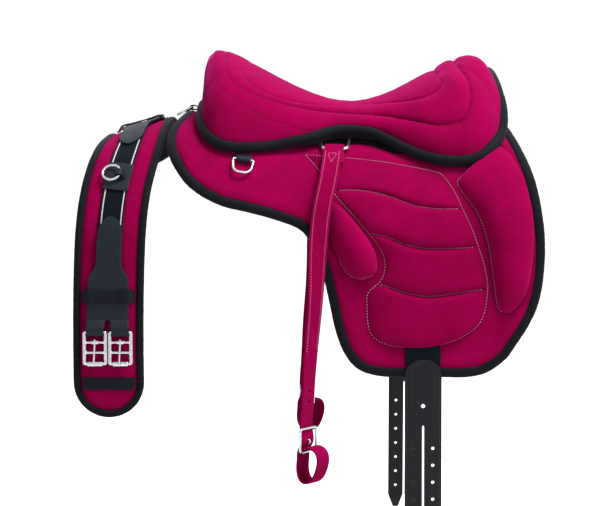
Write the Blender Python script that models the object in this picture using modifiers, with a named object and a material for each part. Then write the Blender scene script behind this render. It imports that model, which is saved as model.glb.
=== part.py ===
"""A treeless saddle, with its girth laid over the same rest in front of the pommel.

Metres, +Z up. The near (left) side is at -Y, the pommel at -X, the cantle at +X.
The origin is on the centre line, on the underside of the pad, below the dip of the
seat. The saddle lies on the rounded back of a horse or a saddle rack. Places on that
back are given as x, s and h: s is the distance along the cross section from the
spine, positive on the near side, and h is the height above the back.
"""
import math

import bmesh
import bpy
import numpy as np
from mathutils import Matrix, Vector

MM = 0.001

# Clearances, and the distance within which points are one
WELD = 0.001 * MM
TOUCH_GAP = 0.3 * MM
SPINE_GAP = 0.35 * MM
LAID_GAP = 0.8 * MM
PANEL_GAP = 1.5 * MM
ROUND_GAP = 0.5 * MM

# The back that the saddle lies on
BACK_HALF_WIDTH = 200 * MM
BACK_DEPTH = 185 * MM
BACK_ROUNDNESS = 2.25
FLANK_LENGTH = 560 * MM
FLANK_FLARE = math.radians(2.5)
BACK_REACH = 270 * MM
WITHERS_RISE = 23 * MM
SPINE_STATION_SHARES = (-1.62, -1.33, -1.11, -0.96, -0.74, -0.44, 0.0, 0.37, 0.74, 1.0)
SPINE_RISE_SHARES = (-0.9, -0.18, 0.62, 0.96, 0.87, 0.28, 0.0, 0.13, 0.56, 0.85)
SECTION_STEPS = 600
SECTION_WINDOW = 25

# Pad: one flap on each side, bound along its edge
PAD_FRONT = -291 * MM
PAD_LENGTH = 544 * MM
FLAP_DROP = 486 * MM
FLAP_THICKNESS = 9 * MM
FLAP_BINDING_RADIUS = 6.2 * MM
FLAP_COLUMNS = 18
FLAP_SIDE_POINTS = 60
FLAP_ROW_SHARES = (0, 0.08, 0.14, 0.19, 0.24, 0.29, 0.34, 0.39, 0.44, 0.49, 0.55, 0.62, 0.72, 0.84, 0.93, 1)
FLAP_FRONT_SHARES = (
    (0.039, 0.0), (0.039, 0.05), (0.032, 0.11), (0.018, 0.175), (0.003, 0.24), (0.0, 0.298),
    (0.005, 0.337), (0.015, 0.372), (0.035, 0.419), (0.063, 0.462), (0.096, 0.491),
)
FLAP_LOWER_SHARES = (
    (0.096, 0.491), (0.142, 0.513), (0.204, 0.521), (0.272, 0.527), (0.326, 0.537),
    (0.366, 0.555), (0.393, 0.591), (0.412, 0.635), (0.431, 0.703), (0.445, 0.769),
    (0.458, 0.838), (0.472, 0.89), (0.49, 0.931), (0.515, 0.962), (0.545, 0.977),
    (0.588, 0.985), (0.637, 0.988), (0.734, 0.993), (0.799, 1.0), (0.84, 0.997),
    (0.875, 0.981), (0.904, 0.957),
)
FLAP_REAR_SHARES = (
    (0.904, 0.957), (0.928, 0.92), (0.961, 0.865), (0.983, 0.81), (0.995, 0.745),
    (1.0, 0.676), (0.999, 0.606), (0.991, 0.531), (0.978, 0.449), (0.955, 0.354),
    (0.931, 0.249), (0.917, 0.159), (0.908, 0.06), (0.908, 0.0),
)

# Panel cushions under the pad, with a channel for the spine between them
PANEL_FRONT = -205 * MM
PANEL_LENGTH = 375 * MM
PANEL_TOP = 38 * MM
PANEL_DROP = 122 * MM
PANEL_THICKNESS = 22 * MM
PANEL_ROW_SHARES = (
    (0.05, 0.0, 0.5, -0.03, 0.95, 0.0, 0.45),
    (0.0, 0.25, 0.5, 0.25, 1.0, 0.25, 1.0),
    (0.01, 0.5, 0.5, 0.5, 0.99, 0.5, 1.0),
    (0.05, 0.78, 0.5, 0.78, 0.95, 0.78, 0.9),
    (0.14, 1.0, 0.5, 1.0, 0.86, 1.0, 0.45),
)

# Cushions sewn on the outside of each flap
FENDER_FRONT = -92 * MM
FENDER_LENGTH = 267 * MM
FENDER_TOP = 152 * MM
FENDER_DROP = 292 * MM
FENDER_PUFF = 11 * MM
FENDER_ROW_SHARES = (
    (0.0, 0.02, 0.39, 0.04, 0.755, 0.15, 0.3),
    (0.08, 0.12, 0.45, 0.12, 0.82, 0.24, 0.45),
    (0.145, 0.215, 0.524, 0.253, 0.863, 0.321, 0.2),
    (0.25, 0.32, 0.58, 0.37, 0.91, 0.42, 1.0),
    (0.352, 0.424, 0.631, 0.5, 0.947, 0.518, 0.2),
    (0.41, 0.55, 0.66, 0.62, 0.98, 0.62, 1.0),
    (0.401, 0.675, 0.686, 0.744, 1.0, 0.735, 0.2),
    (0.352, 0.8, 0.68, 0.86, 0.993, 0.83, 1.0),
    (0.36, 0.89, 0.66, 0.95, 0.95, 0.91, 0.7),
    (0.446, 0.98, 0.66, 1.0, 0.8, 0.985, 0.25),
)
KNEE_FRONT = -57 * MM
KNEE_LENGTH = 71 * MM
KNEE_TOP = 232 * MM
KNEE_DROP = 110 * MM
KNEE_PUFF = 20 * MM
KNEE_ROW_SHARES = (
    (0.05, 0.0, 0.09, 0.0, 0.13, 0.0, 0.3),
    (0.0, 0.19, 0.25, 0.16, 0.42, 0.19, 0.75),
    (0.035, 0.455, 0.42, 0.43, 0.72, 0.44, 1.0),
    (0.15, 0.64, 0.54, 0.62, 0.93, 0.63, 1.0),
    (0.29, 0.84, 0.66, 0.82, 1.0, 0.81, 0.9),
    (0.44, 0.955, 0.68, 0.955, 0.93, 0.935, 0.6),
    (0.58, 0.99, 0.68, 1.0, 0.77, 0.985, 0.3),
)
THIGH_FRONT = 133 * MM
THIGH_LENGTH = 110 * MM
THIGH_TOP = 158 * MM
THIGH_DROP = 247 * MM
THIGH_PUFF = 18 * MM
THIGH_ROW_SHARES = (
    (0.53, 0.05, 0.6, 0.04, 0.66, 0.05, 0.35),
    (0.2, 0.135, 0.5, 0.12, 0.8, 0.14, 0.75),
    (0.0, 0.2, 0.44, 0.225, 0.9, 0.245, 1.0),
    (0.14, 0.325, 0.55, 0.34, 0.97, 0.36, 1.0),
    (0.27, 0.42, 0.63, 0.435, 0.99, 0.45, 1.0),
    (0.39, 0.565, 0.69, 0.58, 1.0, 0.595, 1.0),
    (0.445, 0.72, 0.7, 0.735, 0.97, 0.745, 0.95),
    (0.49, 0.875, 0.69, 0.89, 0.9, 0.895, 0.85),
    (0.535, 0.97, 0.65, 0.98, 0.77, 0.98, 0.6),
    (0.6, 0.995, 0.64, 1.0, 0.68, 0.998, 0.3),
)
CROWN_ACROSS_SHARES = (0.0, 0.04, 0.2, 0.42, 0.62, 0.82, 0.96, 1.0)
CROWN_HEIGHT_SHARES = (0.0, 0.55, 0.93, 1.0, 1.0, 0.93, 0.55, 0.0)
BACK_ACROSS_SHARES = (0.86, 0.68, 0.5, 0.32, 0.14)
ROW_DIVISIONS = 2

# Seat
SEAT_FRONT = -249 * MM
SEAT_LENGTH = 456 * MM
SEAT_EDGE_DROP = 177 * MM
CANTLE_EDGE_HEIGHT = 79 * MM
SEAT_BINDING_RADIUS = 7.2 * MM
SEAT_EDGE_SHARES = (
    (0.007, 0.0, 0.26), (0.001, 0.282, 0.25), (0.0, 0.511, 0.23), (0.014, 0.768, 0.216),
    (0.046, 0.903, 0.216), (0.088, 0.95, 0.216), (0.16, 0.932, 0.216), (0.232, 0.871, 0.216),
    (0.306, 0.812, 0.285), (0.379, 0.741, 0.329), (0.436, 0.666, 0.342), (0.489, 0.646, 0.346),
    (0.565, 0.668, 0.317), (0.636, 0.763, 0.245), (0.707, 0.882, 0.216), (0.779, 0.966, 0.216),
    (0.849, 1.0, 0.216), (0.914, 0.981, 0.216), (0.958, 0.88, 0.216), (0.991, 0.718, 0.225),
    (1.0, 0.588, 0.38), (0.995, 0.401, 0.62), (0.983, 0.181, 0.886), (0.977, 0.0, 1.0),
)
POMMEL_HEIGHT = 127.3 * MM
CREST_STATION_SHARES = (
    -0.002, 0.0, 0.007, 0.02, 0.042, 0.08, 0.134, 0.188, 0.25, 0.311, 0.374, 0.42, 0.466, 0.513,
    0.559, 0.605, 0.651, 0.697, 0.743, 0.796, 0.837, 0.878, 0.912, 0.939, 0.96, 0.978,
)
CREST_HEIGHT_SHARES = (
    0.5, 0.8, 0.98, 1.03, 1.06, 1.01, 0.902, 0.788, 0.665, 0.554, 0.458, 0.397, 0.361, 0.35,
    0.373, 0.42, 0.486, 0.569, 0.66, 0.758, 0.844, 0.907, 0.931, 0.923, 0.88, 0.786,
)
CREST_FRONT = -130 * MM
CREST_REAR = 85 * MM
CREST_FRONT_SHARE = 0.06
CREST_REAR_SHARE = 0.10
SIDE_ROUNDNESS = 0.92
POMMEL_FULLNESS_SHARE = 0.16
CANTLE_FULLNESS_SHARE = 0.34
END_REACH_SHARE = 0.2
COVER_THICKNESS = 4 * MM
CHANNEL_DEPTH = 2.5 * MM
CHANNEL_HALF_SHARE = 0.035
LOW_ROW_SHARES = (0.33, 0.66)
SEAT_COLUMNS = 28
SEAT_EDGE_POINTS = 400
BEND_WINDOW = 9
NORMAL_STEP_SHARE = 0.004
CREST_STEP_SHARES = (0.01, 0.02)
RIM_SEARCH_SHARE = 0.6
RIM_SEARCH_STEPS = 81
CHANNEL_GAP_SHARE = 0.35
CHANNEL_STATION_SHARES = (0, 0.1, 0.2, 0.25, 0.3, 0.4, 0.5, 0.6, 0.65, 0.7, 0.75, 0.8, 0.9, 1)
INNER_CHANNEL_SHARES = (0.25, 0.28, 0.43, 0.49, 0.49, 0.43, 0.34, 0.4, 0.47, 0.44, 0.31, 0.22, 0.14, 0.14)
OUTER_CHANNEL_SHARES = (0.51, 0.49, 0.55, 0.6, 0.6, 0.58, 0.63, 0.69, 0.75, 0.75, 0.57, 0.4, 0.3, 0.33)
BASE_THICKNESS = 3 * MM
BASE_COLUMNS = 14
BASE_ROWS = 4
BASE_STATION_SHARES = (0, 0.18, 0.26, 0.56, 0.65, 0.8, 1)
BASE_REACH_SHARES = (0.62, 0.62, 0.4, 0.4, 0.6, 0.56, 0.5)
FOAM_INSET = 9.5 * MM
FOAM_ROWS = 6
TURNING_LENGTH = 80 * MM
FOAM_RIM_RISE = 6 * MM
FOAM_RISE_START_SHARE = 0.3
FOAM_RISE_REACH_SHARE = 0.3
FOAM_STATION_SHARES = (0, 0.7, 0.85, 1)
FOAM_REACH_SHARES = (0.84, 0.84, 0.72, 0.72)
GUSSET_THICKNESS = 3 * MM
GUSSET_INSET = 6 * MM
GUSSET_START_SHARE = 0.85
GUSSET_ROWS = 3

# Webbing, leather and wire
WEB_THICKNESS = 2.5 * MM
LEATHER_THICKNESS = 3.5 * MM
KEEPER_THICKNESS = 2 * MM

# Stirrup dee and the web that carries both dees
DEE_X = -47 * MM
DEE_REACH = 100 * MM
DEE_WIRE = 2.5 * MM
DEE_WIDTH = 50 * MM
DEE_FOOT_WIDTH = 38 * MM
DEE_LENGTH = 44 * MM
DEE_TOP_CORNER = 4 * MM
DEE_FOOT_CORNER = 5 * MM
DEE_BAR_RISE = 5.9 * MM
DEE_FOOT_RISE = 1 * MM
CARRIER_WIDTH = 38 * MM
CARRIER_RETURN = 6 * MM
CARRIER_STATIONS = 15

# Stirrup leather: runs down from the dee, through its buckle, and loops for the iron
STIRRUP_WIDTH = 28 * MM
STIRRUP_TAIL_ROWS = ((30, 6.8), (22, 6.4), (14, 5), (6, 1.4))
STIRRUP_ROWS = (
    (153, 21.4, -49.3, 0), (168, 22.3, -51.6, 0), (185, 22.6, -54.2, 0), (210, 22.8, -58.6, 0),
    (240, 23.2, -65.7, 0), (275, 23.5, -70.7, 5), (310, 24, -73.5, 20),
    (350, 24.3, -75.4, 34), (390, 22.8, -77.9, 41), (440, 20.6, -82.3, 45), (500, 17.9, -86.5, 51),
    (540, 16.2, -89, 52),
)
STIRRUP_TURN = math.radians(52)
STIRRUP_BUCKLE_CENTRE = (-87 * MM, 228.5 * MM, -452 * MM)
STIRRUP_BUCKLE_WIDTH = 38 * MM
STIRRUP_BUCKLE_HEIGHT = 34 * MM
STIRRUP_BUCKLE_WIRE = 1.9 * MM
STIRRUP_BUCKLE_CORNER = 4 * MM
STIRRUP_END_ROWS = (
    (-4.2, -22), (-4.0, -15.1), (-2.4, -8), (-1.4, 0), (-3.7, 8), (-8.1, 15.1), (-9.4, 26), (-10.5, 38),
    (-9, 52), (-4, 60), (4, 62.5), (13, 59), (21, 49), (26, 36), (27, 25), (23, 15.5), (15, 11), (7, 10.6),
)
STIRRUP_HOLE_RADIUS = 2.4 * MM
STIRRUP_HOLE_REACHES = (509 * MM, 525 * MM, 541 * MM)
STIRRUP_PRONG_ROWS = ((0.6, 7.6), (2.6, 4.6), (2.9, 2.2), (1.4, 0.2), (-3.6, -0.6))
STIRRUP_PRONG_HOLE = 2.8 * MM
PRONG_RADIUS = 1.4 * MM

# Dees at the front, for a breastplate or luggage
FRONT_DEE_X = -182.5 * MM
FRONT_DEE_REACH = 185 * MM
FRONT_DEE_WIDTH = 31 * MM
FRONT_DEE_FOOT_WIDTH = 25 * MM
FRONT_DEE_LENGTH = 24.5 * MM
FRONT_DEE_WIRE = 1.9 * MM
FRONT_DEE_TOP_CORNER = 3 * MM
FRONT_DEE_FOOT_CORNER = 10 * MM
FRONT_KEEPER_WIDTH = 22 * MM
FRONT_KEEPER_REACH = 11.5 * MM
FRONT_DEE_RISE = 4.8 * MM
FRONT_DEE_DROOP = math.radians(3)
KEEPER_MIDDLE_SHARES = (0.4, 0.7)
POMMEL_DEE_X = -269 * MM
POMMEL_KEEPER_ROWS = ((32, 1.6), (20, 1.6), (12, 1.8), (6, 2.8))
POMMEL_KEEPER_RETURN_ROWS = ((4, 9.2), (9, 6.4))
POMMEL_DEE_RISE = 6.3 * MM
POMMEL_DEE_DROOP = math.radians(25)

# Billet: a web sewn below the fender, with a split leather strap on it
BILLET_X = 81.5 * MM
BILLET_WIDTH = 54 * MM
BILLET_TOP = 462 * MM
BILLET_LENGTH = 318 * MM
BILLET_THICKNESS = 4 * MM
BILLET_WEB_TOP = 449 * MM
BILLET_WEB_LENGTH = 22 * MM
BILLET_SLIT_START = 98 * MM
BILLET_SLIT_WIDTH = 3 * MM
BILLET_TOP_CORNER = 24 * MM
BILLET_TIP_LENGTH = 22 * MM
BILLET_WEB_WIDTH = 52 * MM
BILLET_TIP_WIDTH = 9 * MM
BILLET_HOLE_RADIUS = 2.4 * MM
BILLET_HOLE_PITCH = 25 * MM
BILLET_HOLES = 7
BILLET_FIRST_HOLE = 130 * MM
HOLE_SIDES = 8

# Girth: lies over the back in front of the pad, its near end hanging
GIRTH_LENGTH = 696 * MM
GIRTH_NEAR_END = 531 * MM
GIRTH_LEVEL_REACHES = (40 * MM, 170 * MM)
GIRTH_HALF_WIDTH = 46.5 * MM
GIRTH_THICKNESS = 8 * MM
GIRTH_BINDING_RADIUS = 5.5 * MM
GIRTH_STATION_REACHES = (-200 * MM, -140 * MM, 0, 60 * MM, 140 * MM, 200 * MM, 300 * MM, 560 * MM)
GIRTH_STATIONS_X = (
    -345.9 * MM, -347.1 * MM, -347.8 * MM, -351.5 * MM, -361 * MM, -371 * MM, -379 * MM, -379 * MM,
)
GIRTH_ROWS = 22
GIRTH_COLUMNS = 4
GIRTH_END_STEPS = 5
GIRTH_WEB_WIDTH = 29 * MM
GIRTH_WEB_THICKNESS = 2 * MM
GIRTH_WEB_END = 150 * MM
GIRTH_WEB_STATIONS = 22
GIRTH_LEATHER_THICKNESS = 3 * MM
GIRTH_LEATHER_STATIONS = (141, 160, 180, 200, 208, 217, 240, 262, 274, 287)
GIRTH_LEATHER_HALF_WIDTHS = (30.5, 30.5, 30.5, 30.5, 24, 18, 18, 18, 14.5, 4)
GIRTH_TAB_WIDTH = 22 * MM
GIRTH_TAB_RETURNS = (12 * MM, 6 * MM)
GIRTH_TAB_ROWS = ((6, 4.3), (13, 1.2))
GIRTH_BAR_LIFT = 6.9 * MM
GIRTH_KEEPER_PLACES = (45 * MM, 173 * MM)
GIRTH_KEEPER_LENGTHS = (18 * MM, 20 * MM)
GIRTH_KEEPER_ROWS = ((38, 1.8), (35.4, 1.8), (33.8, 5), (32, 8.4), (16, 8.4), (0, 8.4))
GIRTH_PLAIN_KEEPER_ROWS = ((36.5, 1.6), (18, 1.6), (0, 1.6))
PATCH_LENGTH = 42 * MM
PATCH_WIDTH = 44 * MM
GIRTH_RING_RADIUS = 13 * MM
GIRTH_RING_WIRE = 1.9 * MM
GIRTH_RING_LIFT = 6.6 * MM
GIRTH_RING_BAR = 3.5 * MM
GIRTH_RING_TILT = math.radians(7)
GIRTH_RING_SLACK = 1.6 * MM
GIRTH_RING_STEPS = 20
RING_KEEPER_WIDTH = 10 * MM
RING_KEEPER_REACH = 8 * MM
PATCH_THICKNESS = 2.5 * MM
PATCH_PLACE = 346 * MM

# Girth buckles
BUCKLE_WIDTH = 36 * MM
BUCKLE_LENGTH = 50 * MM
BUCKLE_SPREAD = 37.2 * MM
BUCKLE_TOP = 121 * MM
BUCKLE_THICKNESS = 4 * MM
BUCKLE_SIDE = 5 * MM
BUCKLE_BAR = 3.4 * MM
BUCKLE_HUB_SHARE = 0.32
BUCKLE_MIDDLE_SHARE = 0.64
BUCKLE_CORNER = 4 * MM
BUCKLE_WINDOW_CORNER = 1.5 * MM
ROLLER_RADIUS = 4.0 * MM
ROLLER_BORE = 3.0 * MM
ROLLER_SIDES = 14
PRONG_LIFT = 4.35 * MM
PRONG_TIP_LIFT = 5.8 * MM
PRONG_OVERRUN = 2 * MM


def clear_scene():
    """Remove whatever the file holds."""
    for thing in list(bpy.data.objects):
        bpy.data.objects.remove(thing, do_unlink=True)


def make_collection(name):
    """A collection linked to the scene."""
    group = bpy.data.collections.new(name)
    bpy.context.scene.collection.children.link(group)
    return group


def make_finish(name, colour, roughness, metallic=0.0):
    """A Principled material."""
    finish = bpy.data.materials.new(name)
    finish.use_nodes = True
    shader = finish.node_tree.nodes["Principled BSDF"]
    shader.inputs["Base Color"].default_value = (*colour, 1.0)
    shader.inputs["Roughness"].default_value = roughness
    shader.inputs["Metallic"].default_value = metallic
    finish.diffuse_color = (*colour, 1.0)
    return finish


def curve_through(stations, values):
    """Return a function that reads the natural cubic spline through the values."""
    knots = np.asarray(stations, float)
    heights = np.asarray(values, float)
    steps = np.diff(knots)
    last = len(knots) - 1
    system = np.eye(last + 1)
    loads = np.zeros(heights.shape)
    for i in range(1, last):
        system[i, i - 1] = steps[i - 1]
        system[i, i] = 2 * (steps[i - 1] + steps[i])
        system[i, i + 1] = steps[i]
        loads[i] = 6 * ((heights[i + 1] - heights[i]) / steps[i] - (heights[i] - heights[i - 1]) / steps[i - 1])
    bends = np.linalg.solve(system, loads)

    def read(place):
        place = np.clip(np.asarray(place, float), knots[0], knots[last])
        k = np.clip(np.searchsorted(knots, place) - 1, 0, last - 1)
        width = steps[k]
        after = knots[k + 1] - place
        before = place - knots[k]
        if heights.ndim > 1:
            width, after, before = width[..., None], after[..., None], before[..., None]
        cubic = (bends[k] * after ** 3 + bends[k + 1] * before ** 3) / (6 * width)
        line = (heights[k] / width - bends[k] * width / 6) * after
        return cubic + line + (heights[k + 1] / width - bends[k + 1] * width / 6) * before

    return read


def run_lengths(points):
    """Distance along a polyline at each of its points."""
    return np.concatenate([[0.0], np.cumsum(np.linalg.norm(np.diff(points, axis=0), axis=1))])


def line_through(points, count):
    """Points evenly spaced along the smooth curve through the given points."""
    points = np.asarray(points, float)
    knots = run_lengths(points)
    fine = curve_through(knots, points)(np.linspace(0, knots[-1], 20 * count))
    return even_points(fine, count)


def even_points(points, count):
    """The polyline read again at evenly spaced places."""
    knots = run_lengths(points)
    places = np.linspace(0, knots[-1], count)
    return np.stack([np.interp(places, knots, points[:, k]) for k in range(points.shape[1])], axis=-1)


def make_section():
    """Tables of the back's cross section: length, y, z and the outward normal."""
    turn = np.linspace(0, math.pi / 2, SECTION_STEPS)
    y = BACK_HALF_WIDTH * np.sin(turn) ** (2 / BACK_ROUNDNESS)
    z = -BACK_DEPTH * (1 - np.cos(turn) ** (2 / BACK_ROUNDNESS))
    y = np.append(y, y[-1] + FLANK_LENGTH * math.sin(FLANK_FLARE))
    z = np.append(z, z[-1] - FLANK_LENGTH * math.cos(FLANK_FLARE))
    line = even_points(np.stack([y, z], axis=-1), SECTION_STEPS)
    start = line[SECTION_WINDOW:0:-1] * (-1, 1)
    slope = line[-1] - line[-2]
    tail = line[-1] + slope * np.arange(1, SECTION_WINDOW + 1)[:, None]
    padded = np.concatenate([start, line, tail])
    window = np.ones(SECTION_WINDOW) / SECTION_WINDOW
    smooth = np.stack([np.convolve(padded[:, k], window, "same") for k in (0, 1)], axis=-1)
    smooth = smooth[SECTION_WINDOW:-SECTION_WINDOW]
    smooth[:, 1] -= smooth[0, 1]
    reach = run_lengths(smooth)
    across = np.gradient(smooth[:, 0], reach)
    down = np.gradient(smooth[:, 1], reach)
    size = np.hypot(across, down)
    return reach, smooth[:, 0], smooth[:, 1], -down / size, across / size


REACH, SECTION_Y, SECTION_Z, NORMAL_Y, NORMAL_Z = make_section()
read_spine = curve_through(
    np.array(SPINE_STATION_SHARES) * BACK_REACH, np.array(SPINE_RISE_SHARES) * WITHERS_RISE)


def back_point(x, s, h):
    """The point at x, s along the section (near side positive) and h above the back."""
    x, s, h = np.broadcast_arrays(np.asarray(x, float), np.asarray(s, float), np.asarray(h, float))
    far = np.abs(s)
    y = np.interp(far, REACH, SECTION_Y) + h * np.interp(far, REACH, NORMAL_Y)
    z = np.interp(far, REACH, SECTION_Z) + h * np.interp(far, REACH, NORMAL_Z)
    return np.stack([x, -np.where(s < 0, -1.0, 1.0) * y, z + read_spine(x)], axis=-1)


def back_height(x, y, h):
    """The z at x and y of the surface that lies h above the back."""
    x, y, h = np.broadcast_arrays(np.asarray(x, float), np.asarray(y, float), np.asarray(h, float))
    z = [
        np.interp(abs(across), SECTION_Y + rise * NORMAL_Y, SECTION_Z + rise * NORMAL_Z)
        for across, rise in zip(y.ravel(), h.ravel())]
    return np.reshape(z, x.shape) + read_spine(x)


def back_frame(x, s):
    """Unit vectors at a place on the back: downhill, away from the spine, and outward."""
    far = abs(s)
    side = -1.0 if s < 0 else 1.0
    outward = np.array([0.0, -side * np.interp(far, REACH, NORMAL_Y), np.interp(far, REACH, NORMAL_Z)])
    downhill = np.array([0.0, -side * np.interp(far, REACH, NORMAL_Z), -np.interp(far, REACH, NORMAL_Y)])
    return downhill, outward


def along_back(x, reach):
    """The unit vector that follows the spine over a reach either side of x."""
    rise = float(read_spine(x + reach) - read_spine(x - reach))
    heading = np.array([2 * reach, 0.0, rise])
    return heading / np.linalg.norm(heading)


class Workshop:
    """Holds the collections, the finishes and the root, and makes the pieces."""

    def __init__(self):
        self.parts = make_collection("treeless_saddle")
        self.cutters = make_collection("cutters")
        self.root = bpy.data.objects.new("saddle_origin", None)
        self.parts.objects.link(self.root)
        self.suede = make_finish("magenta_suede", (0.38, 0.0, 0.07), 0.85)
        self.lining = make_finish("black_lining", (0.02, 0.02, 0.024), 0.9)
        self.binding = make_finish("black_binding", (0.012, 0.013, 0.017), 0.7)
        self.leather = make_finish("slate_leather", (0.035, 0.045, 0.06), 0.55)
        self.webbing = make_finish("black_webbing", (0.01, 0.012, 0.018), 0.8)
        self.foam = make_finish("firm_foam", (0.5, 0.48, 0.42), 0.95)
        self.steel = make_finish("polished_steel", (0.75, 0.76, 0.78), 0.2, 1.0)

    def add(self, name, data, finish, origin=(0, 0, 0), group=None):
        """Link an object that has its own material, with its origin on its axis."""
        piece = bpy.data.objects.new(name, data)
        data.materials.clear()
        data.materials.append(finish)
        (group or self.parts).objects.link(piece)
        if group is None:
            piece.parent = self.root
        piece.location = origin
        return piece

    def add_mesh(self, name, mesh_maker, finish, origin=(0, 0, 0), group=None):
        """Turn a bmesh in world coordinates into an object."""
        bmesh.ops.translate(mesh_maker, verts=mesh_maker.verts, vec=-Vector(origin))
        mesh = bpy.data.meshes.new(name)
        mesh_maker.to_mesh(mesh)
        mesh_maker.free()
        mesh.shade_smooth()
        return self.add(name, mesh, finish, origin, group)

    def solidify(self, piece, thickness, offset=0.0):
        """Give an open surface its thickness."""
        wall = piece.modifiers.new("thickness", "SOLIDIFY")
        wall.thickness = thickness
        wall.offset = offset
        wall.use_even_offset = True
        return wall

    def mirror(self, piece):
        """Mirror a half that is open at the centre plane."""
        copy = piece.modifiers.new("both_sides", "MIRROR")
        copy.use_axis = (False, True, False)
        copy.merge_threshold = 0.1 * MM

    def tube(self, name, points, radius, finish, origin=(0, 0, 0), closed=False, resolution=1):
        """A round wire or binding along the points."""
        curve = bpy.data.curves.new(name, "CURVE")
        curve.dimensions = "3D"
        spline = curve.splines.new("POLY")
        spline.points.add(len(points) - 1)
        local = np.asarray(points, float) - np.asarray(origin, float)
        for point, place in zip(spline.points, local):
            point.co = (*place, 1.0)
        spline.use_cyclic_u = closed
        curve.bevel_depth = radius
        curve.bevel_resolution = resolution
        curve.use_fill_caps = True
        return self.add(name, curve, finish, origin)

    def plate(self, name, outlines, thickness, finish, frame, centre, origin):
        """A flat plate with windows: 2D outlines, laid in the frame's x and y."""
        curve = bpy.data.curves.new(name, "CURVE")
        curve.dimensions = "2D"
        curve.fill_mode = "BOTH"
        curve.extrude = thickness / 2
        for outline in outlines:
            spline = curve.splines.new("POLY")
            spline.points.add(len(outline) - 1)
            for point, place in zip(spline.points, outline):
                point.co = (place[0], place[1], 0.0, 1.0)
            spline.use_cyclic_u = True
        flat = bpy.data.objects.new(name, curve)
        maker = bmesh.new()
        maker.from_mesh(bpy.data.meshes.new_from_object(flat))
        bpy.data.objects.remove(flat)
        bmesh.ops.remove_doubles(maker, verts=maker.verts, dist=WELD)
        turn = Matrix((frame[0], frame[1], np.cross(frame[0], frame[1]))).transposed().to_4x4()
        maker.transform(Matrix.Translation(Vector(centre)) @ turn)
        face_outward(maker)
        return self.add_mesh(name, maker, finish, origin)


def grid_mesh(columns, rows, shape, upward=None, weld=False, gap=None):
    """A unit grid laid on the surface shape(u, v); upward turns its faces that way.

    gap, a left and right share and a depth share, leaves faces out of the grid.
    """
    maker = bmesh.new()
    bmesh.ops.create_grid(maker, x_segments=columns, y_segments=rows, size=0.5)
    if gap:
        left, right, depth = gap
        spare = [
            face for face in maker.faces
            if left < face.calc_center_median().x + 0.5 < right and face.calc_center_median().y + 0.5 < depth]
        bmesh.ops.delete(maker, geom=spare, context="FACES")
    flat = np.array([vertex.co for vertex in maker.verts])
    places = shape(flat[:, 0] + 0.5, flat[:, 1] + 0.5)
    for vertex, place in zip(maker.verts, places):
        vertex.co = place
    if weld:
        bmesh.ops.remove_doubles(maker, verts=maker.verts, dist=WELD)
    maker.normal_update()
    if upward is not None:
        facing = sum(face.normal.dot(Vector(upward)) * face.calc_area() for face in maker.faces)
        if facing < 0:
            bmesh.ops.reverse_faces(maker, faces=maker.faces)
    return maker


def face_outward(maker):
    """Turn the faces of a closed body outward."""
    bmesh.ops.recalc_face_normals(maker, faces=maker.faces)
    if maker.calc_volume(signed=True) < 0:
        bmesh.ops.reverse_faces(maker, faces=maker.faces)


def loft_mesh(sections):
    """A closed body through closed sections, an array of rows, points and xyz."""
    rows, count = sections.shape[:2]
    maker = bmesh.new()
    bmesh.ops.create_grid(maker, x_segments=count, y_segments=rows - 1, size=0.5)
    for vertex in maker.verts:
        column = round((vertex.co.x + 0.5) * count) % count
        row = round((vertex.co.y + 0.5) * (rows - 1))
        vertex.co = sections[row, column]
    bmesh.ops.remove_doubles(maker, verts=maker.verts, dist=WELD)
    rim = [edge for edge in maker.edges if edge.is_boundary]
    bmesh.ops.holes_fill(maker, edges=rim, sides=0)
    face_outward(maker)
    return maker


def rounded_outline(corners, radii, steps=4):
    """A closed outline through the corners, each rounded by its radius."""
    corners = [np.asarray(corner, float) for corner in corners]
    outline = []
    for i, corner in enumerate(corners):
        before = corners[i - 1] - corner
        after = corners[(i + 1) % len(corners)] - corner
        before = before / np.linalg.norm(before)
        after = after / np.linalg.norm(after)
        half = math.acos(np.clip(before @ after, -1, 1)) / 2
        middle = (before + after) / np.linalg.norm(before + after)
        centre = corner + middle * radii[i] / math.sin(half)
        start = corner + before * radii[i] / math.tan(half) - centre
        end = corner + after * radii[i] / math.tan(half) - centre
        for k in range(steps + 1):
            blend = start * (1 - k / steps) + end * (k / steps)
            outline.append(centre + blend / np.linalg.norm(blend) * radii[i])
    return np.array(outline)


def dee_outline(width, foot_width, length, top_corner, foot_corner):
    """A dee: a straight bar at the top, narrowing to a rounded foot."""
    corners = [(-width / 2, 0), (width / 2, 0), (foot_width / 2, length), (-foot_width / 2, length)]
    return rounded_outline(corners, (top_corner, top_corner, foot_corner, foot_corner))


def inset_outline(points, distance):
    """Move an open outline to its right by a distance, in its own plane."""
    heading = np.gradient(points, run_lengths(points), axis=0)
    heading /= np.linalg.norm(heading, axis=1)[:, None]
    return points + distance * np.stack([heading[:, 1], -heading[:, 0]], axis=-1)


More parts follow.
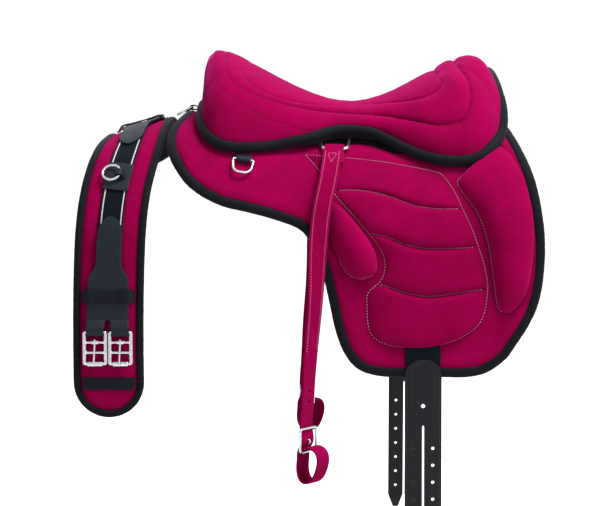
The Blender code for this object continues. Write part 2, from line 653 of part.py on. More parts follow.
class Pad:
    """The two flaps that meet at the spine, their bindings and the cushions sewn on them."""

    def __init__(self, shop):
        self.shop = shop
        size = np.array([PAD_LENGTH, FLAP_DROP])
        start = np.array([PAD_FRONT, 0.0])
        self.sides = [
            line_through(np.array(shares) * size + start, FLAP_SIDE_POINTS)
            for shares in (FLAP_FRONT_SHARES, FLAP_LOWER_SHARES, FLAP_REAR_SHARES)]
        self.rim = np.concatenate([self.sides[0], self.sides[1][1:], self.sides[2][1:]])

    def read_side(self, index, places):
        """The places on one side of the flap's outline."""
        side = self.sides[index]
        shares = np.linspace(0, 1, len(side))
        return np.stack([np.interp(places, shares, side[:, k]) for k in (0, 1)], -1)

    def flap_place(self, u, v):
        """x and s on the flap for shares along it and down it: a Coons patch."""
        inset = FLAP_BINDING_RADIUS + TOUCH_GAP
        line = inset_outline(self.rim, inset)
        line[:, 1] = np.maximum(line[:, 1], SPINE_GAP)
        counts = [len(side) for side in self.sides]
        front = line[:counts[0]]
        lower = line[counts[0] - 1:counts[0] + counts[1] - 1]
        rear = line[counts[0] + counts[1] - 2:]
        reach = np.array(FLAP_ROW_SHARES)[np.rint(v * (len(FLAP_ROW_SHARES) - 1)).astype(int)]
        left = np.stack([np.interp(reach, np.linspace(0, 1, len(front)), front[:, k]) for k in (0, 1)], -1)
        right = np.stack(
            [np.interp(reach, np.linspace(0, 1, len(rear)), rear[::-1, k]) for k in (0, 1)], -1)
        foot = np.stack([np.interp(u, np.linspace(0, 1, len(lower)), lower[:, k]) for k in (0, 1)], -1)
        spine_x = front[0, 0] + (rear[-1, 0] - front[0, 0]) * u
        top = np.stack([spine_x, np.full_like(u, SPINE_GAP)], -1)
        a, b = u[:, None], reach[:, None]
        corners = (
            (1 - a) * (1 - b) * front[0] + a * (1 - b) * rear[-1]
            + (1 - a) * b * lower[0] + a * b * lower[-1])
        return (1 - a) * left + a * right + (1 - b) * top + b * foot - corners

    def flap(self, name, side):
        """The suede flap, cut to fit inside its binding."""

        def shape(u, v):
            place = self.flap_place(u, v)
            return back_point(place[:, 0], side * place[:, 1], FLAP_THICKNESS / 2)

        maker = grid_mesh(FLAP_COLUMNS, len(FLAP_ROW_SHARES) - 1, shape)
        piece = self.shop.add_mesh(f"{name}_flap", maker, self.shop.suede)
        self.shop.solidify(piece, FLAP_THICKNESS)

    def flap_binding(self, name, side):
        """The round binding along the flap's edge, open at the spine."""
        rows = np.array(FLAP_ROW_SHARES)
        columns = np.linspace(0, 1, FLAP_COLUMNS + 1)
        line = np.concatenate([
            self.read_side(0, rows), self.read_side(1, columns[1:-1]), self.read_side(2, 1 - rows[::-1])])
        line[:, 1] = np.maximum(line[:, 1], SPINE_GAP)
        points = back_point(line[:, 0], side * line[:, 1], FLAP_THICKNESS / 2)
        self.shop.tube(f"{name}_flap_binding", points, FLAP_BINDING_RADIUS, self.shop.binding)

    def cushion(self, name, finish, rows, front, length, top, drop, puff, side, base):
        """A sewn cushion: rows of left, middle and right places, with a crown across them."""
        steps = ROW_DIVISIONS * (len(rows) - 1) + 1
        table = curve_through(np.arange(len(rows)), rows)(np.linspace(0, len(rows) - 1, steps))
        across = np.array(CROWN_ACROSS_SHARES + BACK_ACROSS_SHARES)
        lift = np.array(CROWN_HEIGHT_SHARES + (0.0,) * len(BACK_ACROSS_SHARES))
        left, middle, right = table[:, 0:2], table[:, 2:4], table[:, 4:6]
        place = np.stack([
            2 * (a - 0.5) * (a - 1) * left + 4 * a * (1 - a) * middle + 2 * a * (a - 0.5) * right
            for a in across], axis=1)
        x = front + length * place[..., 0]
        s = top + drop * place[..., 1]
        h = base + puff * lift[None, :] * table[:, 6:7]
        maker = loft_mesh(back_point(x, side * s, h))
        return self.shop.add_mesh(name, maker, finish)

    def build(self):
        """Both flaps and what is sewn to them."""
        shop = self.shop
        outside = FLAP_THICKNESS + LAID_GAP
        for name, side in (("near", 1), ("off", -1)):
            self.flap(name, side)
            self.flap_binding(name, side)
            self.cushion(
                f"{name}_panel", shop.lining, PANEL_ROW_SHARES, PANEL_FRONT, PANEL_LENGTH,
                PANEL_TOP, PANEL_DROP, -PANEL_THICKNESS, side, -PANEL_GAP)
            self.cushion(
                f"{name}_fender", shop.suede, FENDER_ROW_SHARES, FENDER_FRONT, FENDER_LENGTH,
                FENDER_TOP, FENDER_DROP, FENDER_PUFF, side, outside)
            self.cushion(
                f"{name}_knee_roll", shop.suede, KNEE_ROW_SHARES, KNEE_FRONT, KNEE_LENGTH,
                KNEE_TOP, KNEE_DROP, KNEE_PUFF, side, outside)
            self.cushion(
                f"{name}_thigh_block", shop.suede, THIGH_ROW_SHARES, THIGH_FRONT, THIGH_LENGTH,
                THIGH_TOP, THIGH_DROP, THIGH_PUFF, side, outside)


class Seat:
    """The padded seat with its pommel and cantle, and what closes it below."""

    def __init__(self, shop):
        self.shop = shop
        edge = np.array(SEAT_EDGE_SHARES)
        points = back_point(
            SEAT_FRONT + SEAT_LENGTH * edge[:, 0], SEAT_EDGE_DROP * edge[:, 1],
            CANTLE_EDGE_HEIGHT * edge[:, 2])
        self.edge = line_through(points, SEAT_EDGE_POINTS)
        self.edge[[0, -1], 1] = 0.0
        self.stations = self.place_stations()
        self.inner = curve_through(CHANNEL_STATION_SHARES, INNER_CHANNEL_SHARES)
        self.outer = curve_through(CHANNEL_STATION_SHARES, OUTER_CHANNEL_SHARES)

    def place_stations(self):
        """Places along the edge, closer together where it turns sharply."""
        runs = np.diff(self.edge, axis=0)
        heading = runs / np.linalg.norm(runs, axis=1)[:, None]
        bend = np.linalg.norm(np.diff(heading, axis=0), axis=1)
        bend = np.convolve(bend, np.ones(BEND_WINDOW) / BEND_WINDOW, "same")
        weight = np.linalg.norm(runs, axis=1) + TURNING_LENGTH * np.append(bend, bend[-1])
        total = np.concatenate([[0], np.cumsum(weight)])
        places = np.interp(np.linspace(0, total[-1], SEAT_COLUMNS + 1), total, np.linspace(0, 1, len(total)))
        return places

    def edge_at(self, w):
        """The edge loop's point at a share of its half length."""
        places = np.linspace(0, 1, len(self.edge))
        return np.stack([np.interp(w, places, self.edge[:, k]) for k in range(3)], axis=-1)

    def top(self, w, v):
        """The seat's top at w along the edge loop and v from the crest to the edge."""
        edge = self.edge_at(w)
        run = np.clip((w - CREST_FRONT_SHARE) / (1 - CREST_FRONT_SHARE - CREST_REAR_SHARE), 0, 1)
        crest_x = CREST_FRONT + (CREST_REAR - CREST_FRONT) * run
        reach = np.sin(math.pi / 2 * v) ** SIDE_ROUNDNESS
        ends = np.clip(np.minimum(w, 1 - w) / END_REACH_SHARE, 0, 1)
        least = np.where(w < 0.5, POMMEL_FULLNESS_SHARE, CANTLE_FULLNESS_SHARE)
        fullness = least + (1 - least) * ends ** 2 * (3 - 2 * ends)
        drop = 1 - np.maximum(np.cos(math.pi / 2 * v), 0) ** fullness
        x = crest_x + (edge[..., 0] - crest_x) * reach
        crest = POMMEL_HEIGHT * np.interp(
            (x - SEAT_FRONT) / SEAT_LENGTH, CREST_STATION_SHARES, CREST_HEIGHT_SHARES)
        z = crest * (1 - drop) + edge[..., 2] * drop
        return np.stack([x, edge[..., 1] * reach, z], axis=-1)

    def outward(self, w, v):
        """The unit normal of the seat's top."""
        step = NORMAL_STEP_SHARE
        first, second = CREST_STEP_SHARES
        low, high = np.clip(w - step, 0, 1), np.clip(w + step, 0, 1)
        along = self.top(high, v) - self.top(low, v)
        down = self.top(w, np.clip(v + step, second, 1)) - self.top(w, np.clip(v - step, first, 1 - first))
        normal = np.cross(along, down)
        normal = np.where(normal[..., 2:3] < 0, -normal, normal)
        normal[..., 1] = np.where((w < step) | (w > 1 - step) | (v < step), 0, normal[..., 1])
        size = np.linalg.norm(normal, axis=-1, keepdims=True)
        flat = size < 1e-12
        return np.where(flat, (0.0, 0.0, 1.0), normal / np.where(flat, 1, size))

    def rim_share(self, w):
        """How far down the cover runs at w before it meets the binding."""
        clear = SEAT_BINDING_RADIUS + 2 * LAID_GAP + ROUND_GAP
        tries = np.linspace(RIM_SEARCH_SHARE, 1, RIM_SEARCH_STEPS)
        result = np.empty(len(w))
        for i, place in enumerate(w):
            spread = np.full(len(tries), place)
            outer = self.top(spread, tries)
            inner = outer - COVER_THICKNESS * self.outward(spread, tries)
            near = [
                np.linalg.norm(line[:, None] - self.edge[None], axis=-1).min(axis=1) for line in (outer, inner)]
            free = np.nonzero(np.minimum(*near) < clear)[0]
            result[i] = tries[free[0] - 1] if len(free) else tries[-1]
        return result

    def cover_rows(self, w):
        """Row places down the seat at w, with a row on each sewn channel, and their depths."""
        inner, outer, rim = self.inner(w), self.outer(w), self.rim_share(w)
        side = np.minimum(CHANNEL_HALF_SHARE, CHANNEL_GAP_SHARE * (outer - inner))
        rows = [
            0 * w, inner / 2, inner - CHANNEL_HALF_SHARE, inner, inner + side, outer - side, outer,
            outer + CHANNEL_HALF_SHARE, outer + LOW_ROW_SHARES[0] * (rim - outer),
            outer + LOW_ROW_SHARES[1] * (rim - outer), rim]
        depths = [0, 0, 0, 1, 0, 0, 1, 0, 0, 0, 0]
        return np.stack(rows, axis=-1), np.array(depths, float)

    def cover(self):
        """The suede cover with its wadding, a shell over the foam."""
        stations = self.stations
        rows, depths = self.cover_rows(stations)
        last = rows.shape[1] - 1

        def shape(u, v):
            column = np.rint(u * SEAT_COLUMNS).astype(int)
            row = np.rint(v * last).astype(int)
            w = stations[column]
            place = rows[column, row]
            sunk = CHANNEL_DEPTH * depths[row][:, None]
            return self.top(w, place) - sunk * self.outward(w, place)

        maker = grid_mesh(SEAT_COLUMNS, last, shape, upward=(0, 0, 1), weld=True)
        piece = self.shop.add_mesh("seat_cover", maker, self.shop.suede)
        self.shop.mirror(piece)
        self.shop.solidify(piece, COVER_THICKNESS, offset=-1.0)

    def foam(self):
        """The foam inside, flat-bottomed over the seat base."""
        stations = self.stations[::2]
        columns, rows = len(stations) - 1, FOAM_ROWS
        last = 2 * rows + 1
        floor = FLAP_THICKNESS + 2 * LAID_GAP + WEB_THICKNESS + BASE_THICKNESS + LAID_GAP

        def shape(u, v):
            w = stations[np.rint(u * columns).astype(int)]
            row = np.rint(v * last)
            upper = row <= rows
            share = np.where(upper, row, last - row) / rows
            place = share * np.interp(w, FOAM_STATION_SHARES, FOAM_REACH_SHARES)
            top = self.top(w, place) - FOAM_INSET * self.outward(w, place)
            rise = np.clip((share - FOAM_RISE_START_SHARE) / FOAM_RISE_REACH_SHARE, 0, 1)
            bottom = top.copy()
            bottom[:, 2] = back_height(top[:, 0], top[:, 1], floor + FOAM_RIM_RISE * rise)
            return np.where(upper[:, None], top, bottom)

        maker = grid_mesh(columns, last, shape, weld=True)
        face_outward(maker)
        piece = self.shop.add_mesh("seat_foam", maker, self.shop.foam)
        self.shop.mirror(piece)

    def base(self):
        """The stiff leather base that the foam sits on."""
        level = FLAP_THICKNESS + 2 * LAID_GAP + WEB_THICKNESS + BASE_THICKNESS / 2

        def shape(u, v):
            place = v * np.interp(u, BASE_STATION_SHARES, BASE_REACH_SHARES)
            point = self.top(u, place)
            point[:, 2] = back_height(point[:, 0], point[:, 1], level)
            return point

        maker = grid_mesh(BASE_COLUMNS, BASE_ROWS, shape, upward=(0, 0, 1), weld=True)
        piece = self.shop.add_mesh("seat_base", maker, self.shop.leather)
        self.shop.mirror(piece)
        self.shop.solidify(piece, BASE_THICKNESS)

    def gusset(self):
        """The upright wall under the back of the cantle, from the pad to the binding."""
        clear = SEAT_BINDING_RADIUS + LAID_GAP + GUSSET_THICKNESS / 2
        stations = self.stations[self.stations > GUSSET_START_SHARE]
        last = len(stations) - 1

        def shape(u, v):
            w = stations[np.rint(u * last).astype(int)]
            edge = self.edge_at(w)
            inward = np.stack([np.full_like(w, CREST_REAR), 0 * w, edge[:, 2]], -1) - edge
            inward /= np.linalg.norm(inward, axis=1)[:, None]
            foot = edge + GUSSET_INSET * inward
            foot[:, 2] = back_height(foot[:, 0], foot[:, 1], FLAP_THICKNESS + 2 * LAID_GAP)
            down = foot - edge
            length = np.linalg.norm(down, axis=1)[:, None]
            head = edge + down / length * np.minimum(clear, length / 2)
            return head + (foot - head) * v[:, None]

        maker = grid_mesh(last, GUSSET_ROWS, shape, upward=(1, 0, 0))
        piece = self.shop.add_mesh("cantle_gusset", maker, self.shop.leather)
        self.shop.mirror(piece)
        self.shop.solidify(piece, GUSSET_THICKNESS)

    def seat_binding(self):
        """The round binding along the whole edge of the seat."""
        half = self.edge_at(self.stations)
        other = half[-2:0:-1] * (1, -1, 1)
        loop = np.concatenate([half, other])
        self.shop.tube("seat_binding", loop, SEAT_BINDING_RADIUS, self.shop.binding, closed=True)

    def build(self):
        """The cover, its foam, the base, the gusset and the binding."""
        self.cover()
        self.foam()
        self.base()
        self.gusset()
        self.seat_binding()


def strip_mesh(points, half_widths, across):
    """A flat strip along the points, reaching its half widths across."""
    points = np.asarray(points, float)
    reach = np.broadcast_to(half_widths, len(points))[:, None] * np.broadcast_to(across, points.shape)
    count = len(points) - 1

    def shape(u, v):
        row = np.rint(v * count).astype(int)
        return points[row] + (2 * u - 1)[:, None] * reach[row]

    return grid_mesh(1, count, shape)


def wrap_points(x, s, h, radius, start, end, steps=5):
    """An arc about a bar that lies at x, s, h: angles run from downhill to outward."""
    downhill, outward = back_frame(x, s)
    centre = back_point(x, s, h)
    turns = np.radians(np.linspace(start, end, steps))
    return centre + radius * (np.cos(turns)[:, None] * downhill + np.sin(turns)[:, None] * outward)


def lay_outline(outline, centre, x_axis, y_axis):
    """Lift a flat outline into the plane of two unit vectors at a centre."""
    return centre + outline[:, 0:1] * np.asarray(x_axis) + outline[:, 1:2] * np.asarray(y_axis)


def round_cutter(shop, name, places, direction, radius, reach):
    """One object of pins along a direction, to bore a row of holes."""
    maker = bmesh.new()
    turn = Vector((0, 0, 1)).rotation_difference(Vector(direction)).to_matrix().to_4x4()
    for place in places:
        bmesh.ops.create_cone(
            maker, cap_ends=True, segments=12, radius1=radius, radius2=radius, depth=reach,
            matrix=Matrix.Translation(Vector(place)) @ turn)
    return shop.add_mesh(name, maker, shop.steel, group=shop.cutters)


def bore(piece, cutter):
    """Cut the pins out of the piece."""
    cutter.hide_render = True
    cutter.display_type = "WIRE"
    cut = piece.modifiers.new("bore", "BOOLEAN")
    cut.operation = "DIFFERENCE"
    cut.solver = "EXACT"
    cut.object = cutter


class Stirrup:
    """The dee, the doubled leather and the buckle on one side."""

    def __init__(self, shop, name, side):
        self.shop = shop
        self.name = name
        self.side = side
        self.foot_reach = DEE_REACH + DEE_LENGTH
        self.foot_height = FLAP_THICKNESS + DEE_BAR_RISE + DEE_FOOT_RISE
        self.bar = back_point(DEE_X, side * DEE_REACH, FLAP_THICKNESS + DEE_BAR_RISE)
        self.foot = back_point(DEE_X, side * self.foot_reach, self.foot_height)
        x, y, z = STIRRUP_BUCKLE_CENTRE
        self.buckle = np.array([x, -side * y, z])
        self.across = np.array([math.cos(STIRRUP_TURN), side * math.sin(STIRRUP_TURN), 0.0])
        self.outward = np.array([math.sin(STIRRUP_TURN), -side * math.cos(STIRRUP_TURN), 0.0])
        self.down = np.array([0.0, 0.0, -1.0])

    def at_buckle(self, rows):
        """Places given as millimetres outward and down from the buckle's middle."""
        table = np.array(rows, float) * MM
        return self.buckle + table[:, 0:1] * self.outward + table[:, 1:2] * self.down

    def dee(self):
        """The dee that the leather hangs from."""
        length = np.linalg.norm(self.foot - self.bar)
        outline = dee_outline(DEE_WIDTH, DEE_FOOT_WIDTH, length, DEE_TOP_CORNER, DEE_FOOT_CORNER)
        ahead = along_back(DEE_X, DEE_WIDTH / 2)
        points = lay_outline(outline, self.bar, ahead, (self.foot - self.bar) / length)
        self.shop.tube(
            f"{self.name}_stirrup_dee", points, DEE_WIRE, self.shop.steel, self.bar, closed=True)

    def leather(self):
        """The leather: a tail behind, round the dee's foot, down, and a loop for the iron."""
        wrap = DEE_WIRE + TOUCH_GAP + LEATHER_THICKNESS / 2
        back = np.array(STIRRUP_TAIL_ROWS) * MM
        tail = back_point(
            DEE_X, self.side * (self.foot_reach + back[:, 0]), self.foot_height - wrap + back[:, 1])
        turn = wrap_points(DEE_X, self.side * self.foot_reach, self.foot_height, wrap, 270, 90, 8)
        rows = np.array(STIRRUP_ROWS)
        laid = back_point(rows[:, 2] * MM, self.side * rows[:, 0] * MM, rows[:, 1] * MM)
        end = self.at_buckle(STIRRUP_END_ROWS)
        bar = self.at_buckle(((0, STIRRUP_BUCKLE_HEIGHT / 2 / MM),))[0]
        hook = STIRRUP_BUCKLE_WIRE + TOUCH_GAP + LEATHER_THICKNESS / 2
        turns = np.radians(np.linspace(90, 180, 4))
        close = bar + hook * (np.cos(turns)[:, None] * self.outward - np.sin(turns)[:, None] * self.down)
        points = np.concatenate([tail, turn, laid, end, close])
        twist = np.radians(rows[:, 3])
        plain = np.broadcast_to(along_back(DEE_X, DEE_WIDTH / 2), (len(tail) + len(turn), 3))
        turned = np.stack([np.cos(twist), self.side * np.sin(twist), 0 * twist], axis=-1)
        low = np.broadcast_to(self.across, (len(end) + len(close), 3))
        across = np.concatenate([plain, turned, low])
        maker = strip_mesh(points, STIRRUP_WIDTH / 2, across)
        piece = self.shop.add_mesh(f"{self.name}_stirrup_leather", maker, self.shop.suede, self.foot)
        self.shop.solidify(piece, LEATHER_THICKNESS)
        places = [
            np.array([np.interp(reach, rows[:, 0] * MM, laid[:, k]) for k in range(3)])
            for reach in STIRRUP_HOLE_REACHES[:-1]]
        pins = round_cutter(
            self.shop, f"{self.name}_stirrup_holes", places, self.outward, STIRRUP_HOLE_RADIUS,
            4 * LEATHER_THICKNESS)
        bore(piece, pins)
        pin = round_cutter(
            self.shop, f"{self.name}_prong_hole", self.at_buckle(((0, 0),)), self.outward,
            STIRRUP_PRONG_HOLE, 3 * LEATHER_THICKNESS)
        bore(piece, pin)

    def buckle_ring(self):
        """The wire buckle, in front of the leather that runs through it."""
        half_width = STIRRUP_BUCKLE_WIDTH / 2
        half_height = STIRRUP_BUCKLE_HEIGHT / 2
        corners = (
            (-half_width, -half_height), (half_width, -half_height),
            (half_width, half_height), (-half_width, half_height))
        outline = rounded_outline(corners, (STIRRUP_BUCKLE_CORNER,) * 4)
        points = lay_outline(outline, self.buckle, self.across, self.down)
        self.shop.tube(
            f"{self.name}_stirrup_buckle", points, STIRRUP_BUCKLE_WIRE, self.shop.steel, self.foot, closed=True)

    def build(self):
        """The dee, the leather, the buckle and its prong."""
        self.dee()
        self.leather()
        self.buckle_ring()
        self.shop.tube(
            f"{self.name}_stirrup_prong", self.at_buckle(STIRRUP_PRONG_ROWS), PRONG_RADIUS,
            self.shop.steel, self.foot)


def keeper_path(bar, toward_root, outward, root_reach, return_reach, slack=0):
    """A keeper folded round a wire: its root below, its return above."""
    wrap = FRONT_DEE_WIRE + TOUCH_GAP + slack + KEEPER_THICKNESS / 2
    root = bar + root_reach * toward_root - wrap * outward
    turns = np.radians(np.linspace(0, 180, 7))
    fold = bar - wrap * (np.cos(turns)[:, None] * outward + np.sin(turns)[:, None] * toward_root)
    end = bar + return_reach * toward_root + (KEEPER_THICKNESS + TOUCH_GAP - wrap) * outward
    back, up = KEEPER_MIDDLE_SHARES
    middle = bar + back * return_reach * toward_root + up * wrap * outward
    return np.concatenate([[root], fold, [middle, end]])


def build_front_dee(shop, name, side):
    """The dee ring on the front of a flap, and the keeper that holds it."""
    reach = side * FRONT_DEE_REACH
    bar = back_point(FRONT_DEE_X, reach, FLAP_THICKNESS + FRONT_DEE_RISE)
    downhill, outward = back_frame(FRONT_DEE_X, reach)
    ahead = along_back(FRONT_DEE_X, FRONT_DEE_WIDTH / 2)
    downhill = downhill - (downhill @ ahead) * ahead
    outward = outward - (outward @ ahead) * ahead
    drop = math.cos(FRONT_DEE_DROOP) * downhill + math.sin(FRONT_DEE_DROOP) * outward
    outline = dee_outline(
        FRONT_DEE_WIDTH, FRONT_DEE_FOOT_WIDTH, FRONT_DEE_LENGTH, FRONT_DEE_TOP_CORNER, FRONT_DEE_FOOT_CORNER)
    points = lay_outline(outline, bar, ahead, drop)
    shop.tube(f"{name}_front_dee_ring", points, FRONT_DEE_WIRE, shop.steel, bar, closed=True)
    path = keeper_path(bar, -downhill, outward, FRONT_KEEPER_REACH, FRONT_KEEPER_REACH - LEATHER_THICKNESS)
    maker = strip_mesh(path, FRONT_KEEPER_WIDTH / 2, ahead)
    piece = shop.add_mesh(f"{name}_front_dee_keeper", maker, shop.leather)
    shop.solidify(piece, KEEPER_THICKNESS)


def build_pommel_dee(shop):
    """The dee ring at the front of the pommel, on a strap along the spine."""
    bar = back_point(POMMEL_DEE_X, 0, FLAP_THICKNESS + POMMEL_DEE_RISE)
    drop = np.array([-math.cos(POMMEL_DEE_DROOP), 0.0, -math.sin(POMMEL_DEE_DROOP)])
    outline = dee_outline(
        FRONT_DEE_WIDTH, FRONT_DEE_FOOT_WIDTH, FRONT_DEE_LENGTH, FRONT_DEE_TOP_CORNER, FRONT_DEE_FOOT_CORNER)
    points = lay_outline(outline, bar, (0, 1, 0), drop)
    shop.tube("pommel_dee_ring", points, FRONT_DEE_WIRE, shop.steel, bar, closed=True)
    wrap = FRONT_DEE_WIRE + TOUCH_GAP + KEEPER_THICKNESS / 2
    rows = np.array(POMMEL_KEEPER_ROWS) * MM
    laid = back_point(POMMEL_DEE_X + rows[:, 0], 0 * rows[:, 0], FLAP_THICKNESS + rows[:, 1])
    turns = np.radians(np.linspace(270, 90, 7))
    fold = bar + wrap * np.stack([np.cos(turns), 0 * turns, np.sin(turns)], axis=-1)
    rows = np.array(POMMEL_KEEPER_RETURN_ROWS) * MM
    back = back_point(POMMEL_DEE_X + rows[:, 0], 0 * rows[:, 0], FLAP_THICKNESS + rows[:, 1])
    maker = strip_mesh(np.concatenate([laid, fold, back]), FRONT_KEEPER_WIDTH / 2, (0, 1, 0))
    piece = shop.add_mesh("pommel_dee_strap", maker, shop.leather)
    shop.solidify(piece, KEEPER_THICKNESS)


def build_carrier(shop):
    """The web over the spine that carries both stirrup dees."""
    wrap = DEE_WIRE + TOUCH_GAP + WEB_THICKNESS / 2
    height = FLAP_THICKNESS + DEE_BAR_RISE
    near = wrap_points(DEE_X, DEE_REACH, height, wrap, 90, -90, 9)
    off = wrap_points(DEE_X, -DEE_REACH, height, wrap, -90, 90, 9)
    bars = np.linspace(DEE_REACH, -DEE_REACH, CARRIER_STATIONS)[1:-1]
    middle = back_point(DEE_X, bars, height - wrap)
    near_end = back_point(DEE_X, DEE_REACH - CARRIER_RETURN, height + wrap)
    off_end = back_point(DEE_X, CARRIER_RETURN - DEE_REACH, height + wrap)
    path = np.concatenate([[near_end], near, middle, off, [off_end]])
    maker = strip_mesh(path, CARRIER_WIDTH / 2, along_back(DEE_X, CARRIER_WIDTH / 2))
    piece = shop.add_mesh("stirrup_carrier_web", maker, shop.webbing)
    shop.solidify(piece, WEB_THICKNESS)


def billet_outlines():
    """The billet's outline with its slit, and its holes: x across, y down from its top."""
    half = BILLET_WIDTH / 2
    slit = BILLET_SLIT_WIDTH / 2
    tail = (half + slit) / 2
    tip = BILLET_TIP_WIDTH / 2
    shoulder = BILLET_LENGTH - BILLET_TIP_LENGTH
    turns = np.linspace(0, math.pi / 2, 6)
    corner = BILLET_TOP_CORNER
    left = [(-half + corner - corner * math.cos(a), corner - corner * math.sin(a)) for a in turns]
    right = [(-x, y) for x, y in reversed(left)]
    foot = [
        (half, shoulder), (tail + tip, BILLET_LENGTH), (tail - tip, BILLET_LENGTH), (slit, shoulder),
        (slit, BILLET_SLIT_START), (-slit, BILLET_SLIT_START), (-slit, shoulder),
        (tip - tail, BILLET_LENGTH), (-tail - tip, BILLET_LENGTH), (-half, shoulder)]
    outlines = [left + right + foot]
    ring = np.linspace(0, 2 * math.pi, HOLE_SIDES + 1)[:-1]
    for middle in (-tail, tail):
        for k in range(BILLET_HOLES):
            y = BILLET_FIRST_HOLE + k * BILLET_HOLE_PITCH
            outlines.append([
                (middle + BILLET_HOLE_RADIUS * math.cos(a), y + BILLET_HOLE_RADIUS * math.sin(a))
                for a in ring])
    return outlines


def build_billet(shop, name, side):
    """The web below the fender and the split billet on it, turning on the web's top."""
    hinge_height = FLAP_THICKNESS + LAID_GAP + WEB_THICKNESS / 2
    hinge = back_point(BILLET_X, side * BILLET_WEB_TOP, hinge_height)
    downhill, outward = back_frame(BILLET_X, side * BILLET_WEB_TOP)
    web = [hinge, hinge + BILLET_WEB_LENGTH * downhill]
    maker = strip_mesh(web, BILLET_WEB_WIDTH / 2, (1, 0, 0))
    piece = shop.add_mesh(f"{name}_billet_web", maker, shop.webbing, hinge)
    shop.solidify(piece, WEB_THICKNESS)
    lift = (WEB_THICKNESS + BILLET_THICKNESS) / 2 + TOUCH_GAP
    top = hinge + (BILLET_TOP - BILLET_WEB_TOP) * downhill + lift * outward
    shop.plate(
        f"{name}_billet", billet_outlines(), BILLET_THICKNESS, shop.leather,
        (np.array([1.0, 0.0, 0.0]), downhill), top, hinge)


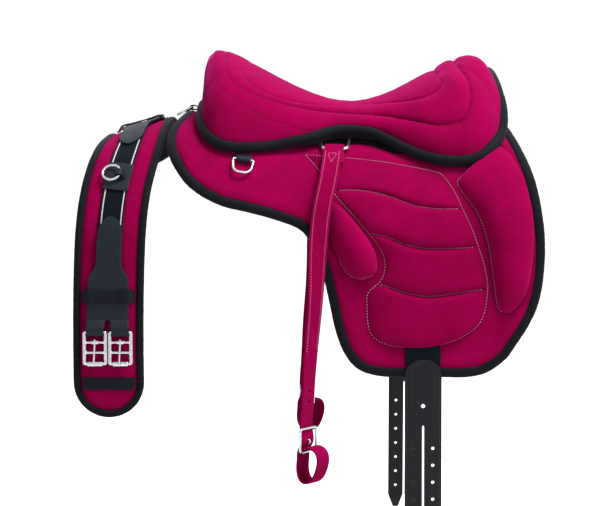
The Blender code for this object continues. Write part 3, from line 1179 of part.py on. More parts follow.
class Girth:
    """The girth over the back in front of the pad, its near end hanging down."""

    def __init__(self, shop):
        self.shop = shop
        self.read_x = curve_through(GIRTH_STATION_REACHES, GIRTH_STATIONS_X)
        self.origin = self.place(GIRTH_LENGTH / 2, 0, GIRTH_THICKNESS / 2)

    def place(self, t, c, n):
        """The point t along the girth from its near end, c across it and n above the back.

        It is straight across, with the slope of the back where it lies on it, and level
        where it hangs.
        """
        t, c, n = np.broadcast_arrays(np.asarray(t, float), np.asarray(c, float), np.asarray(n, float))
        s = GIRTH_NEAR_END - t
        middle = self.read_x(s)
        point = back_point(middle, s, n)
        edges = read_spine(middle + GIRTH_HALF_WIDTH) - read_spine(middle - GIRTH_HALF_WIDTH)
        start, end = GIRTH_LEVEL_REACHES
        level = np.clip((s - start) / (end - start), 0, 1)
        level = level ** 2 * (3 - 2 * level)
        point[..., 0] += c
        point[..., 2] += (1 - level) * c * edges / (2 * GIRTH_HALF_WIDTH)
        return point

    def axes(self, t, c):
        """Unit vectors along the girth, across it and outward, at a place on it."""
        along = self.place(t + MM, c, 0) - self.place(t - MM, c, 0)
        along /= np.linalg.norm(along)
        across = self.place(t, c + MM, 0) - self.place(t, c - MM, 0)
        across -= (across @ along) * along
        across /= np.linalg.norm(across)
        return along, across, np.cross(across, along)

    def strip(self, t, n, half_width):
        """A strip that follows the girth at the height n."""
        middle = self.place(t, 0, n)
        return strip_mesh(middle, 1.0, self.place(t, half_width, n) - middle)

    def add(self, name, maker, thickness, finish):
        """A piece of the girth of an even thickness."""
        piece = self.shop.add_mesh(name, maker, finish, self.origin)
        self.shop.solidify(piece, thickness)
        return piece

    def pad(self):
        """The padded strip with round ends."""
        reach = GIRTH_HALF_WIDTH - GIRTH_BINDING_RADIUS - ROUND_GAP
        turns = np.linspace(0, math.pi / 2, GIRTH_END_STEPS)
        near = GIRTH_HALF_WIDTH - reach * np.cos(turns)
        middle = np.linspace(GIRTH_HALF_WIDTH, GIRTH_LENGTH - GIRTH_HALF_WIDTH, GIRTH_ROWS)
        t = np.concatenate([near[:-1], middle, GIRTH_LENGTH - near[-2::-1]])
        width = reach * np.concatenate([np.sin(turns[:-1]), np.ones(GIRTH_ROWS), np.sin(turns[-2::-1])])
        last = len(t) - 1

        def shape(u, v):
            row = np.rint(v * last).astype(int)
            return self.place(t[row], (2 * u - 1) * width[row], GIRTH_THICKNESS / 2)

        maker = grid_mesh(GIRTH_COLUMNS, last, shape, weld=True)
        self.add("girth_pad", maker, GIRTH_THICKNESS, self.shop.suede)

    def binding(self):
        """The round binding along the pad's whole edge."""
        radius = GIRTH_HALF_WIDTH
        turns = np.linspace(0, math.pi, 2 * GIRTH_END_STEPS - 1)
        middle = np.linspace(radius, GIRTH_LENGTH - radius, GIRTH_ROWS)[1:-1]
        near = np.stack([radius - radius * np.sin(turns), radius * np.cos(turns)], axis=-1)
        far = np.stack([GIRTH_LENGTH - radius + radius * np.sin(turns), -radius * np.cos(turns)], axis=-1)
        left = np.stack([middle, np.full_like(middle, -radius)], axis=-1)
        right = np.stack([middle[::-1], np.full_like(middle, radius)], axis=-1)
        loop = np.concatenate([near, left, far, right])
        points = self.place(loop[:, 0], loop[:, 1], GIRTH_THICKNESS / 2)
        self.shop.tube(
            "girth_binding", points, GIRTH_BINDING_RADIUS, self.shop.binding, self.origin, closed=True)

    def web(self):
        """The web sewn along the middle of the pad."""
        height = GIRTH_THICKNESS + LAID_GAP + GIRTH_WEB_THICKNESS / 2
        t = np.linspace(GIRTH_WEB_END, GIRTH_LENGTH - GIRTH_WEB_END, GIRTH_WEB_STATIONS)
        maker = self.strip(t, height, GIRTH_WEB_WIDTH / 2)
        self.add("girth_web", maker, GIRTH_WEB_THICKNESS, self.shop.webbing)

    def run(self, end, t):
        """The place along the girth measured from either end."""
        return t if end > 0 else GIRTH_LENGTH - t

    def leather(self, name, end):
        """The leather at one end, with a tab folded round each buckle's top bar."""
        wrap = math.hypot(BUCKLE_BAR, BUCKLE_THICKNESS) / 2 + ROUND_GAP + GIRTH_LEATHER_THICKNESS / 2
        turns = np.radians(np.linspace(270, 90, 7))
        fold = wrap * np.stack([np.cos(turns), np.sin(turns)], axis=-1)
        start = np.array(GIRTH_TAB_RETURNS)[:, None] * (1, 0) - (0, wrap)
        tabs = np.concatenate([start, fold, np.array(GIRTH_TAB_ROWS) * MM])
        inner = (BUCKLE_SPREAD - GIRTH_TAB_WIDTH) / 2
        stations = np.array(GIRTH_LEATHER_STATIONS) * MM
        widths = np.array(GIRTH_LEATHER_HALF_WIDTHS) * MM
        body_height = GIRTH_THICKNESS + 2 * LAID_GAP + GIRTH_WEB_THICKNESS + GIRTH_LEATHER_THICKNESS / 2
        split = np.minimum(inner, widths / 3)
        frames = [self.buckle_axes(end, offset) for offset in (-BUCKLE_SPREAD / 2, BUCKLE_SPREAD / 2)]
        last = len(tabs) + len(stations) - 1

        def shape(u, v):
            places = []
            for column, row in zip(np.rint(u * 3).astype(int), np.rint(v * last).astype(int)):
                if row < len(tabs):
                    top, down, across, normal = frames[column // 2]
                    edge = (column % 2 - 0.5) * GIRTH_TAB_WIDTH
                    places.append(top - tabs[row, 0] * down + tabs[row, 1] * normal + edge * across)
                else:
                    k = row - len(tabs)
                    c = (-widths[k], -split[k], split[k], widths[k])[column]
                    places.append(self.place(self.run(end, stations[k]), c, body_height))
            return places

        maker = grid_mesh(3, last, shape, gap=(1 / 3, 2 / 3, (len(tabs) + 0.1) / last))
        self.add(name, maker, GIRTH_LEATHER_THICKNESS, self.shop.leather)

    def keepers(self, name, end):
        """The two bands across the pad at one end."""
        tables = (GIRTH_PLAIN_KEEPER_ROWS, GIRTH_KEEPER_ROWS)
        for k, (centre, length, rows) in enumerate(zip(GIRTH_KEEPER_PLACES, GIRTH_KEEPER_LENGTHS, tables)):
            half = np.array(rows) * MM
            whole = np.concatenate([half * (-1, 1), half[-2::-1]])
            t = self.run(end, centre)
            points = self.place(t, whole[:, 0], GIRTH_THICKNESS + whole[:, 1])
            maker = strip_mesh(points, length / 2, self.axes(t, 0)[0])
            self.add(f"{name}_keeper_{k + 1}", maker, KEEPER_THICKNESS, self.shop.binding)

    def buckle_axes(self, end, offset):
        """The middle of a buckle's top bar, and the buckle's downward, cross and outward axes."""
        length = BUCKLE_LENGTH - BUCKLE_BAR
        top = self.place(self.run(end, BUCKLE_TOP), offset, GIRTH_THICKNESS + GIRTH_BAR_LIFT)
        foot = self.place(
            self.run(end, BUCKLE_TOP - length), offset, GIRTH_THICKNESS + GIRTH_BAR_LIFT)
        outward, across = self.axes(self.run(end, BUCKLE_TOP - length / 2), offset)[:0:-1]
        down = (foot - top) / np.linalg.norm(foot - top)
        across = across - (across @ down) * down
        across /= np.linalg.norm(across)
        normal = np.cross(across, down)
        if normal @ outward < 0:
            normal = -normal
        return top, down, across, normal

    def buckle(self, name, end, offset):
        """A buckle frame with its roller and prong."""
        length = BUCKLE_LENGTH - BUCKLE_BAR
        top, down, across, normal = self.buckle_axes(end, offset)
        half_width = BUCKLE_WIDTH / 2
        half_bar = BUCKLE_BAR / 2
        outline = rounded_outline(
            ((-half_width, -half_bar), (half_width, -half_bar),
             (half_width, length + half_bar), (-half_width, length + half_bar)), (BUCKLE_CORNER,) * 4)
        inner = half_width - BUCKLE_SIDE
        bars = np.array([0, BUCKLE_HUB_SHARE, BUCKLE_MIDDLE_SHARE, 1]) * length
        windows = [
            rounded_outline(
                ((-inner, low + half_bar), (inner, low + half_bar), (inner, high - half_bar),
                 (-inner, high - half_bar)), (BUCKLE_WINDOW_CORNER,) * 4, 2)
            for low, high in zip(bars[:-1], bars[1:])]
        self.shop.plate(
            f"{name}_frame", [outline] + windows, BUCKLE_THICKNESS, self.shop.steel, (across, down),
            top, self.origin)
        roller_reach = inner - BUCKLE_WINDOW_CORNER - TOUCH_GAP
        outside, inside = ROLLER_RADIUS, ROLLER_BORE
        ring = ((outside, -1), (outside, 1), (inside, 1), (inside, -1), (outside, -1))

        def shape(u, v):
            corner = np.array(ring)[np.rint(v * (len(ring) - 1)).astype(int)]
            turn = 2 * math.pi * np.rint(u * ROLLER_SIDES) / ROLLER_SIDES
            radial = np.cos(turn)[:, None] * down + np.sin(turn)[:, None] * normal
            return top + length * down + corner[:, 0:1] * radial + roller_reach * corner[:, 1:2] * across

        maker = grid_mesh(ROLLER_SIDES, len(ring) - 1, shape, weld=True)
        face_outward(maker)
        self.shop.add_mesh(f"{name}_roller", maker, self.shop.steel, top + length * down)
        hub = top + bars[1] * down
        lift = PRONG_LIFT * normal
        prong = np.array([
            hub + lift - BUCKLE_BAR * down, hub + lift, top + bars[2] * down + lift,
            top + length * down + PRONG_TIP_LIFT * normal,
            top + (length + PRONG_OVERRUN) * down + PRONG_TIP_LIFT * normal])
        self.shop.tube(f"{name}_prong", prong, PRONG_RADIUS, self.shop.steel, hub)

    def dee(self):
        """The patch with a ring on it, held by a short keeper."""
        t = PATCH_PLACE
        height = GIRTH_THICKNESS + 2 * LAID_GAP + GIRTH_WEB_THICKNESS + PATCH_THICKNESS / 2
        along = np.linspace(-PATCH_LENGTH / 2, PATCH_LENGTH / 2, 4)
        maker = self.strip(t + along, height, PATCH_WIDTH / 2)
        self.add("girth_dee_patch", maker, PATCH_THICKNESS, self.shop.leather)
        heading, across, outward = self.axes(t, GIRTH_RING_BAR)
        bar = self.place(t, GIRTH_RING_BAR, height + PATCH_THICKNESS / 2 + GIRTH_RING_LIFT)
        turns = np.linspace(0, 2 * math.pi, GIRTH_RING_STEPS + 1)[:-1]
        lean = math.cos(GIRTH_RING_TILT) * across + math.sin(GIRTH_RING_TILT) * outward
        points = bar + GIRTH_RING_RADIUS * (
            (np.cos(turns)[:, None] - 1) * lean + np.sin(turns)[:, None] * heading)
        self.shop.tube("girth_dee_ring", points, GIRTH_RING_WIRE, self.shop.steel, bar, closed=True)
        path = keeper_path(
            bar, across, outward, RING_KEEPER_REACH, RING_KEEPER_REACH - KEEPER_THICKNESS, GIRTH_RING_SLACK)
        maker = strip_mesh(path, RING_KEEPER_WIDTH / 2, heading)
        self.add("girth_dee_keeper", maker, KEEPER_THICKNESS, self.shop.leather)

    def build(self):
        """The pad, its binding and web, and what is sewn on at both ends."""
        self.pad()
        self.binding()
        self.web()
        for name, end in (("girth_near", 1), ("girth_far", -1)):
            self.leather(f"{name}_leather", end)
            self.keepers(name, end)
            for mark, offset in (("front", -BUCKLE_SPREAD / 2), ("rear", BUCKLE_SPREAD / 2)):
                self.buckle(f"{name}_{mark}_buckle", end, offset)
        self.dee()


def main():
    """Build every piece."""
    clear_scene()
    shop = Workshop()
    Pad(shop).build()
    Seat(shop).build()
    build_carrier(shop)
    build_pommel_dee(shop)
    for name, side in (("near", 1), ("off", -1)):
        Stirrup(shop, name, side).build()
        build_front_dee(shop, name, side)
        build_billet(shop, name, side)
    Girth(shop).build()


main()
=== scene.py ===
"""Looks of a treeless saddle with its girth laid over the same rest in front of it.

Metres, +Z up. The near side is at -Y, the pommel at -X and the cantle at +X. Places on
the rounded back that the saddle lies on are given as x, s and h: s is the distance along
the cross section from the spine, positive on the near side, and h is the height above it.
"""

import logging
import math
from collections.abc import Callable, Sequence
from dataclasses import dataclass, field
from enum import Enum

import bmesh
import bpy
import numpy as np
from mathutils import Matrix, Vector


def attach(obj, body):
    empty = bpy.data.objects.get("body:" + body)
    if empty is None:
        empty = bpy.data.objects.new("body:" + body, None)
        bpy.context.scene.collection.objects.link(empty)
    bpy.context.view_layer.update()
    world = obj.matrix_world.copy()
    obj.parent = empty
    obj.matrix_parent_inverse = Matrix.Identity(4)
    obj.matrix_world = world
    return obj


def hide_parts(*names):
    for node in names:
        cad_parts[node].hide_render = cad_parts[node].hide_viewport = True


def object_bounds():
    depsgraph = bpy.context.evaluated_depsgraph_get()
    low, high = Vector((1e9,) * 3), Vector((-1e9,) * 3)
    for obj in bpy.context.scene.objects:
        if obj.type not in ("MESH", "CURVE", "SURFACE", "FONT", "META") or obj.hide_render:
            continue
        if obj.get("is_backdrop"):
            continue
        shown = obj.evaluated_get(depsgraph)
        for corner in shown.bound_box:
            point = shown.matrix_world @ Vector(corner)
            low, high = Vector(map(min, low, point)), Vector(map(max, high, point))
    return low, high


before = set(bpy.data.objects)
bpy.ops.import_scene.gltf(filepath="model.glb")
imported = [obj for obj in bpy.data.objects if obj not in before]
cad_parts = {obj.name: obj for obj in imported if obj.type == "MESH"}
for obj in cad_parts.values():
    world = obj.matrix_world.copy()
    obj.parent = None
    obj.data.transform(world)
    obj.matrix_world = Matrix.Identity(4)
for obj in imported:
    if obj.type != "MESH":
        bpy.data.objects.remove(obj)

LOG = logging.getLogger("saddle")
MM = 0.001
WELD = 0.01 * MM  # places nearer than this are one
LINED = 9 * MM  # the mark of a place that wears the lining
LINING_AND_SHADE_START, LINING_AND_SHADE_FULL = 0.2 * MM, 1.2 * MM  # marks between which the black lining takes over; on the pad beside the seat's arch that black is painted shade
SLACK = 0.3 * MM  # room between a wire and the strap folded round it
PAD_THICKNESS = 9 * MM
DEE_X, DEE_REACH = -47 * MM, 100 * MM  # where the bar of a stirrup dee lies
DEE_WIRE, DEE_RISE = 2.5 * MM, 5.9 * MM  # radius of its wire, and its bar's height over the pad
EDGE_ANGLE = math.radians(50)  # sharper edges of a thickened sheet are rounded
BLOCK = 4000  # points measured at once
X_AXIS, Y_AXIS, Z_AXIS = np.eye(3)
MIRROR = (1, -1, 1)  # turns a near point into an off one
WHITE = (1.0, 1.0, 1.0)
STITCH_SIDES = 6
STITCH_REACH = 0.17  # half a stitch's length as a share of the pitch
STITCH_RINGS = np.array([  # share along, size and lift of each ring of a stitch
    (-1.0, 0.35, -1.0), (-0.8, 0.85, -0.35), (0.0, 1.0, 0.25), (0.8, 0.85, -0.35), (1.0, 0.35, -1.0)])

Array, Mesh, Piece = np.ndarray, bpy.types.Mesh, bpy.types.Object
Material, Socket = bpy.types.Material, bpy.types.NodeSocket
Triple = tuple[float, float, float]
Row, Rows = tuple[float, ...], tuple[tuple[float, ...], ...]
Curve = Callable[[Array], Array]


# Lines and curves


def unit(vectors: Array) -> Array:
    """Vectors at length one; a vector of no length stays as it is."""
    size = np.linalg.norm(vectors, axis=-1, keepdims=True)
    return vectors / np.where(size < 1e-12, 1.0, size)


def ease(share: Array) -> Array:
    """A smooth step from 0 to 1: 3 t squared less 2 t cubed."""
    share = np.clip(share, 0, 1)
    return share * share * (3 - 2 * share)


def curve_through(stations: Sequence[float], values: Sequence) -> Curve:
    """The natural cubic spline through values at stations.

    Args:
        stations: rising places.
        values: numbers or points, one for each place.

    Returns:
        A function that reads the spline at any places, held level beyond its ends.
    """
    knots = np.asarray(stations, float)
    heights = np.asarray(values, float)
    steps = np.diff(knots)
    last = len(knots) - 1
    system = np.eye(last + 1)
    loads = np.zeros(heights.shape)
    for i in range(1, last):
        system[i, i - 1:i + 2] = steps[i - 1], 2 * (steps[i - 1] + steps[i]), steps[i]
        after = (heights[i + 1] - heights[i]) / steps[i]
        before = (heights[i] - heights[i - 1]) / steps[i - 1]
        loads[i] = 6 * (after - before)
    bends = np.linalg.solve(system, loads)

    def read(place: Array) -> Array:
        """Read the spline at the places.

        Args:
            place: places to read.

        Returns:
            The spline's values there.
        """
        place = np.clip(np.asarray(place, float), knots[0], knots[last])
        k = np.clip(np.searchsorted(knots, place) - 1, 0, last - 1)
        width, after, before = steps[k], knots[k + 1] - place, place - knots[k]
        if heights.ndim > 1:
            width, after, before = width[..., None], after[..., None], before[..., None]
        cubic = (bends[k] * after ** 3 + bends[k + 1] * before ** 3) / (6 * width)
        line = (heights[k] / width - bends[k] * width / 6) * after
        return cubic + line + (heights[k + 1] / width - bends[k + 1] * width / 6) * before

    return read


def soft_table(stations: Sequence[float], values: Sequence[float], window: float) -> Curve:
    """Straight lines between values, averaged over a sliding window so that corners round off.

    Args:
        stations: rising places.
        values: a number for each.
        window: width of the average.

    Returns:
        A function that reads the smoothed table.
    """
    fine = np.linspace(stations[0] - window, stations[-1] + window, 4000)
    heights = np.interp(fine, stations, values)
    count = max(3, int(window / (fine[1] - fine[0])) | 1)
    kernel = np.hanning(count + 2)[1:-1]
    kernel /= kernel.sum()
    padded = np.pad(heights, count // 2, mode="edge")
    smooth = np.convolve(padded, kernel, "valid")
    return lambda place: np.interp(place, fine, smooth)


def run_lengths(points: Array) -> Array:
    """Distance along a polyline at each of its points."""
    return np.concatenate([[0.0], np.cumsum(np.linalg.norm(np.diff(points, axis=0), axis=1))])


def read_table(places: Array, knots: Array, table: Array) -> Array:
    """Each column of a table read at places between its knots."""
    return np.stack([np.interp(places, knots, column) for column in table.T], axis=-1)


def read_line(points: Array, places: Array) -> Array:
    """Points at distances along a polyline."""
    return read_table(places, run_lengths(points), points)


def even_points(points: Array, count: int) -> Array:
    """The polyline read again at evenly spaced places."""
    return read_line(points, np.linspace(0, run_lengths(points)[-1], count))


def even_loop(loop: Array, count: int) -> Array:
    """A closed line read again at evenly spaced places."""
    return even_points(np.concatenate([loop, loop[:1]]), count + 1)[:-1]


def line_through(points: Sequence, count: int) -> Array:
    """Points evenly spaced along the smooth curve through the given points.

    Args:
        points: places that the curve passes.
        count: number of points.

    Returns:
        The evenly spaced points.
    """
    points = np.asarray(points, float)
    knots = run_lengths(points)
    return even_points(curve_through(knots, points)(np.linspace(0, knots[-1], 20 * count)), count)


def headings(path: Array, closed: bool = False) -> Array:
    """Unit vectors along a path, from each point's neighbours.

    Args:
        path: points of the path.
        closed: whether it joins its own start.

    Returns:
        A unit vector for each point.
    """
    if closed:
        return unit(np.roll(path, -1, axis=0) - np.roll(path, 1, axis=0))
    return unit(np.gradient(path, axis=0))


def ripple(place: Array, pitch: float, seed: float = 0.0) -> Array:
    """An uneven wave between about -1 and 1: three sines whose pitches share no common measure.

    Args:
        place: distance along.
        pitch: length of the longest wave.
        seed: shift of the waves.

    Returns:
        The wave's height at each place.
    """
    turn = 2 * math.pi * place / pitch
    waves = 0.5 * np.sin(turn + seed) + 0.3 * np.sin(1.73 * turn + 2.1 * seed)
    return waves + 0.2 * np.sin(2.91 * turn + 4.7 * seed)


def nearest(points: Array, line: Array) -> Array:
    """Distance from each point to the nearest point of a line, in blocks to spare memory.

    Args:
        points: places to measure from.
        line: points of the line.

    Returns:
        A distance for each point.
    """
    flat = points.reshape(-1, points.shape[-1])
    out = np.empty(len(flat))
    for start in range(0, len(flat), BLOCK):
        block = flat[start:start + BLOCK]
        out[start:start + BLOCK] = np.sqrt(((block[:, None] - line[None]) ** 2).sum(-1).min(1))
    return out.reshape(points.shape[:-1])


def rounded_outline(corners: Sequence, radii: Sequence[float], steps: int = 8) -> Array:
    """A closed outline through the corners, each rounded by its radius with an arc.

    Args:
        corners: places of the corners.
        radii: a radius for each.
        steps: steps of each arc.

    Returns:
        The outline's points.
    """
    corners = [np.asarray(corner, float) for corner in corners]
    outline = []
    for i, corner in enumerate(corners):
        before, after = unit(corners[i - 1] - corner), unit(corners[(i + 1) % len(corners)] - corner)
        half = math.acos(np.clip(before @ after, -1, 1)) / 2
        centre = corner + unit(before + after) * radii[i] / math.sin(half)
        start = corner + before * radii[i] / math.tan(half) - centre
        end = corner + after * radii[i] / math.tan(half) - centre
        shares = np.linspace(0, 1, steps + 1)[:, None]
        outline.append(centre + radii[i] * unit(start * (1 - shares) + end * shares))
    return np.concatenate(outline)


def rounded_box(half_width: float, low: float, high: float, radius: float, steps: int = 8) -> Array:
    """A rectangle from low to high whose four corners are rounded by one radius."""
    corners = [(-half_width, low), (half_width, low), (half_width, high), (-half_width, high)]
    return rounded_outline(corners, (radius,) * 4, steps)


def dee_outline(width: float, foot: float, length: float, corner: float, foot_corner: float) -> Array:
    """A dee: a straight bar at the top, narrowing to a rounded foot."""
    corners = [(-width / 2, 0), (width / 2, 0), (foot / 2, length), (-foot / 2, length)]
    return rounded_outline(corners, (corner, corner, foot_corner, foot_corner))


def lay_outline(outline: Array, centre: Array, x_axis: Array, y_axis: Array) -> Array:
    """Lift a flat outline into the plane of two unit vectors at a centre."""
    return centre + outline[:, 0:1] * np.asarray(x_axis) + outline[:, 1:2] * np.asarray(y_axis)


# Meshes


@dataclass
class Sheet:
    """Points on a grid, how the grid closes on itself and the column after which it is slit."""

    points: Array
    closed_rows: bool = False
    closed_columns: bool = False
    values: dict[str, Array] = field(default_factory=dict)
    slit: int = -1

    def faces(self) -> tuple[Array, Array]:
        """The quads as vertex numbers, and their corners as row and column, which run on past a seam.

        Returns:
            Vertex numbers and corner places, four for each quad.
        """
        rows, columns = self.points.shape[:2]
        i, j = np.meshgrid(
            np.arange(rows - (not self.closed_rows)), np.arange(columns - (not self.closed_columns)),
            indexing="ij")
        i, j = i[j != self.slit], j[j != self.slit]
        corners = ((i, j), (i, j + 1), (i + 1, j + 1), (i + 1, j))
        places = np.stack([np.stack(corner, -1) for corner in corners], axis=1)
        return (places[..., 0] % rows) * columns + places[..., 1] % columns, places

    def measures(self) -> Array:
        """Metres along and across the sheet at each grid place, with one more row and column for a seam.

        Returns:
            A grid of two measures.
        """
        rows, columns = self.points.shape[:2]
        row = np.concatenate([self.points[:, columns // 2], self.points[:1, columns // 2]])
        middle = self.points[rows // 2]
        column = np.concatenate([middle, middle[:1]])
        along, across = run_lengths(row), run_lengths(column)
        return np.stack(np.meshgrid(along, across, indexing="ij"), axis=-1)


def signed_volume(points: Array, quads: Array) -> float:
    """Six times the volume inside closed quads; below nothing if they face inwards."""
    a, b, c, d = (points[quads[:, k]] for k in range(4))
    return float((np.cross(a, b) * c).sum() + (np.cross(a, c) * d).sum())


def fill_mesh(name: str, points: Array, polygons: Sequence[Array]) -> Mesh:
    """A mesh from points and arrays of polygons, each array with its own number of corners.

    Args:
        name: name of the mesh.
        points: its points.
        polygons: arrays of vertex numbers.

    Returns:
        The mesh, shaded smooth.
    """
    mesh = bpy.data.meshes.new(name)
    mesh.vertices.add(len(points))
    mesh.vertices.foreach_set("co", np.asarray(points, np.float32).ravel())
    corners = np.concatenate([polygon.ravel() for polygon in polygons]).astype(np.int32)
    sizes = np.concatenate([np.full(len(polygon), polygon.shape[1]) for polygon in polygons])
    mesh.loops.add(len(corners))
    mesh.loops.foreach_set("vertex_index", corners)
    mesh.polygons.add(len(sizes))
    mesh.polygons.foreach_set("loop_start", np.concatenate([[0], np.cumsum(sizes)[:-1]]).astype(np.int32))
    mesh.update(calc_edges=True)
    mesh.shade_smooth()
    return mesh


def add_values(mesh: Mesh, name: str, values: Array) -> None:
    """Keep one number for each vertex as a named attribute."""
    attribute = mesh.attributes.new(name, "FLOAT", "POINT")
    attribute.data.foreach_set("value", np.asarray(values, np.float32).ravel())


def add_measures(mesh: Mesh, corners: Array) -> None:
    """Keep two measures for each face corner as the UV map that the weaves are drawn on."""
    layer = mesh.uv_layers.new(name="measures")
    layer.data.foreach_set("uv", corners.astype(np.float32).ravel())


def line_and_shade_faces(mesh: Mesh, material: Material) -> None:
    """Give a second material to the faces whose every corner is marked black: lining, and on the pad beside
    the seat's arch painted shade.

    Args:
        mesh: the mesh.
        material: the lining's material.
    """
    marks, corners = np.zeros(len(mesh.vertices)), np.zeros(len(mesh.loops), np.int32)
    starts = np.zeros(len(mesh.polygons), np.int32)
    mesh.attributes["lined"].data.foreach_get("value", marks)
    mesh.loops.foreach_get("vertex_index", corners)
    mesh.polygons.foreach_get("loop_start", starts)
    mesh.materials.append(material)
    inside = np.minimum.reduceat(marks[corners], starts) > LINING_AND_SHADE_FULL
    mesh.polygons.foreach_set("material_index", inside.astype(np.int32))


def tidy_mesh(mesh: Mesh, outward: bool) -> None:
    """Merge the vertices that share a place, and turn a closed body's faces outward.

    Args:
        mesh: the mesh.
        outward: whether the mesh is a closed body.
    """
    maker = bmesh.new()
    maker.from_mesh(mesh)
    bmesh.ops.remove_doubles(maker, verts=maker.verts, dist=WELD)
    bmesh.ops.dissolve_degenerate(maker, dist=WELD, edges=maker.edges)
    if outward:
        bmesh.ops.recalc_face_normals(maker, faces=maker.faces)
        if maker.calc_volume(signed=True) < 0:
            bmesh.ops.reverse_faces(maker, faces=maker.faces)
    maker.to_mesh(mesh)
    maker.free()
    mesh.shade_smooth()


def make_object(mesh: Mesh, material: Material) -> Piece:
    """An object in the scene, named as its mesh is, that wears one material.

    Args:
        mesh: the mesh.
        material: the material.

    Returns:
        The object.
    """
    piece = bpy.data.objects.new(mesh.name, mesh)
    mesh.materials.clear()
    mesh.materials.append(material)
    bpy.context.scene.collection.objects.link(piece)
    return piece


def sheet_mesh(name: str, sheet: Sheet, outward: bool = True) -> Mesh:
    """The mesh of a sheet, with its measures as a UV map and its values as attributes.

    Args:
        name: name of the mesh.
        sheet: the sheet.
        outward: whether it is a closed body.

    Returns:
        The mesh.
    """
    numbers, places = sheet.faces()
    mesh = fill_mesh(name, sheet.points.reshape(-1, 3), [numbers])
    add_measures(mesh, sheet.measures()[places[..., 0], places[..., 1]])
    for key, values in sheet.values.items():
        add_values(mesh, key, values)
    tidy_mesh(mesh, outward)
    return mesh


def closed_shell(name: str, outer: Array, inner: Array, **values: Array) -> Mesh:
    """A closed body from two grids of one size: an outer face, an inner face and the wall between them.

    The rows of the inner grid follow the outer ones in reverse, so that the two make one
    grid whose columns close on themselves and whose first and last rows are sewn shut.

    Args:
        name: name of the mesh.
        outer: grid of the outer face.
        inner: grid of the inner face.
        values: a number for each place of the outer face, by name.

    Returns:
        The closed mesh.
    """
    ring = np.concatenate([outer, inner[:, ::-1]], axis=1)
    first, last = ring[:1].copy(), ring[-1:].copy()
    half = outer.shape[1]
    for end in (first, last):
        middle = (end[:, :half] + end[:, :half - 1:-1]) / 2
        end[:, :half] = middle
        end[:, half:] = middle[:, ::-1]
    ring = np.concatenate([first, ring, last], axis=0)
    values = {"lined": np.zeros(outer.shape[:2])} | values
    for key, face in values.items():
        back = np.full_like(face, LINED) if key == "lined" else face[:, ::-1]
        both = np.concatenate([face, back], axis=1)
        values[key] = np.concatenate([both[:1], both, both[-1:]], axis=0)
    return sheet_mesh(name, Sheet(ring, closed_columns=True, values=values))


def sweep(path: Array, outward: Array, profile: Array, closed: bool = False) -> Array:
    """Carry a profile along a path: its first number goes across, its second along outward.

    Args:
        path: points of the path.
        outward: the direction of the profile's second axis at each point.
        profile: points of the profile, one set or one for each point of the path.
        closed: whether the path joins its own start.

    Returns:
        A grid with a row for each point of the path.
    """
    along = headings(path, closed)
    outward = np.broadcast_to(outward, path.shape)
    normal = unit(outward - (outward * along).sum(-1, keepdims=True) * along)
    side = np.cross(along, normal)
    profile = np.broadcast_to(profile, (len(path),) + profile.shape[-2:])
    return path[:, None] + profile[..., 0:1] * side[:, None] + profile[..., 1:2] * normal[:, None]


def ring_profile(width: float, height: float, count: int = 20, squareness: float = 2.0) -> Array:
    """A closed superellipse: cosine and sine, each raised to two over the squareness.

    Args:
        width: full width.
        height: full height.
        count: number of points.
        squareness: 2 for an ellipse, more for a box.

    Returns:
        The section's points.
    """
    turn = np.linspace(0, 2 * math.pi, count, endpoint=False)
    power = 2 / squareness
    x = np.sign(np.cos(turn)) * np.abs(np.cos(turn)) ** power
    y = np.sign(np.sin(turn)) * np.abs(np.sin(turn)) ** power
    return np.stack([x * width / 2, y * height / 2], axis=-1)


def capped(grid: Array, roundness: float) -> Array:
    """Close both ends of a swept grid with rows that shrink to the end's middle, bulging by the roundness.

    Args:
        grid: the swept grid.
        roundness: how far the ends bulge.

    Returns:
        The grid with its end rows.
    """
    middle = grid.mean(axis=1, keepdims=True)
    turns = np.linspace(0, math.pi / 2, 5)[1:]
    caps = []
    for end, inner in ((0, 1), (-1, -2)):
        rim, away = grid[end] - middle[end], unit(middle[end] - middle[inner]) * roundness
        caps.append([(middle[end] + rim * math.cos(a) + away * math.sin(a))[None] for a in turns])
    return np.concatenate(caps[0][::-1] + [grid] + caps[1], axis=0)


def tube_mesh(
        name: str, path: Array, outward: Array, profile: Array, closed: bool = False,
        roundness: float = 0.0) -> Mesh:
    """A closed tube of any profile along a path, joined to itself or with rounded ends.

    Args:
        name: name of the mesh.
        path: points of the path.
        outward: direction away from the back.
        profile: points of the section.
        closed: whether it joins its own start.
        roundness: how far the ends bulge.

    Returns:
        The closed mesh.
    """
    grid = sweep(path, outward, profile, closed)
    if not closed:
        grid = capped(grid, roundness)
    return sheet_mesh(name, Sheet(grid, closed_rows=closed, closed_columns=True))


def wire_mesh(name: str, path: Array, radius: float, outward: Sequence[float], closed: bool) -> Mesh:
    """A round wire along a path, with rounded ends if it is open."""
    profile = ring_profile(2 * radius, 2 * radius, 16)
    return tube_mesh(name, path, np.asarray(outward, float), profile, closed, radius)


def strap_mesh(name: str, path: Array, across: Array, width: float, thickness: float) -> Mesh:
    """A flat strap with softly rounded edges along a path; across is the direction of its width.

    Args:
        name: name of the mesh.
        path: points of the path.
        across: direction of its width.
        width: full width.
        thickness: full thickness.

    Returns:
        The closed mesh.
    """
    along = headings(path)
    outward = np.cross(np.broadcast_to(across, path.shape), along)
    return tube_mesh(name, path, outward, ring_profile(width, thickness, 36, 7.0), roundness=thickness / 4)


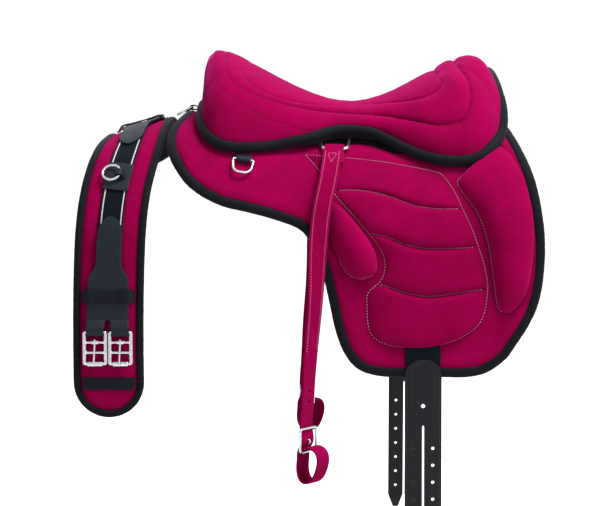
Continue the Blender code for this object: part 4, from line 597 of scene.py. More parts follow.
def stitch_mesh(name: str, lines: Sequence[tuple[Array, Array]], pitch: float, radius: float) -> Mesh:
    """Stitches along lines on surfaces, each a short thread that dips into the cloth at both ends.

    Args:
        name: name of the mesh.
        lines: pairs of a path and the outward direction at each of its points.
        pitch: distance from one stitch to the next.
        radius: radius of the thread.

    Returns:
        A mesh of separate closed stitches, six-sided, of five rings.
    """
    shares, sizes, lifts = STITCH_RINGS.T
    turn = np.linspace(0, 2 * math.pi, STITCH_SIDES, endpoint=False)
    along = np.repeat(shares, STITCH_SIDES)
    side = np.outer(sizes, np.cos(turn)).ravel()
    rise = (np.outer(sizes, np.sin(turn)) + lifts[:, None]).ravel()
    stands = []
    for path, outward in lines:
        knots = run_lengths(path)
        places, step = np.arange(pitch / 2, knots[-1], pitch), pitch / 4
        ahead, behind = np.minimum(places + step, knots[-1]), np.maximum(places - step, 0)
        heading = unit(read_line(path, ahead) - read_line(path, behind))
        normal = read_table(places, knots, np.broadcast_to(outward, path.shape))
        normal = unit(normal - (normal * heading).sum(-1, keepdims=True) * heading)
        stands.append(np.stack([read_line(path, places), heading, normal], axis=1))
    centre, heading, normal = np.split(np.concatenate(stands), 3, axis=1)
    points = (
        centre + STITCH_REACH * pitch * along[None, :, None] * heading
        + radius * side[None, :, None] * np.cross(heading, normal) + radius * rise[None, :, None] * normal)
    rings = np.arange(len(along)).reshape(-1, STITCH_SIDES)
    over = np.roll(rings, -1, axis=1)
    quads = np.stack([rings[:-1], over[:-1], over[1:], rings[1:]], -1).reshape(-1, 4)
    caps = np.array([rings[0, ::-1], rings[-1]])
    if signed_volume(points[0], quads) < 0:
        quads, caps = quads[:, ::-1], caps[:, ::-1]
    first = len(along) * np.arange(len(points))[:, None, None]
    polygons = [(first + quads).reshape(-1, 4), (first + caps).reshape(-1, STITCH_SIDES)]
    return fill_mesh(name, points.reshape(-1, 3), polygons)


def plate_mesh(
        name: str, outlines: Sequence[Array], thickness: float, round_by: float, centre: Array,
        x_axis: Array, y_axis: Array) -> Mesh:
    """A flat plate with holes and rounded edges, stood on two axes at a centre.

    Args:
        name: name of the mesh.
        outlines: the rim and the holes.
        thickness: full thickness.
        round_by: radius of the edges.
        centre: where the plate's origin stands.
        x_axis: the outlines' first axis.
        y_axis: their second axis.

    Returns:
        The closed mesh.
    """
    curve = bpy.data.curves.new(name, "CURVE")
    curve.dimensions, curve.fill_mode = "2D", "BOTH"
    curve.extrude, curve.bevel_depth, curve.bevel_resolution = thickness / 2 - round_by, round_by, 2
    curve.offset = -round_by
    for outline in outlines:
        spline = curve.splines.new("POLY")
        spline.points.add(len(outline) - 1)
        flat = np.column_stack([outline, np.zeros(len(outline)), np.ones(len(outline))])
        spline.points.foreach_set("co", flat.ravel())
        spline.use_cyclic_u = True
    flat = bpy.data.objects.new(name, curve)
    mesh = bpy.data.meshes.new_from_object(flat)
    bpy.data.objects.remove(flat)
    mesh.name = name
    corners, points = np.zeros(len(mesh.loops), np.int32), np.zeros(len(mesh.vertices) * 3)
    mesh.loops.foreach_get("vertex_index", corners)
    mesh.vertices.foreach_get("co", points)
    add_measures(mesh, points.reshape(-1, 3)[corners, :2])
    matrix = Matrix(np.array([x_axis, y_axis, np.cross(x_axis, y_axis)]).T.tolist()).to_4x4()
    matrix.translation = Vector(centre)
    mesh.transform(matrix)
    tidy_mesh(mesh, True)
    return mesh


def harden(piece: Piece) -> Piece:
    """Apply the piece's modifiers, so that the finished mesh is its own.

    Args:
        piece: the piece.

    Returns:
        The same piece.
    """
    graph = bpy.context.evaluated_depsgraph_get()
    mesh = bpy.data.meshes.new_from_object(piece.evaluated_get(graph))
    piece.modifiers.clear()
    piece.data = mesh
    return piece


def thicken(piece: Piece, thickness: float, round_by: float = 0.5 * MM) -> None:
    """Give an open sheet its thickness, half to each side, and round its cut edges.

    Args:
        piece: the piece.
        thickness: full thickness.
        round_by: width of the rounding.
    """
    wall = piece.modifiers.new("thickness", "SOLIDIFY")
    wall.thickness, wall.offset, wall.use_even_offset = thickness, 0.0, True
    soften = piece.modifiers.new("rounded_edges", "BEVEL")
    soften.width, soften.segments, soften.limit_method = round_by, 2, "ANGLE"
    soften.angle_limit = EDGE_ANGLE
    harden(piece)


def punch(piece: Piece, places: Sequence[Array], direction: Array, radius: float, reach: float) -> None:
    """Punch round holes through a piece.

    Args:
        piece: the piece.
        places: middles of the holes.
        direction: the holes' axis.
        radius: radius of a hole.
        reach: length of the punch.
    """
    maker = bmesh.new()
    turn = Vector((0, 0, 1)).rotation_difference(Vector(direction)).to_matrix().to_4x4()
    for place in places:
        bmesh.ops.create_cone(
            maker, cap_ends=True, segments=20, radius1=radius, radius2=radius, depth=reach,
            matrix=Matrix.Translation(Vector(place)) @ turn)
    mesh = bpy.data.meshes.new("pins")
    maker.to_mesh(mesh)
    maker.free()
    pins = bpy.data.objects.new("pins", mesh)
    bpy.context.scene.collection.objects.link(pins)
    cut = piece.modifiers.new("holes", "BOOLEAN")
    cut.operation, cut.solver, cut.object = "DIFFERENCE", "EXACT", pins
    bpy.context.view_layer.update()
    harden(piece)
    bpy.data.objects.remove(pins)


# Finishes


class Graph:
    """The node tree of a material or a world, and a short way to add nodes to it."""

    def __init__(self, owner: bpy.types.ID) -> None:
        """Open the owner's node tree."""
        owner.use_nodes = True
        self.owner, self.tree = owner, owner.node_tree

    def node(self, kind: str, settings: dict | None = None, **inputs: object) -> bpy.types.Node:
        """Add a node and feed it.

        Args:
            kind: the node's type, less the word ShaderNode.
            settings: its options.
            inputs: a socket or value for each input by name; i0 is the first.

        Returns:
            The node.
        """
        node = self.tree.nodes.new("ShaderNode" + kind)
        for key, value in (settings or {}).items():
            setattr(node, key, value)
        for key, value in inputs.items():
            numbered = key[0] == "i" and key[1:].isdigit()
            self.feed(node.inputs[int(key[1:]) if numbered else key.replace("_", " ")], value)
        return node

    def feed(self, socket: Socket, value: object) -> None:
        """Link a socket or set its value; a colour gets full cover.

        Args:
            socket: the input.
            value: a number, a colour or a socket.
        """
        if isinstance(value, Socket):
            self.tree.links.new(value, socket)
        else:
            socket.default_value = (*value, 1.0) if socket.type == "RGBA" else value

    def place(self, scale: Triple = (1, 1, 1)) -> Socket:
        """Object coordinates, stretched."""
        source = self.node("TexCoord").outputs["Object"]
        return self.node("Mapping", Vector=source, Scale=scale).outputs["Vector"]

    def measures(self) -> Socket:
        """The piece's own metres along and across."""
        return self.node("UVMap", {"uv_map": "measures"}).outputs["UV"]

    def noise(self, place: Socket, size: float, detail: float, roughness: float) -> Socket:
        """Noise whose patches are about size metres wide."""
        return self.node(
            "TexNoise", Vector=place, Scale=1 / size, Detail=detail, Roughness=roughness).outputs["Fac"]

    def ramp(self, value: Socket, low: float, high: float, start: float = 0.0, end: float = 1.0) -> Socket:
        """Map low to high onto start to end, clamped."""
        node = self.node("MapRange", Value=value, From_Min=low, From_Max=high, To_Min=start, To_Max=end)
        return node.outputs["Result"]

    def mix(self, share: Socket, first: object, second: object) -> Socket:
        """Mix two colours."""
        return self.node("Mix", {"data_type": "RGBA"}, Factor=share, i6=first, i7=second).outputs[2]

    def maths(self, operation: str, first: object, second: object) -> Socket:
        """One sum on two numbers."""
        return self.node("Math", {"operation": operation}, i0=first, i1=second).outputs[0]

    def waves(self, place: Socket, pitch: float, direction: str) -> Socket:
        """Ribs of a given pitch across one axis."""
        settings = {"wave_type": "BANDS", "bands_direction": direction}
        return self.node("TexWave", settings, Vector=place, Scale=math.pi / 10 / pitch).outputs["Fac"]

    def bump(self, height: Socket, distance: float, strength: float, under: Socket | None = None) -> Socket:
        """A bump of a real height in metres, over another one if given."""
        below = {} if under is None else {"Normal": under}
        return self.node(
            "Bump", Height=height, Distance=distance, Strength=strength, **below).outputs["Normal"]

    def value(self, name: str) -> Socket:
        """A number that the mesh keeps for each vertex."""
        return self.node("Attribute", {"attribute_name": name}).outputs["Fac"]

    def seen(self) -> Socket:
        """One for what the camera, a reflection or a clear piece looks at, nought for other light.

        Returns:
            The number.
        """
        rays = self.node("LightPath").outputs
        most = self.maths("MAXIMUM", rays["Is Camera Ray"], rays["Is Glossy Ray"])
        return self.maths("MAXIMUM", most, rays["Is Transmission Ray"])

    def finish(self, **inputs: object) -> Material:
        """Feed the material's plain shader and hand the material over.

        Args:
            inputs: a socket or value for each input of the shader.

        Returns:
            The material.
        """
        for key, value in inputs.items():
            self.feed(self.tree.nodes["Principled BSDF"].inputs[key.replace("_", " ")], value)
        return self.owner


def darker(colour: Triple, share: float) -> Triple:
    """A share of a colour's light."""
    return tuple(share * c for c in colour)


@dataclass(frozen=True)
class Suede:
    """Napped leather: soft patches where the nap lies differently, fine fibres and a pale sheen."""

    name: str
    colour: Triple
    shade: Triple
    light: Triple
    lining: Triple = (0.004, 0.004, 0.006)
    patch: float = 45 * MM
    fibre: float = 0.9 * MM
    sheen: float = 0.5

    def make(self) -> Material:
        """Build the material.

        Returns:
            The material.
        """
        g = Graph(bpy.data.materials.new(self.name))
        place = g.place()
        patches = g.noise(place, self.patch, 3, 0.55)
        strokes = g.noise(place, self.patch / 7, 3, 0.6)
        fibres = g.noise(place, self.fibre, 4, 0.65)
        tone = g.mix(g.ramp(patches, 0.3, 0.7), self.shade, self.colour)
        tone = g.mix(g.ramp(strokes, 0.45, 0.8, 0, 0.14), tone, self.light)
        tone = g.mix(g.ramp(fibres, 0.35, 0.65, 0, 0.25), tone, self.shade)
        # Painted shade: the suede darkens where the mesh marks seams, channels, valleys and the foot of
        # each binding.
        tone = g.mix(g.ramp(g.value("crease"), 0, 1, 0, 0.9), tone, darker(self.shade, 0.25))
        # Black where the mesh is marked for lining; on the pad beside the seat's arch this black is painted
        # shade.
        tone = g.mix(g.ramp(g.value("lined"), LINING_AND_SHADE_START, LINING_AND_SHADE_FULL), tone, self.lining)
        normal = g.bump(fibres, 0.12 * MM, 0.5)
        normal = g.bump(strokes, 0.3 * MM, 0.3, normal)
        return g.finish(
            Base_Color=tone, Roughness=g.ramp(patches, 0.3, 0.7, 0.85, 0.97), Normal=normal,
            Sheen_Weight=self.sheen, Sheen_Roughness=0.4, Sheen_Tint=(1.0, 0.045, 0.45),
            Specular_IOR_Level=0.03)


@dataclass(frozen=True)
class Leather:
    """Grained leather: small cells pressed into it, with patches of tone and roughness."""

    name: str
    colour: Triple
    shade: Triple
    roughness: float = 0.5
    grain: float = 1.3 * MM

    def make(self) -> Material:
        """Build the material.

        Returns:
            The material.
        """
        g = Graph(bpy.data.materials.new(self.name))
        place = g.place()
        cells = g.node("TexVoronoi", {"feature": "DISTANCE_TO_EDGE"}, Vector=place, Scale=1 / self.grain)
        cells = cells.outputs["Distance"]
        patches = g.noise(place, 18 * MM, 4, 0.6)
        fine = g.noise(place, 0.5 * MM, 3, 0.6)
        tone = g.mix(g.ramp(patches, 0.3, 0.7), self.shade, self.colour)
        tone = g.mix(g.ramp(cells, 0, 0.12, 0.4, 0), tone, darker(self.shade, 0.4))
        normal = g.bump(g.ramp(cells, 0, 0.25), 0.12 * MM, 0.6)
        normal = g.bump(fine, 0.05 * MM, 0.4, normal)
        rough = g.ramp(
            g.maths("ADD", patches, fine), 0.6, 1.4, self.roughness - 0.08, self.roughness + 0.12)
        return g.finish(Base_Color=tone, Roughness=rough, Normal=normal, Specular_IOR_Level=0.2)


@dataclass(frozen=True)
class Woven:
    """Woven tape: ribs across it and yarns along it, on the piece's own measures."""

    name: str
    colour: Triple
    light: Triple
    rib: float = 1.1 * MM
    yarn: float = 0.9 * MM
    relief: float = 0.14 * MM
    roughness: float = 0.68
    sheen: float = 0.06

    def make(self) -> Material:
        """Build the material.

        Returns:
            The material.
        """
        g = Graph(bpy.data.materials.new(self.name))
        run = g.measures()
        ribs = g.waves(run, self.rib, "X")
        yarns = g.waves(run, self.yarn, "Y")
        weave = g.maths("MULTIPLY", g.ramp(ribs, 0, 1, 0.35, 1), g.ramp(yarns, 0, 1, 0.45, 1))
        patches = g.noise(g.place(), 25 * MM, 3, 0.6)
        fluff = g.noise(g.place(), 0.7 * MM, 3, 0.7)
        tone = g.mix(weave, self.colour, self.light)
        tone = g.mix(g.ramp(patches, 0.35, 0.7, 0, 0.4), tone, self.colour)
        # Painted shade: the tape darkens where its mesh marks creases.
        tone = g.mix(g.ramp(g.value("crease"), 0, 1, 0, 0.8), tone, darker(self.colour, 0.3))
        normal = g.bump(weave, self.relief, 0.8)
        normal = g.bump(fluff, 0.08 * MM, 0.4, normal)
        return g.finish(
            Base_Color=tone, Roughness=g.ramp(fluff, 0.3, 0.7, self.roughness - 0.06, self.roughness + 0.1),
            Normal=normal, Sheen_Weight=self.sheen, Sheen_Roughness=0.5, Sheen_Tint=(0.6, 0.65, 0.8),
            Specular_IOR_Level=0.09)


@dataclass(frozen=True)
class Felt:
    """Felted lining: tangled short fibres with no direction."""

    name: str
    colour: Triple
    light: Triple

    def make(self) -> Material:
        """Build the material.

        Returns:
            The material.
        """
        g = Graph(bpy.data.materials.new(self.name))
        place = g.place()
        fibres = g.noise(place, 1.2 * MM, 5, 0.75)
        patches = g.noise(place, 40 * MM, 3, 0.55)
        tone = g.mix(g.ramp(fibres, 0.35, 0.7), self.colour, self.light)
        tone = g.mix(g.ramp(patches, 0.35, 0.7, 0, 0.5), tone, self.colour)
        return g.finish(
            Base_Color=tone, Roughness=0.94, Normal=g.bump(fibres, 0.3 * MM, 0.7), Sheen_Weight=0.05,
            Sheen_Roughness=0.6, Specular_IOR_Level=0.05)


@dataclass(frozen=True)
class Steel:
    """Polished wire and castings, faintly hazed and scratched by use."""

    name: str
    colour: Triple = (0.6, 0.62, 0.65)
    roughness: float = 0.2

    def make(self) -> Material:
        """Build the material.

        Returns:
            The material.
        """
        g = Graph(bpy.data.materials.new(self.name))
        haze = g.noise(g.place(), 6 * MM, 4, 0.65)
        marks = g.noise(g.place((1, 1, 8)), 1.5 * MM, 3, 0.7)
        tone = g.mix(g.ramp(haze, 0.35, 0.7, 0, 0.6), self.colour, darker(self.colour, 0.55))
        rough = g.ramp(g.maths("MULTIPLY", haze, marks), 0.1, 0.4, self.roughness, self.roughness + 0.16)
        return g.finish(
            Base_Color=tone, Metallic=1.0, Roughness=rough, Normal=g.bump(marks, 0.02 * MM, 0.3))


@dataclass(frozen=True)
class Thread:
    """Sewing thread, slightly uneven in tone."""

    name: str
    colour: Triple

    def make(self) -> Material:
        """Build the material.

        Returns:
            The material.
        """
        g = Graph(bpy.data.materials.new(self.name))
        fuzz = g.noise(g.place(), 0.4 * MM, 2, 0.6)
        tone = g.mix(g.ramp(fuzz, 0.35, 0.65, 0, 0.3), self.colour, darker(self.colour, 0.75))
        return g.finish(
            Base_Color=tone, Roughness=0.6, Normal=g.bump(fuzz, 0.05 * MM, 0.6), Sheen_Weight=0.2)


class Finishes:
    """Every finish of the saddle, made once."""

    def __init__(self) -> None:
        """Make the materials."""
        self.suede = Suede(
            "magenta_suede", (0.385, 0.0, 0.076), (0.285, 0.0, 0.053), (0.62, 0.004, 0.15),
            sheen=0.65).make()
        self.strap_suede = Suede(
            "magenta_strap", (0.37, 0.0004, 0.075), (0.27, 0.0, 0.05), (0.58, 0.01, 0.15), patch=60 * MM,
            fibre=0.8 * MM, sheen=0.35).make()
        self.leather = Leather("slate_leather", (0.0115, 0.0175, 0.0305), (0.0075, 0.0112, 0.02)).make()
        self.dark_leather = Leather(
            "black_leather", (0.0046, 0.0056, 0.0088), (0.0026, 0.0032, 0.005), 0.46).make()
        self.binding = Woven("black_binding", (0.0032, 0.0036, 0.0055), (0.009, 0.0102, 0.0145)).make()
        self.band = Woven(
            "slate_band", (0.0062, 0.0066, 0.0115), (0.0175, 0.0185, 0.031), roughness=0.7).make()
        self.webbing = Woven(
            "black_webbing", (0.0022, 0.0032, 0.0075), (0.0065, 0.0088, 0.0165), rib=1.7 * MM,
            yarn=1.1 * MM, relief=0.25 * MM, roughness=0.8).make()
        self.lining = Felt("black_lining", (0.006, 0.006, 0.008), (0.016, 0.016, 0.02)).make()
        self.steel = Steel("polished_steel").make()
        self.thread = Thread("pale_pink_thread", (1.0, 0.55, 0.9)).make()
        self.seat_thread = Thread("rose_thread", (0.50, 0.012, 0.15)).make()
        self.dark_thread = Thread("slate_thread", (0.045, 0.052, 0.066)).make()
        self.piping = Woven(
            "white_piping", (0.62, 0.60, 0.66), (0.86, 0.84, 0.9), rib=1.4 * MM, yarn=0.8 * MM,
            relief=0.1 * MM, roughness=0.55, sheen=0.1).make()


def settle(piece: Piece, body: str, slot: str, *nodes: str, fill: float | None = None) -> None:
    """Let a finished piece ride on its body, hide the CAD nodes that it stands for, and log it.

    Args:
        piece: the piece.
        body: body that it rides on.
        slot: name of its slot; not used.
        fill: share of its space that is padding, or none; not used.
        nodes: CAD nodes that it stands for.
    """
    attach(piece, body)
    if nodes:
        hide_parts(*nodes)
    LOG.info("%s: %d faces on %s", piece.name, len(piece.data.polygons), body)


def dress(
        mesh: Mesh, finish: Material, body: str, slot: str, *nodes: str, fill: float | None = None,
        lining: Material | None = None) -> None:
    """Make a mesh a piece, give it its finish and its lining, and settle it.

    Args:
        mesh: the mesh.
        finish: its material.
        body: body that it rides on.
        slot: name of its slot.
        fill: share of its space that is padding, or none.
        lining: material of its faces marked black: lining, and on the pad beside the seat's arch painted
            shade.
        nodes: CAD nodes that it stands for.
    """
    piece = make_object(mesh, finish)
    if lining is not None:
        line_and_shade_faces(mesh, lining)
    settle(piece, body, slot, *nodes, fill=fill)


@dataclass
class Assembly:
    """Pieces that share one set of finishes."""

    finishes: Finishes

    def add_wire(
            self, name: str, path: Array, radius: float, outward: Array, closed: bool, body: str,
            *nodes: str) -> None:
        """Add a round steel wire."""
        dress(wire_mesh(name, path, radius, outward, closed), self.finishes.steel, body, "steel", *nodes)

    def add_strap(
            self, name: str, path: Array, across: Array, width: float, thickness: float, finish: Material,
            body: str, slot: str, *nodes: str) -> None:
        """Add a flat strap."""
        dress(strap_mesh(name, path, across, width, thickness), finish, body, slot, *nodes)

    def add_stitches(
            self, name: str, lines: Sequence[tuple[Array, Array]], pitch: float, radius: float,
            thread: Material, body: str, slot: str) -> None:
        """Add rows of stitches."""
        dress(stitch_mesh(name, lines, pitch, radius), thread, body, slot)


# The back that the saddle lies on


@dataclass(frozen=True)
class Back:
    """The rounded back below the pad, as a cross section and a spine that rises to the withers."""

    half_width: float = 200 * MM
    depth: float = 185 * MM
    roundness: float = 2.25
    flank: float = 560 * MM
    flare: float = math.radians(2.5)
    reach: float = 270 * MM
    rise: float = 23 * MM
    stations: Row = (-1.62, -1.33, -1.11, -0.96, -0.74, -0.44, 0.0, 0.37, 0.74, 1.0)
    rises: Row = (-0.9, -0.18, 0.62, 0.96, 0.87, 0.28, 0.0, 0.13, 0.56, 0.85)
    steps: int = 600
    window: int = 25

    def tables(self) -> tuple[Array, ...]:
        """Length, y, z and the outward normal along the section: a superellipse, then a straight flank.

        Returns:
            Length, y, z, and the normal's y and z, at each step of the section.
        """
        turn = np.linspace(0, math.pi / 2, self.steps)
        power = 2 / self.roundness
        y, z = self.half_width * np.sin(turn) ** power, -self.depth * (1 - np.cos(turn) ** power)
        y = np.append(y, y[-1] + self.flank * math.sin(self.flare))
        z = np.append(z, z[-1] - self.flank * math.cos(self.flare))
        line = even_points(np.stack([y, z], axis=-1), self.steps)
        start = line[self.window:0:-1] * (-1, 1)
        tail = line[-1] + (line[-1] - line[-2]) * np.arange(1, self.window + 1)[:, None]
        padded = np.concatenate([start, line, tail])
        kernel = np.ones(self.window) / self.window
        smooth = np.stack([np.convolve(padded[:, k], kernel, "same") for k in (0, 1)], axis=-1)
        smooth = smooth[self.window:-self.window]
        smooth[:, 1] -= smooth[0, 1]
        reach = run_lengths(smooth)
        across, down = np.gradient(smooth[:, 0], reach), np.gradient(smooth[:, 1], reach)
        size = np.hypot(across, down)
        return reach, smooth[:, 0], smooth[:, 1], -down / size, across / size


BACK = Back()
REACH, SECTION_Y, SECTION_Z, NORMAL_Y, NORMAL_Z = BACK.tables()
read_spine = curve_through(np.array(BACK.stations) * BACK.reach, np.array(BACK.rises) * BACK.rise)


def back_point(x: object, s: object, h: object) -> Array:
    """The point at x, s along the section (near side positive) and h above the back.

    Args:
        x: place along the spine.
        s: distance from the spine.
        h: height above the back.

    Returns:
        The points.
    """
    x, s, h = np.broadcast_arrays(np.asarray(x, float), np.asarray(s, float), np.asarray(h, float))
    far = np.abs(s)
    y = np.interp(far, REACH, SECTION_Y) + h * np.interp(far, REACH, NORMAL_Y)
    z = np.interp(far, REACH, SECTION_Z) + h * np.interp(far, REACH, NORMAL_Z)
    return np.stack([x, -np.where(s < 0, -1.0, 1.0) * y, z + read_spine(x)], axis=-1)


def back_height(x: Array, y: Array, h: float) -> Array:
    """The z at x and y of the surface that lies h above the back."""
    return np.interp(np.abs(y), SECTION_Y + h * NORMAL_Y, SECTION_Z + h * NORMAL_Z) + read_spine(x)


def back_frame(s: object) -> tuple[Array, Array]:
    """Unit vectors at places on the back: downhill, away from the spine, and outward.

    Args:
        s: places across the back.

    Returns:
        The two sets of vectors.
    """
    s = np.asarray(s, float)
    far, side = np.abs(s), np.where(s < 0, -1.0, 1.0)
    y, z = np.interp(far, REACH, NORMAL_Y), np.interp(far, REACH, NORMAL_Z)
    none = np.zeros_like(far)
    return np.stack([none, -side * z, -y], -1), np.stack([none, -side * y, z], -1)


def along_back(x: float, reach: float) -> Array:
    """The unit vector that follows the spine over a reach either side of x."""
    rise = float(read_spine(x + reach) - read_spine(x - reach))
    return unit(np.array([2 * reach, 0.0, rise]))


class Side(Enum):
    """The two sides of the saddle: the name's first word and the sign of s."""

    NEAR = ("near", 1)
    OFF = ("off", -1)

    @property
    def word(self) -> str:
        """The name's first word."""
        return self.value[0]

    @property
    def sign(self) -> int:
        """The sign of s on this side."""
        return self.value[1]


# Pad and cushions


@dataclass(frozen=True)
class Cushion:
    """A sewn cushion on the flap: rows of left, middle and right places and a height for each."""

    name: str
    front: float
    length: float
    top: float
    drop: float
    puff: float
    rows: Rows
    channels: tuple[Rows, ...] = ()
    seam: tuple[float, float] = (0.0, 1.0)
    heights: Row = ()
    edge_power: float = 3.0
    edge_root: float = 0.55
    end_power: float = 9.0
    base: float = 7.6 * MM
    fill: float = 0.7
    columns: int = 90
    row_steps: int = 150
    channel_width: float = 3.4 * MM
    channel_share: float = 0.8

    def places(self, rows: Array, across: Array) -> tuple[Array, Array]:
        """x and s at row places and shares across: a spline down the rows, a parabola across each.

        Args:
            rows: places down the rows.
            across: shares across them.

        Returns:
            x and s.
        """
        table = curve_through(np.arange(len(self.rows)), self.rows)(rows)
        left, middle, right = table[..., 0:2], table[..., 2:4], table[..., 4:6]
        a = across[..., None]
        place = 2 * (a - 0.5) * (a - 1) * left + 4 * a * (1 - a) * middle + 2 * a * (a - 0.5) * right
        return self.front + self.length * place[..., 0], self.top + self.drop * place[..., 1]

    def channel_lines(self, count: int = 160) -> list[Array]:
        """The sewn channels as smooth lines of x and s, each one's ends just inside the outline."""
        size, start = np.array([self.length, self.drop]), np.array([self.front, self.top])
        return [line_through(np.array(channel) * size + start, count) for channel in self.channels]

    def outline(self, count: int = 60) -> Array:
        """The cushion's closed outline as x and s, from its top left corner down the left side.

        Args:
            count: number of points.

        Returns:
            Its points.
        """
        last = len(self.rows) - 1
        down, over = np.linspace(0, last, count), np.linspace(0, 1, count // 2)
        sides = [
            self.places(down, np.zeros(count)), self.places(np.full(count // 2, float(last)), over),
            self.places(down[::-1], np.ones(count)), self.places(np.zeros(count // 2), over[::-1])]
        return np.concatenate([np.stack(side, -1) for side in sides])

    def surface(self, side: Side) -> dict[str, Array]:
        """The crowned top and the flat back of the cushion.

        The height across is one less a power of the distance from the middle, under a root,
        so it stands steeply at the edge and is nearly level inside; along the rows it does
        the same with a higher power. Each channel takes a share of the height away, falling
        off with the distance from it, and small puckers run away from every seam.

        Args:
            side: side of the saddle.

        Returns:
            The top, the back, the painted shade, and what the stitches need, by name.
        """
        last = len(self.rows) - 1
        rows, across = np.meshgrid(
            np.linspace(0, last, self.row_steps), np.linspace(0, 1, self.columns), indexing="ij")
        across = 0.5 - 0.5 * np.cos(math.pi * across)
        rows = last * (0.5 - 0.5 * np.cos(math.pi * rows / last)) * 0.35 + rows * 0.65
        x, s = self.places(rows, across)
        flat = np.stack([x, s], -1)
        length = np.concatenate([
            np.zeros((1, self.columns)), np.cumsum(np.linalg.norm(np.diff(flat, axis=0), axis=-1), axis=0)])
        crown = (1 - np.abs(2 * across - 1) ** self.edge_power) ** self.edge_root
        ends = (1 - np.abs(2 * rows / last - 1) ** self.end_power) ** self.edge_root
        size = curve_through(np.arange(last + 1), self.heights or (1.0,) * (last + 1))(rows)
        height = self.puff * size * crown * ends
        # Painted shade: strongest where the cushion is low, at its rim and in its channels.
        crease = np.exp(-height / (2.2 * MM))
        for line in self.channel_lines():
            away = nearest(flat, line)
            pucker = 1 + 0.22 * ripple(x, 7 * MM, line[0, 1] / (9 * MM))
            dip = np.exp(-(away / (self.channel_width * pucker)) ** 1.1)
            height = height * (1 - self.channel_share * dip)
            # Painted shade along each sewn channel.
            crease = np.maximum(crease, 0.8 * np.exp(-away / (1.5 * MM)))
        rim = np.minimum(across, 1 - across) * np.ptp(flat[..., 0], axis=1)[:, None]
        height = height - 0.35 * MM * np.exp(-rim / (9 * MM)) * (
            0.5 + 0.5 * ripple(length, 10 * MM, 1.0)) * crown
        height = height + 0.35 * MM * crown * ends * ripple(
            x + 0.6 * s, 46 * MM, 0.4) * ripple(s, 61 * MM, 1.9)
        top = back_point(x, side.sign * s, self.base + height)
        back = back_point(x, side.sign * s, self.base - 1.2 * MM * crown * ends)
        return {"top": top, "back": back, "crease": crease, "rows": rows, "height": height, "x": x, "s": s}

    def stitch_lines(self, side: Side, shape: dict[str, Array]) -> list[tuple[Array, Array]]:
        """Stitches along the channels and round the outline.

        Args:
            side: side of the saddle.
            shape: the cushion's surface.

        Returns:
            Pairs of a path and its outward direction.
        """
        lines = []
        grid = np.stack([shape["x"], shape["s"]], -1).reshape(-1, 2)
        top = shape["height"].ravel()
        for line in self.channel_lines(90):
            pick = np.array([((grid - point) ** 2).sum(-1).argmin() for point in line])
            path = back_point(line[:, 0], side.sign * line[:, 1], self.base + top[pick] + 0.3 * MM)
            lines.append((path[2:-2], back_frame(side.sign * line[2:-2, 1])[1]))
        outline = self.outline()
        places = run_lengths(outline)
        outline = read_line(outline, np.linspace(*(np.array(self.seam) * places[-1]), 240))
        path = back_point(outline[:, 0], side.sign * outline[:, 1], self.base + 1.5 * MM)
        lines.append((path, back_frame(side.sign * outline[:, 1])[1]))
        return lines


FENDER = Cushion(
    "fender", -92 * MM, 267 * MM, 152 * MM, 292 * MM, 10.5 * MM,
    ((0.0, 0.007, 0.39, 0.035, 0.755, 0.13), (0.085, 0.11, 0.45, 0.12, 0.82, 0.225),
     (0.165, 0.23, 0.524, 0.26, 0.863, 0.315), (0.25, 0.32, 0.58, 0.37, 0.91, 0.41),
     (0.352, 0.424, 0.631, 0.5, 0.95, 0.51), (0.435, 0.54, 0.68, 0.6, 0.985, 0.615),
     (0.421, 0.655, 0.686, 0.7, 1.003, 0.705), (0.353, 0.712, 0.684, 0.76, 1.003, 0.76),
     (0.342, 0.79, 0.68, 0.85, 0.993, 0.83), (0.352, 0.9, 0.66, 0.94, 0.955, 0.91),
     (0.405, 0.962, 0.66, 0.985, 0.87, 0.962), (0.5, 0.992, 0.655, 1.0, 0.785, 0.988),
     (0.6, 1.0, 0.65, 1.003, 0.7, 0.999)),
    channels=(
        ((0.175, 0.213), (0.298, 0.211), (0.37, 0.221), (0.487, 0.252), (0.58, 0.286), (0.693, 0.311),
         (0.863, 0.324)),
        ((0.353, 0.425), (0.412, 0.431), (0.484, 0.454), (0.607, 0.494), (0.72, 0.508), (0.946, 0.519)),
        ((0.4, 0.675), (0.467, 0.693), (0.523, 0.711), (0.627, 0.739), (0.721, 0.746), (0.862, 0.739),
         (0.999, 0.736))),
    heights=(0.45, 0.6, 0.8, 0.95, 1.0, 1.0, 1.0, 1.0, 1.0, 0.95, 0.8, 0.6, 0.4), row_steps=230,
    columns=110, fill=0.5)
KNEE = Cushion(
    "knee_roll", -57 * MM, 71 * MM, 232 * MM, 110 * MM, 22.5 * MM,
    ((0.05, 0.0, 0.09, 0.0, 0.13, 0.0), (0.0, 0.19, 0.25, 0.16, 0.45, 0.19),
     (0.035, 0.455, 0.42, 0.43, 0.765, 0.43),
     (0.13, 0.63, 0.54, 0.62, 0.955, 0.63), (0.29, 0.84, 0.66, 0.82, 1.0, 0.81),
     (0.44, 0.955, 0.68, 0.955, 0.945, 0.93), (0.58, 0.99, 0.68, 1.0, 0.77, 0.985)),
    heights=(0.3, 0.75, 1.0, 1.0, 0.95, 0.8, 0.5), edge_power=2.1, edge_root=0.6, end_power=5.0,
    seam=(0.3, 0.52))
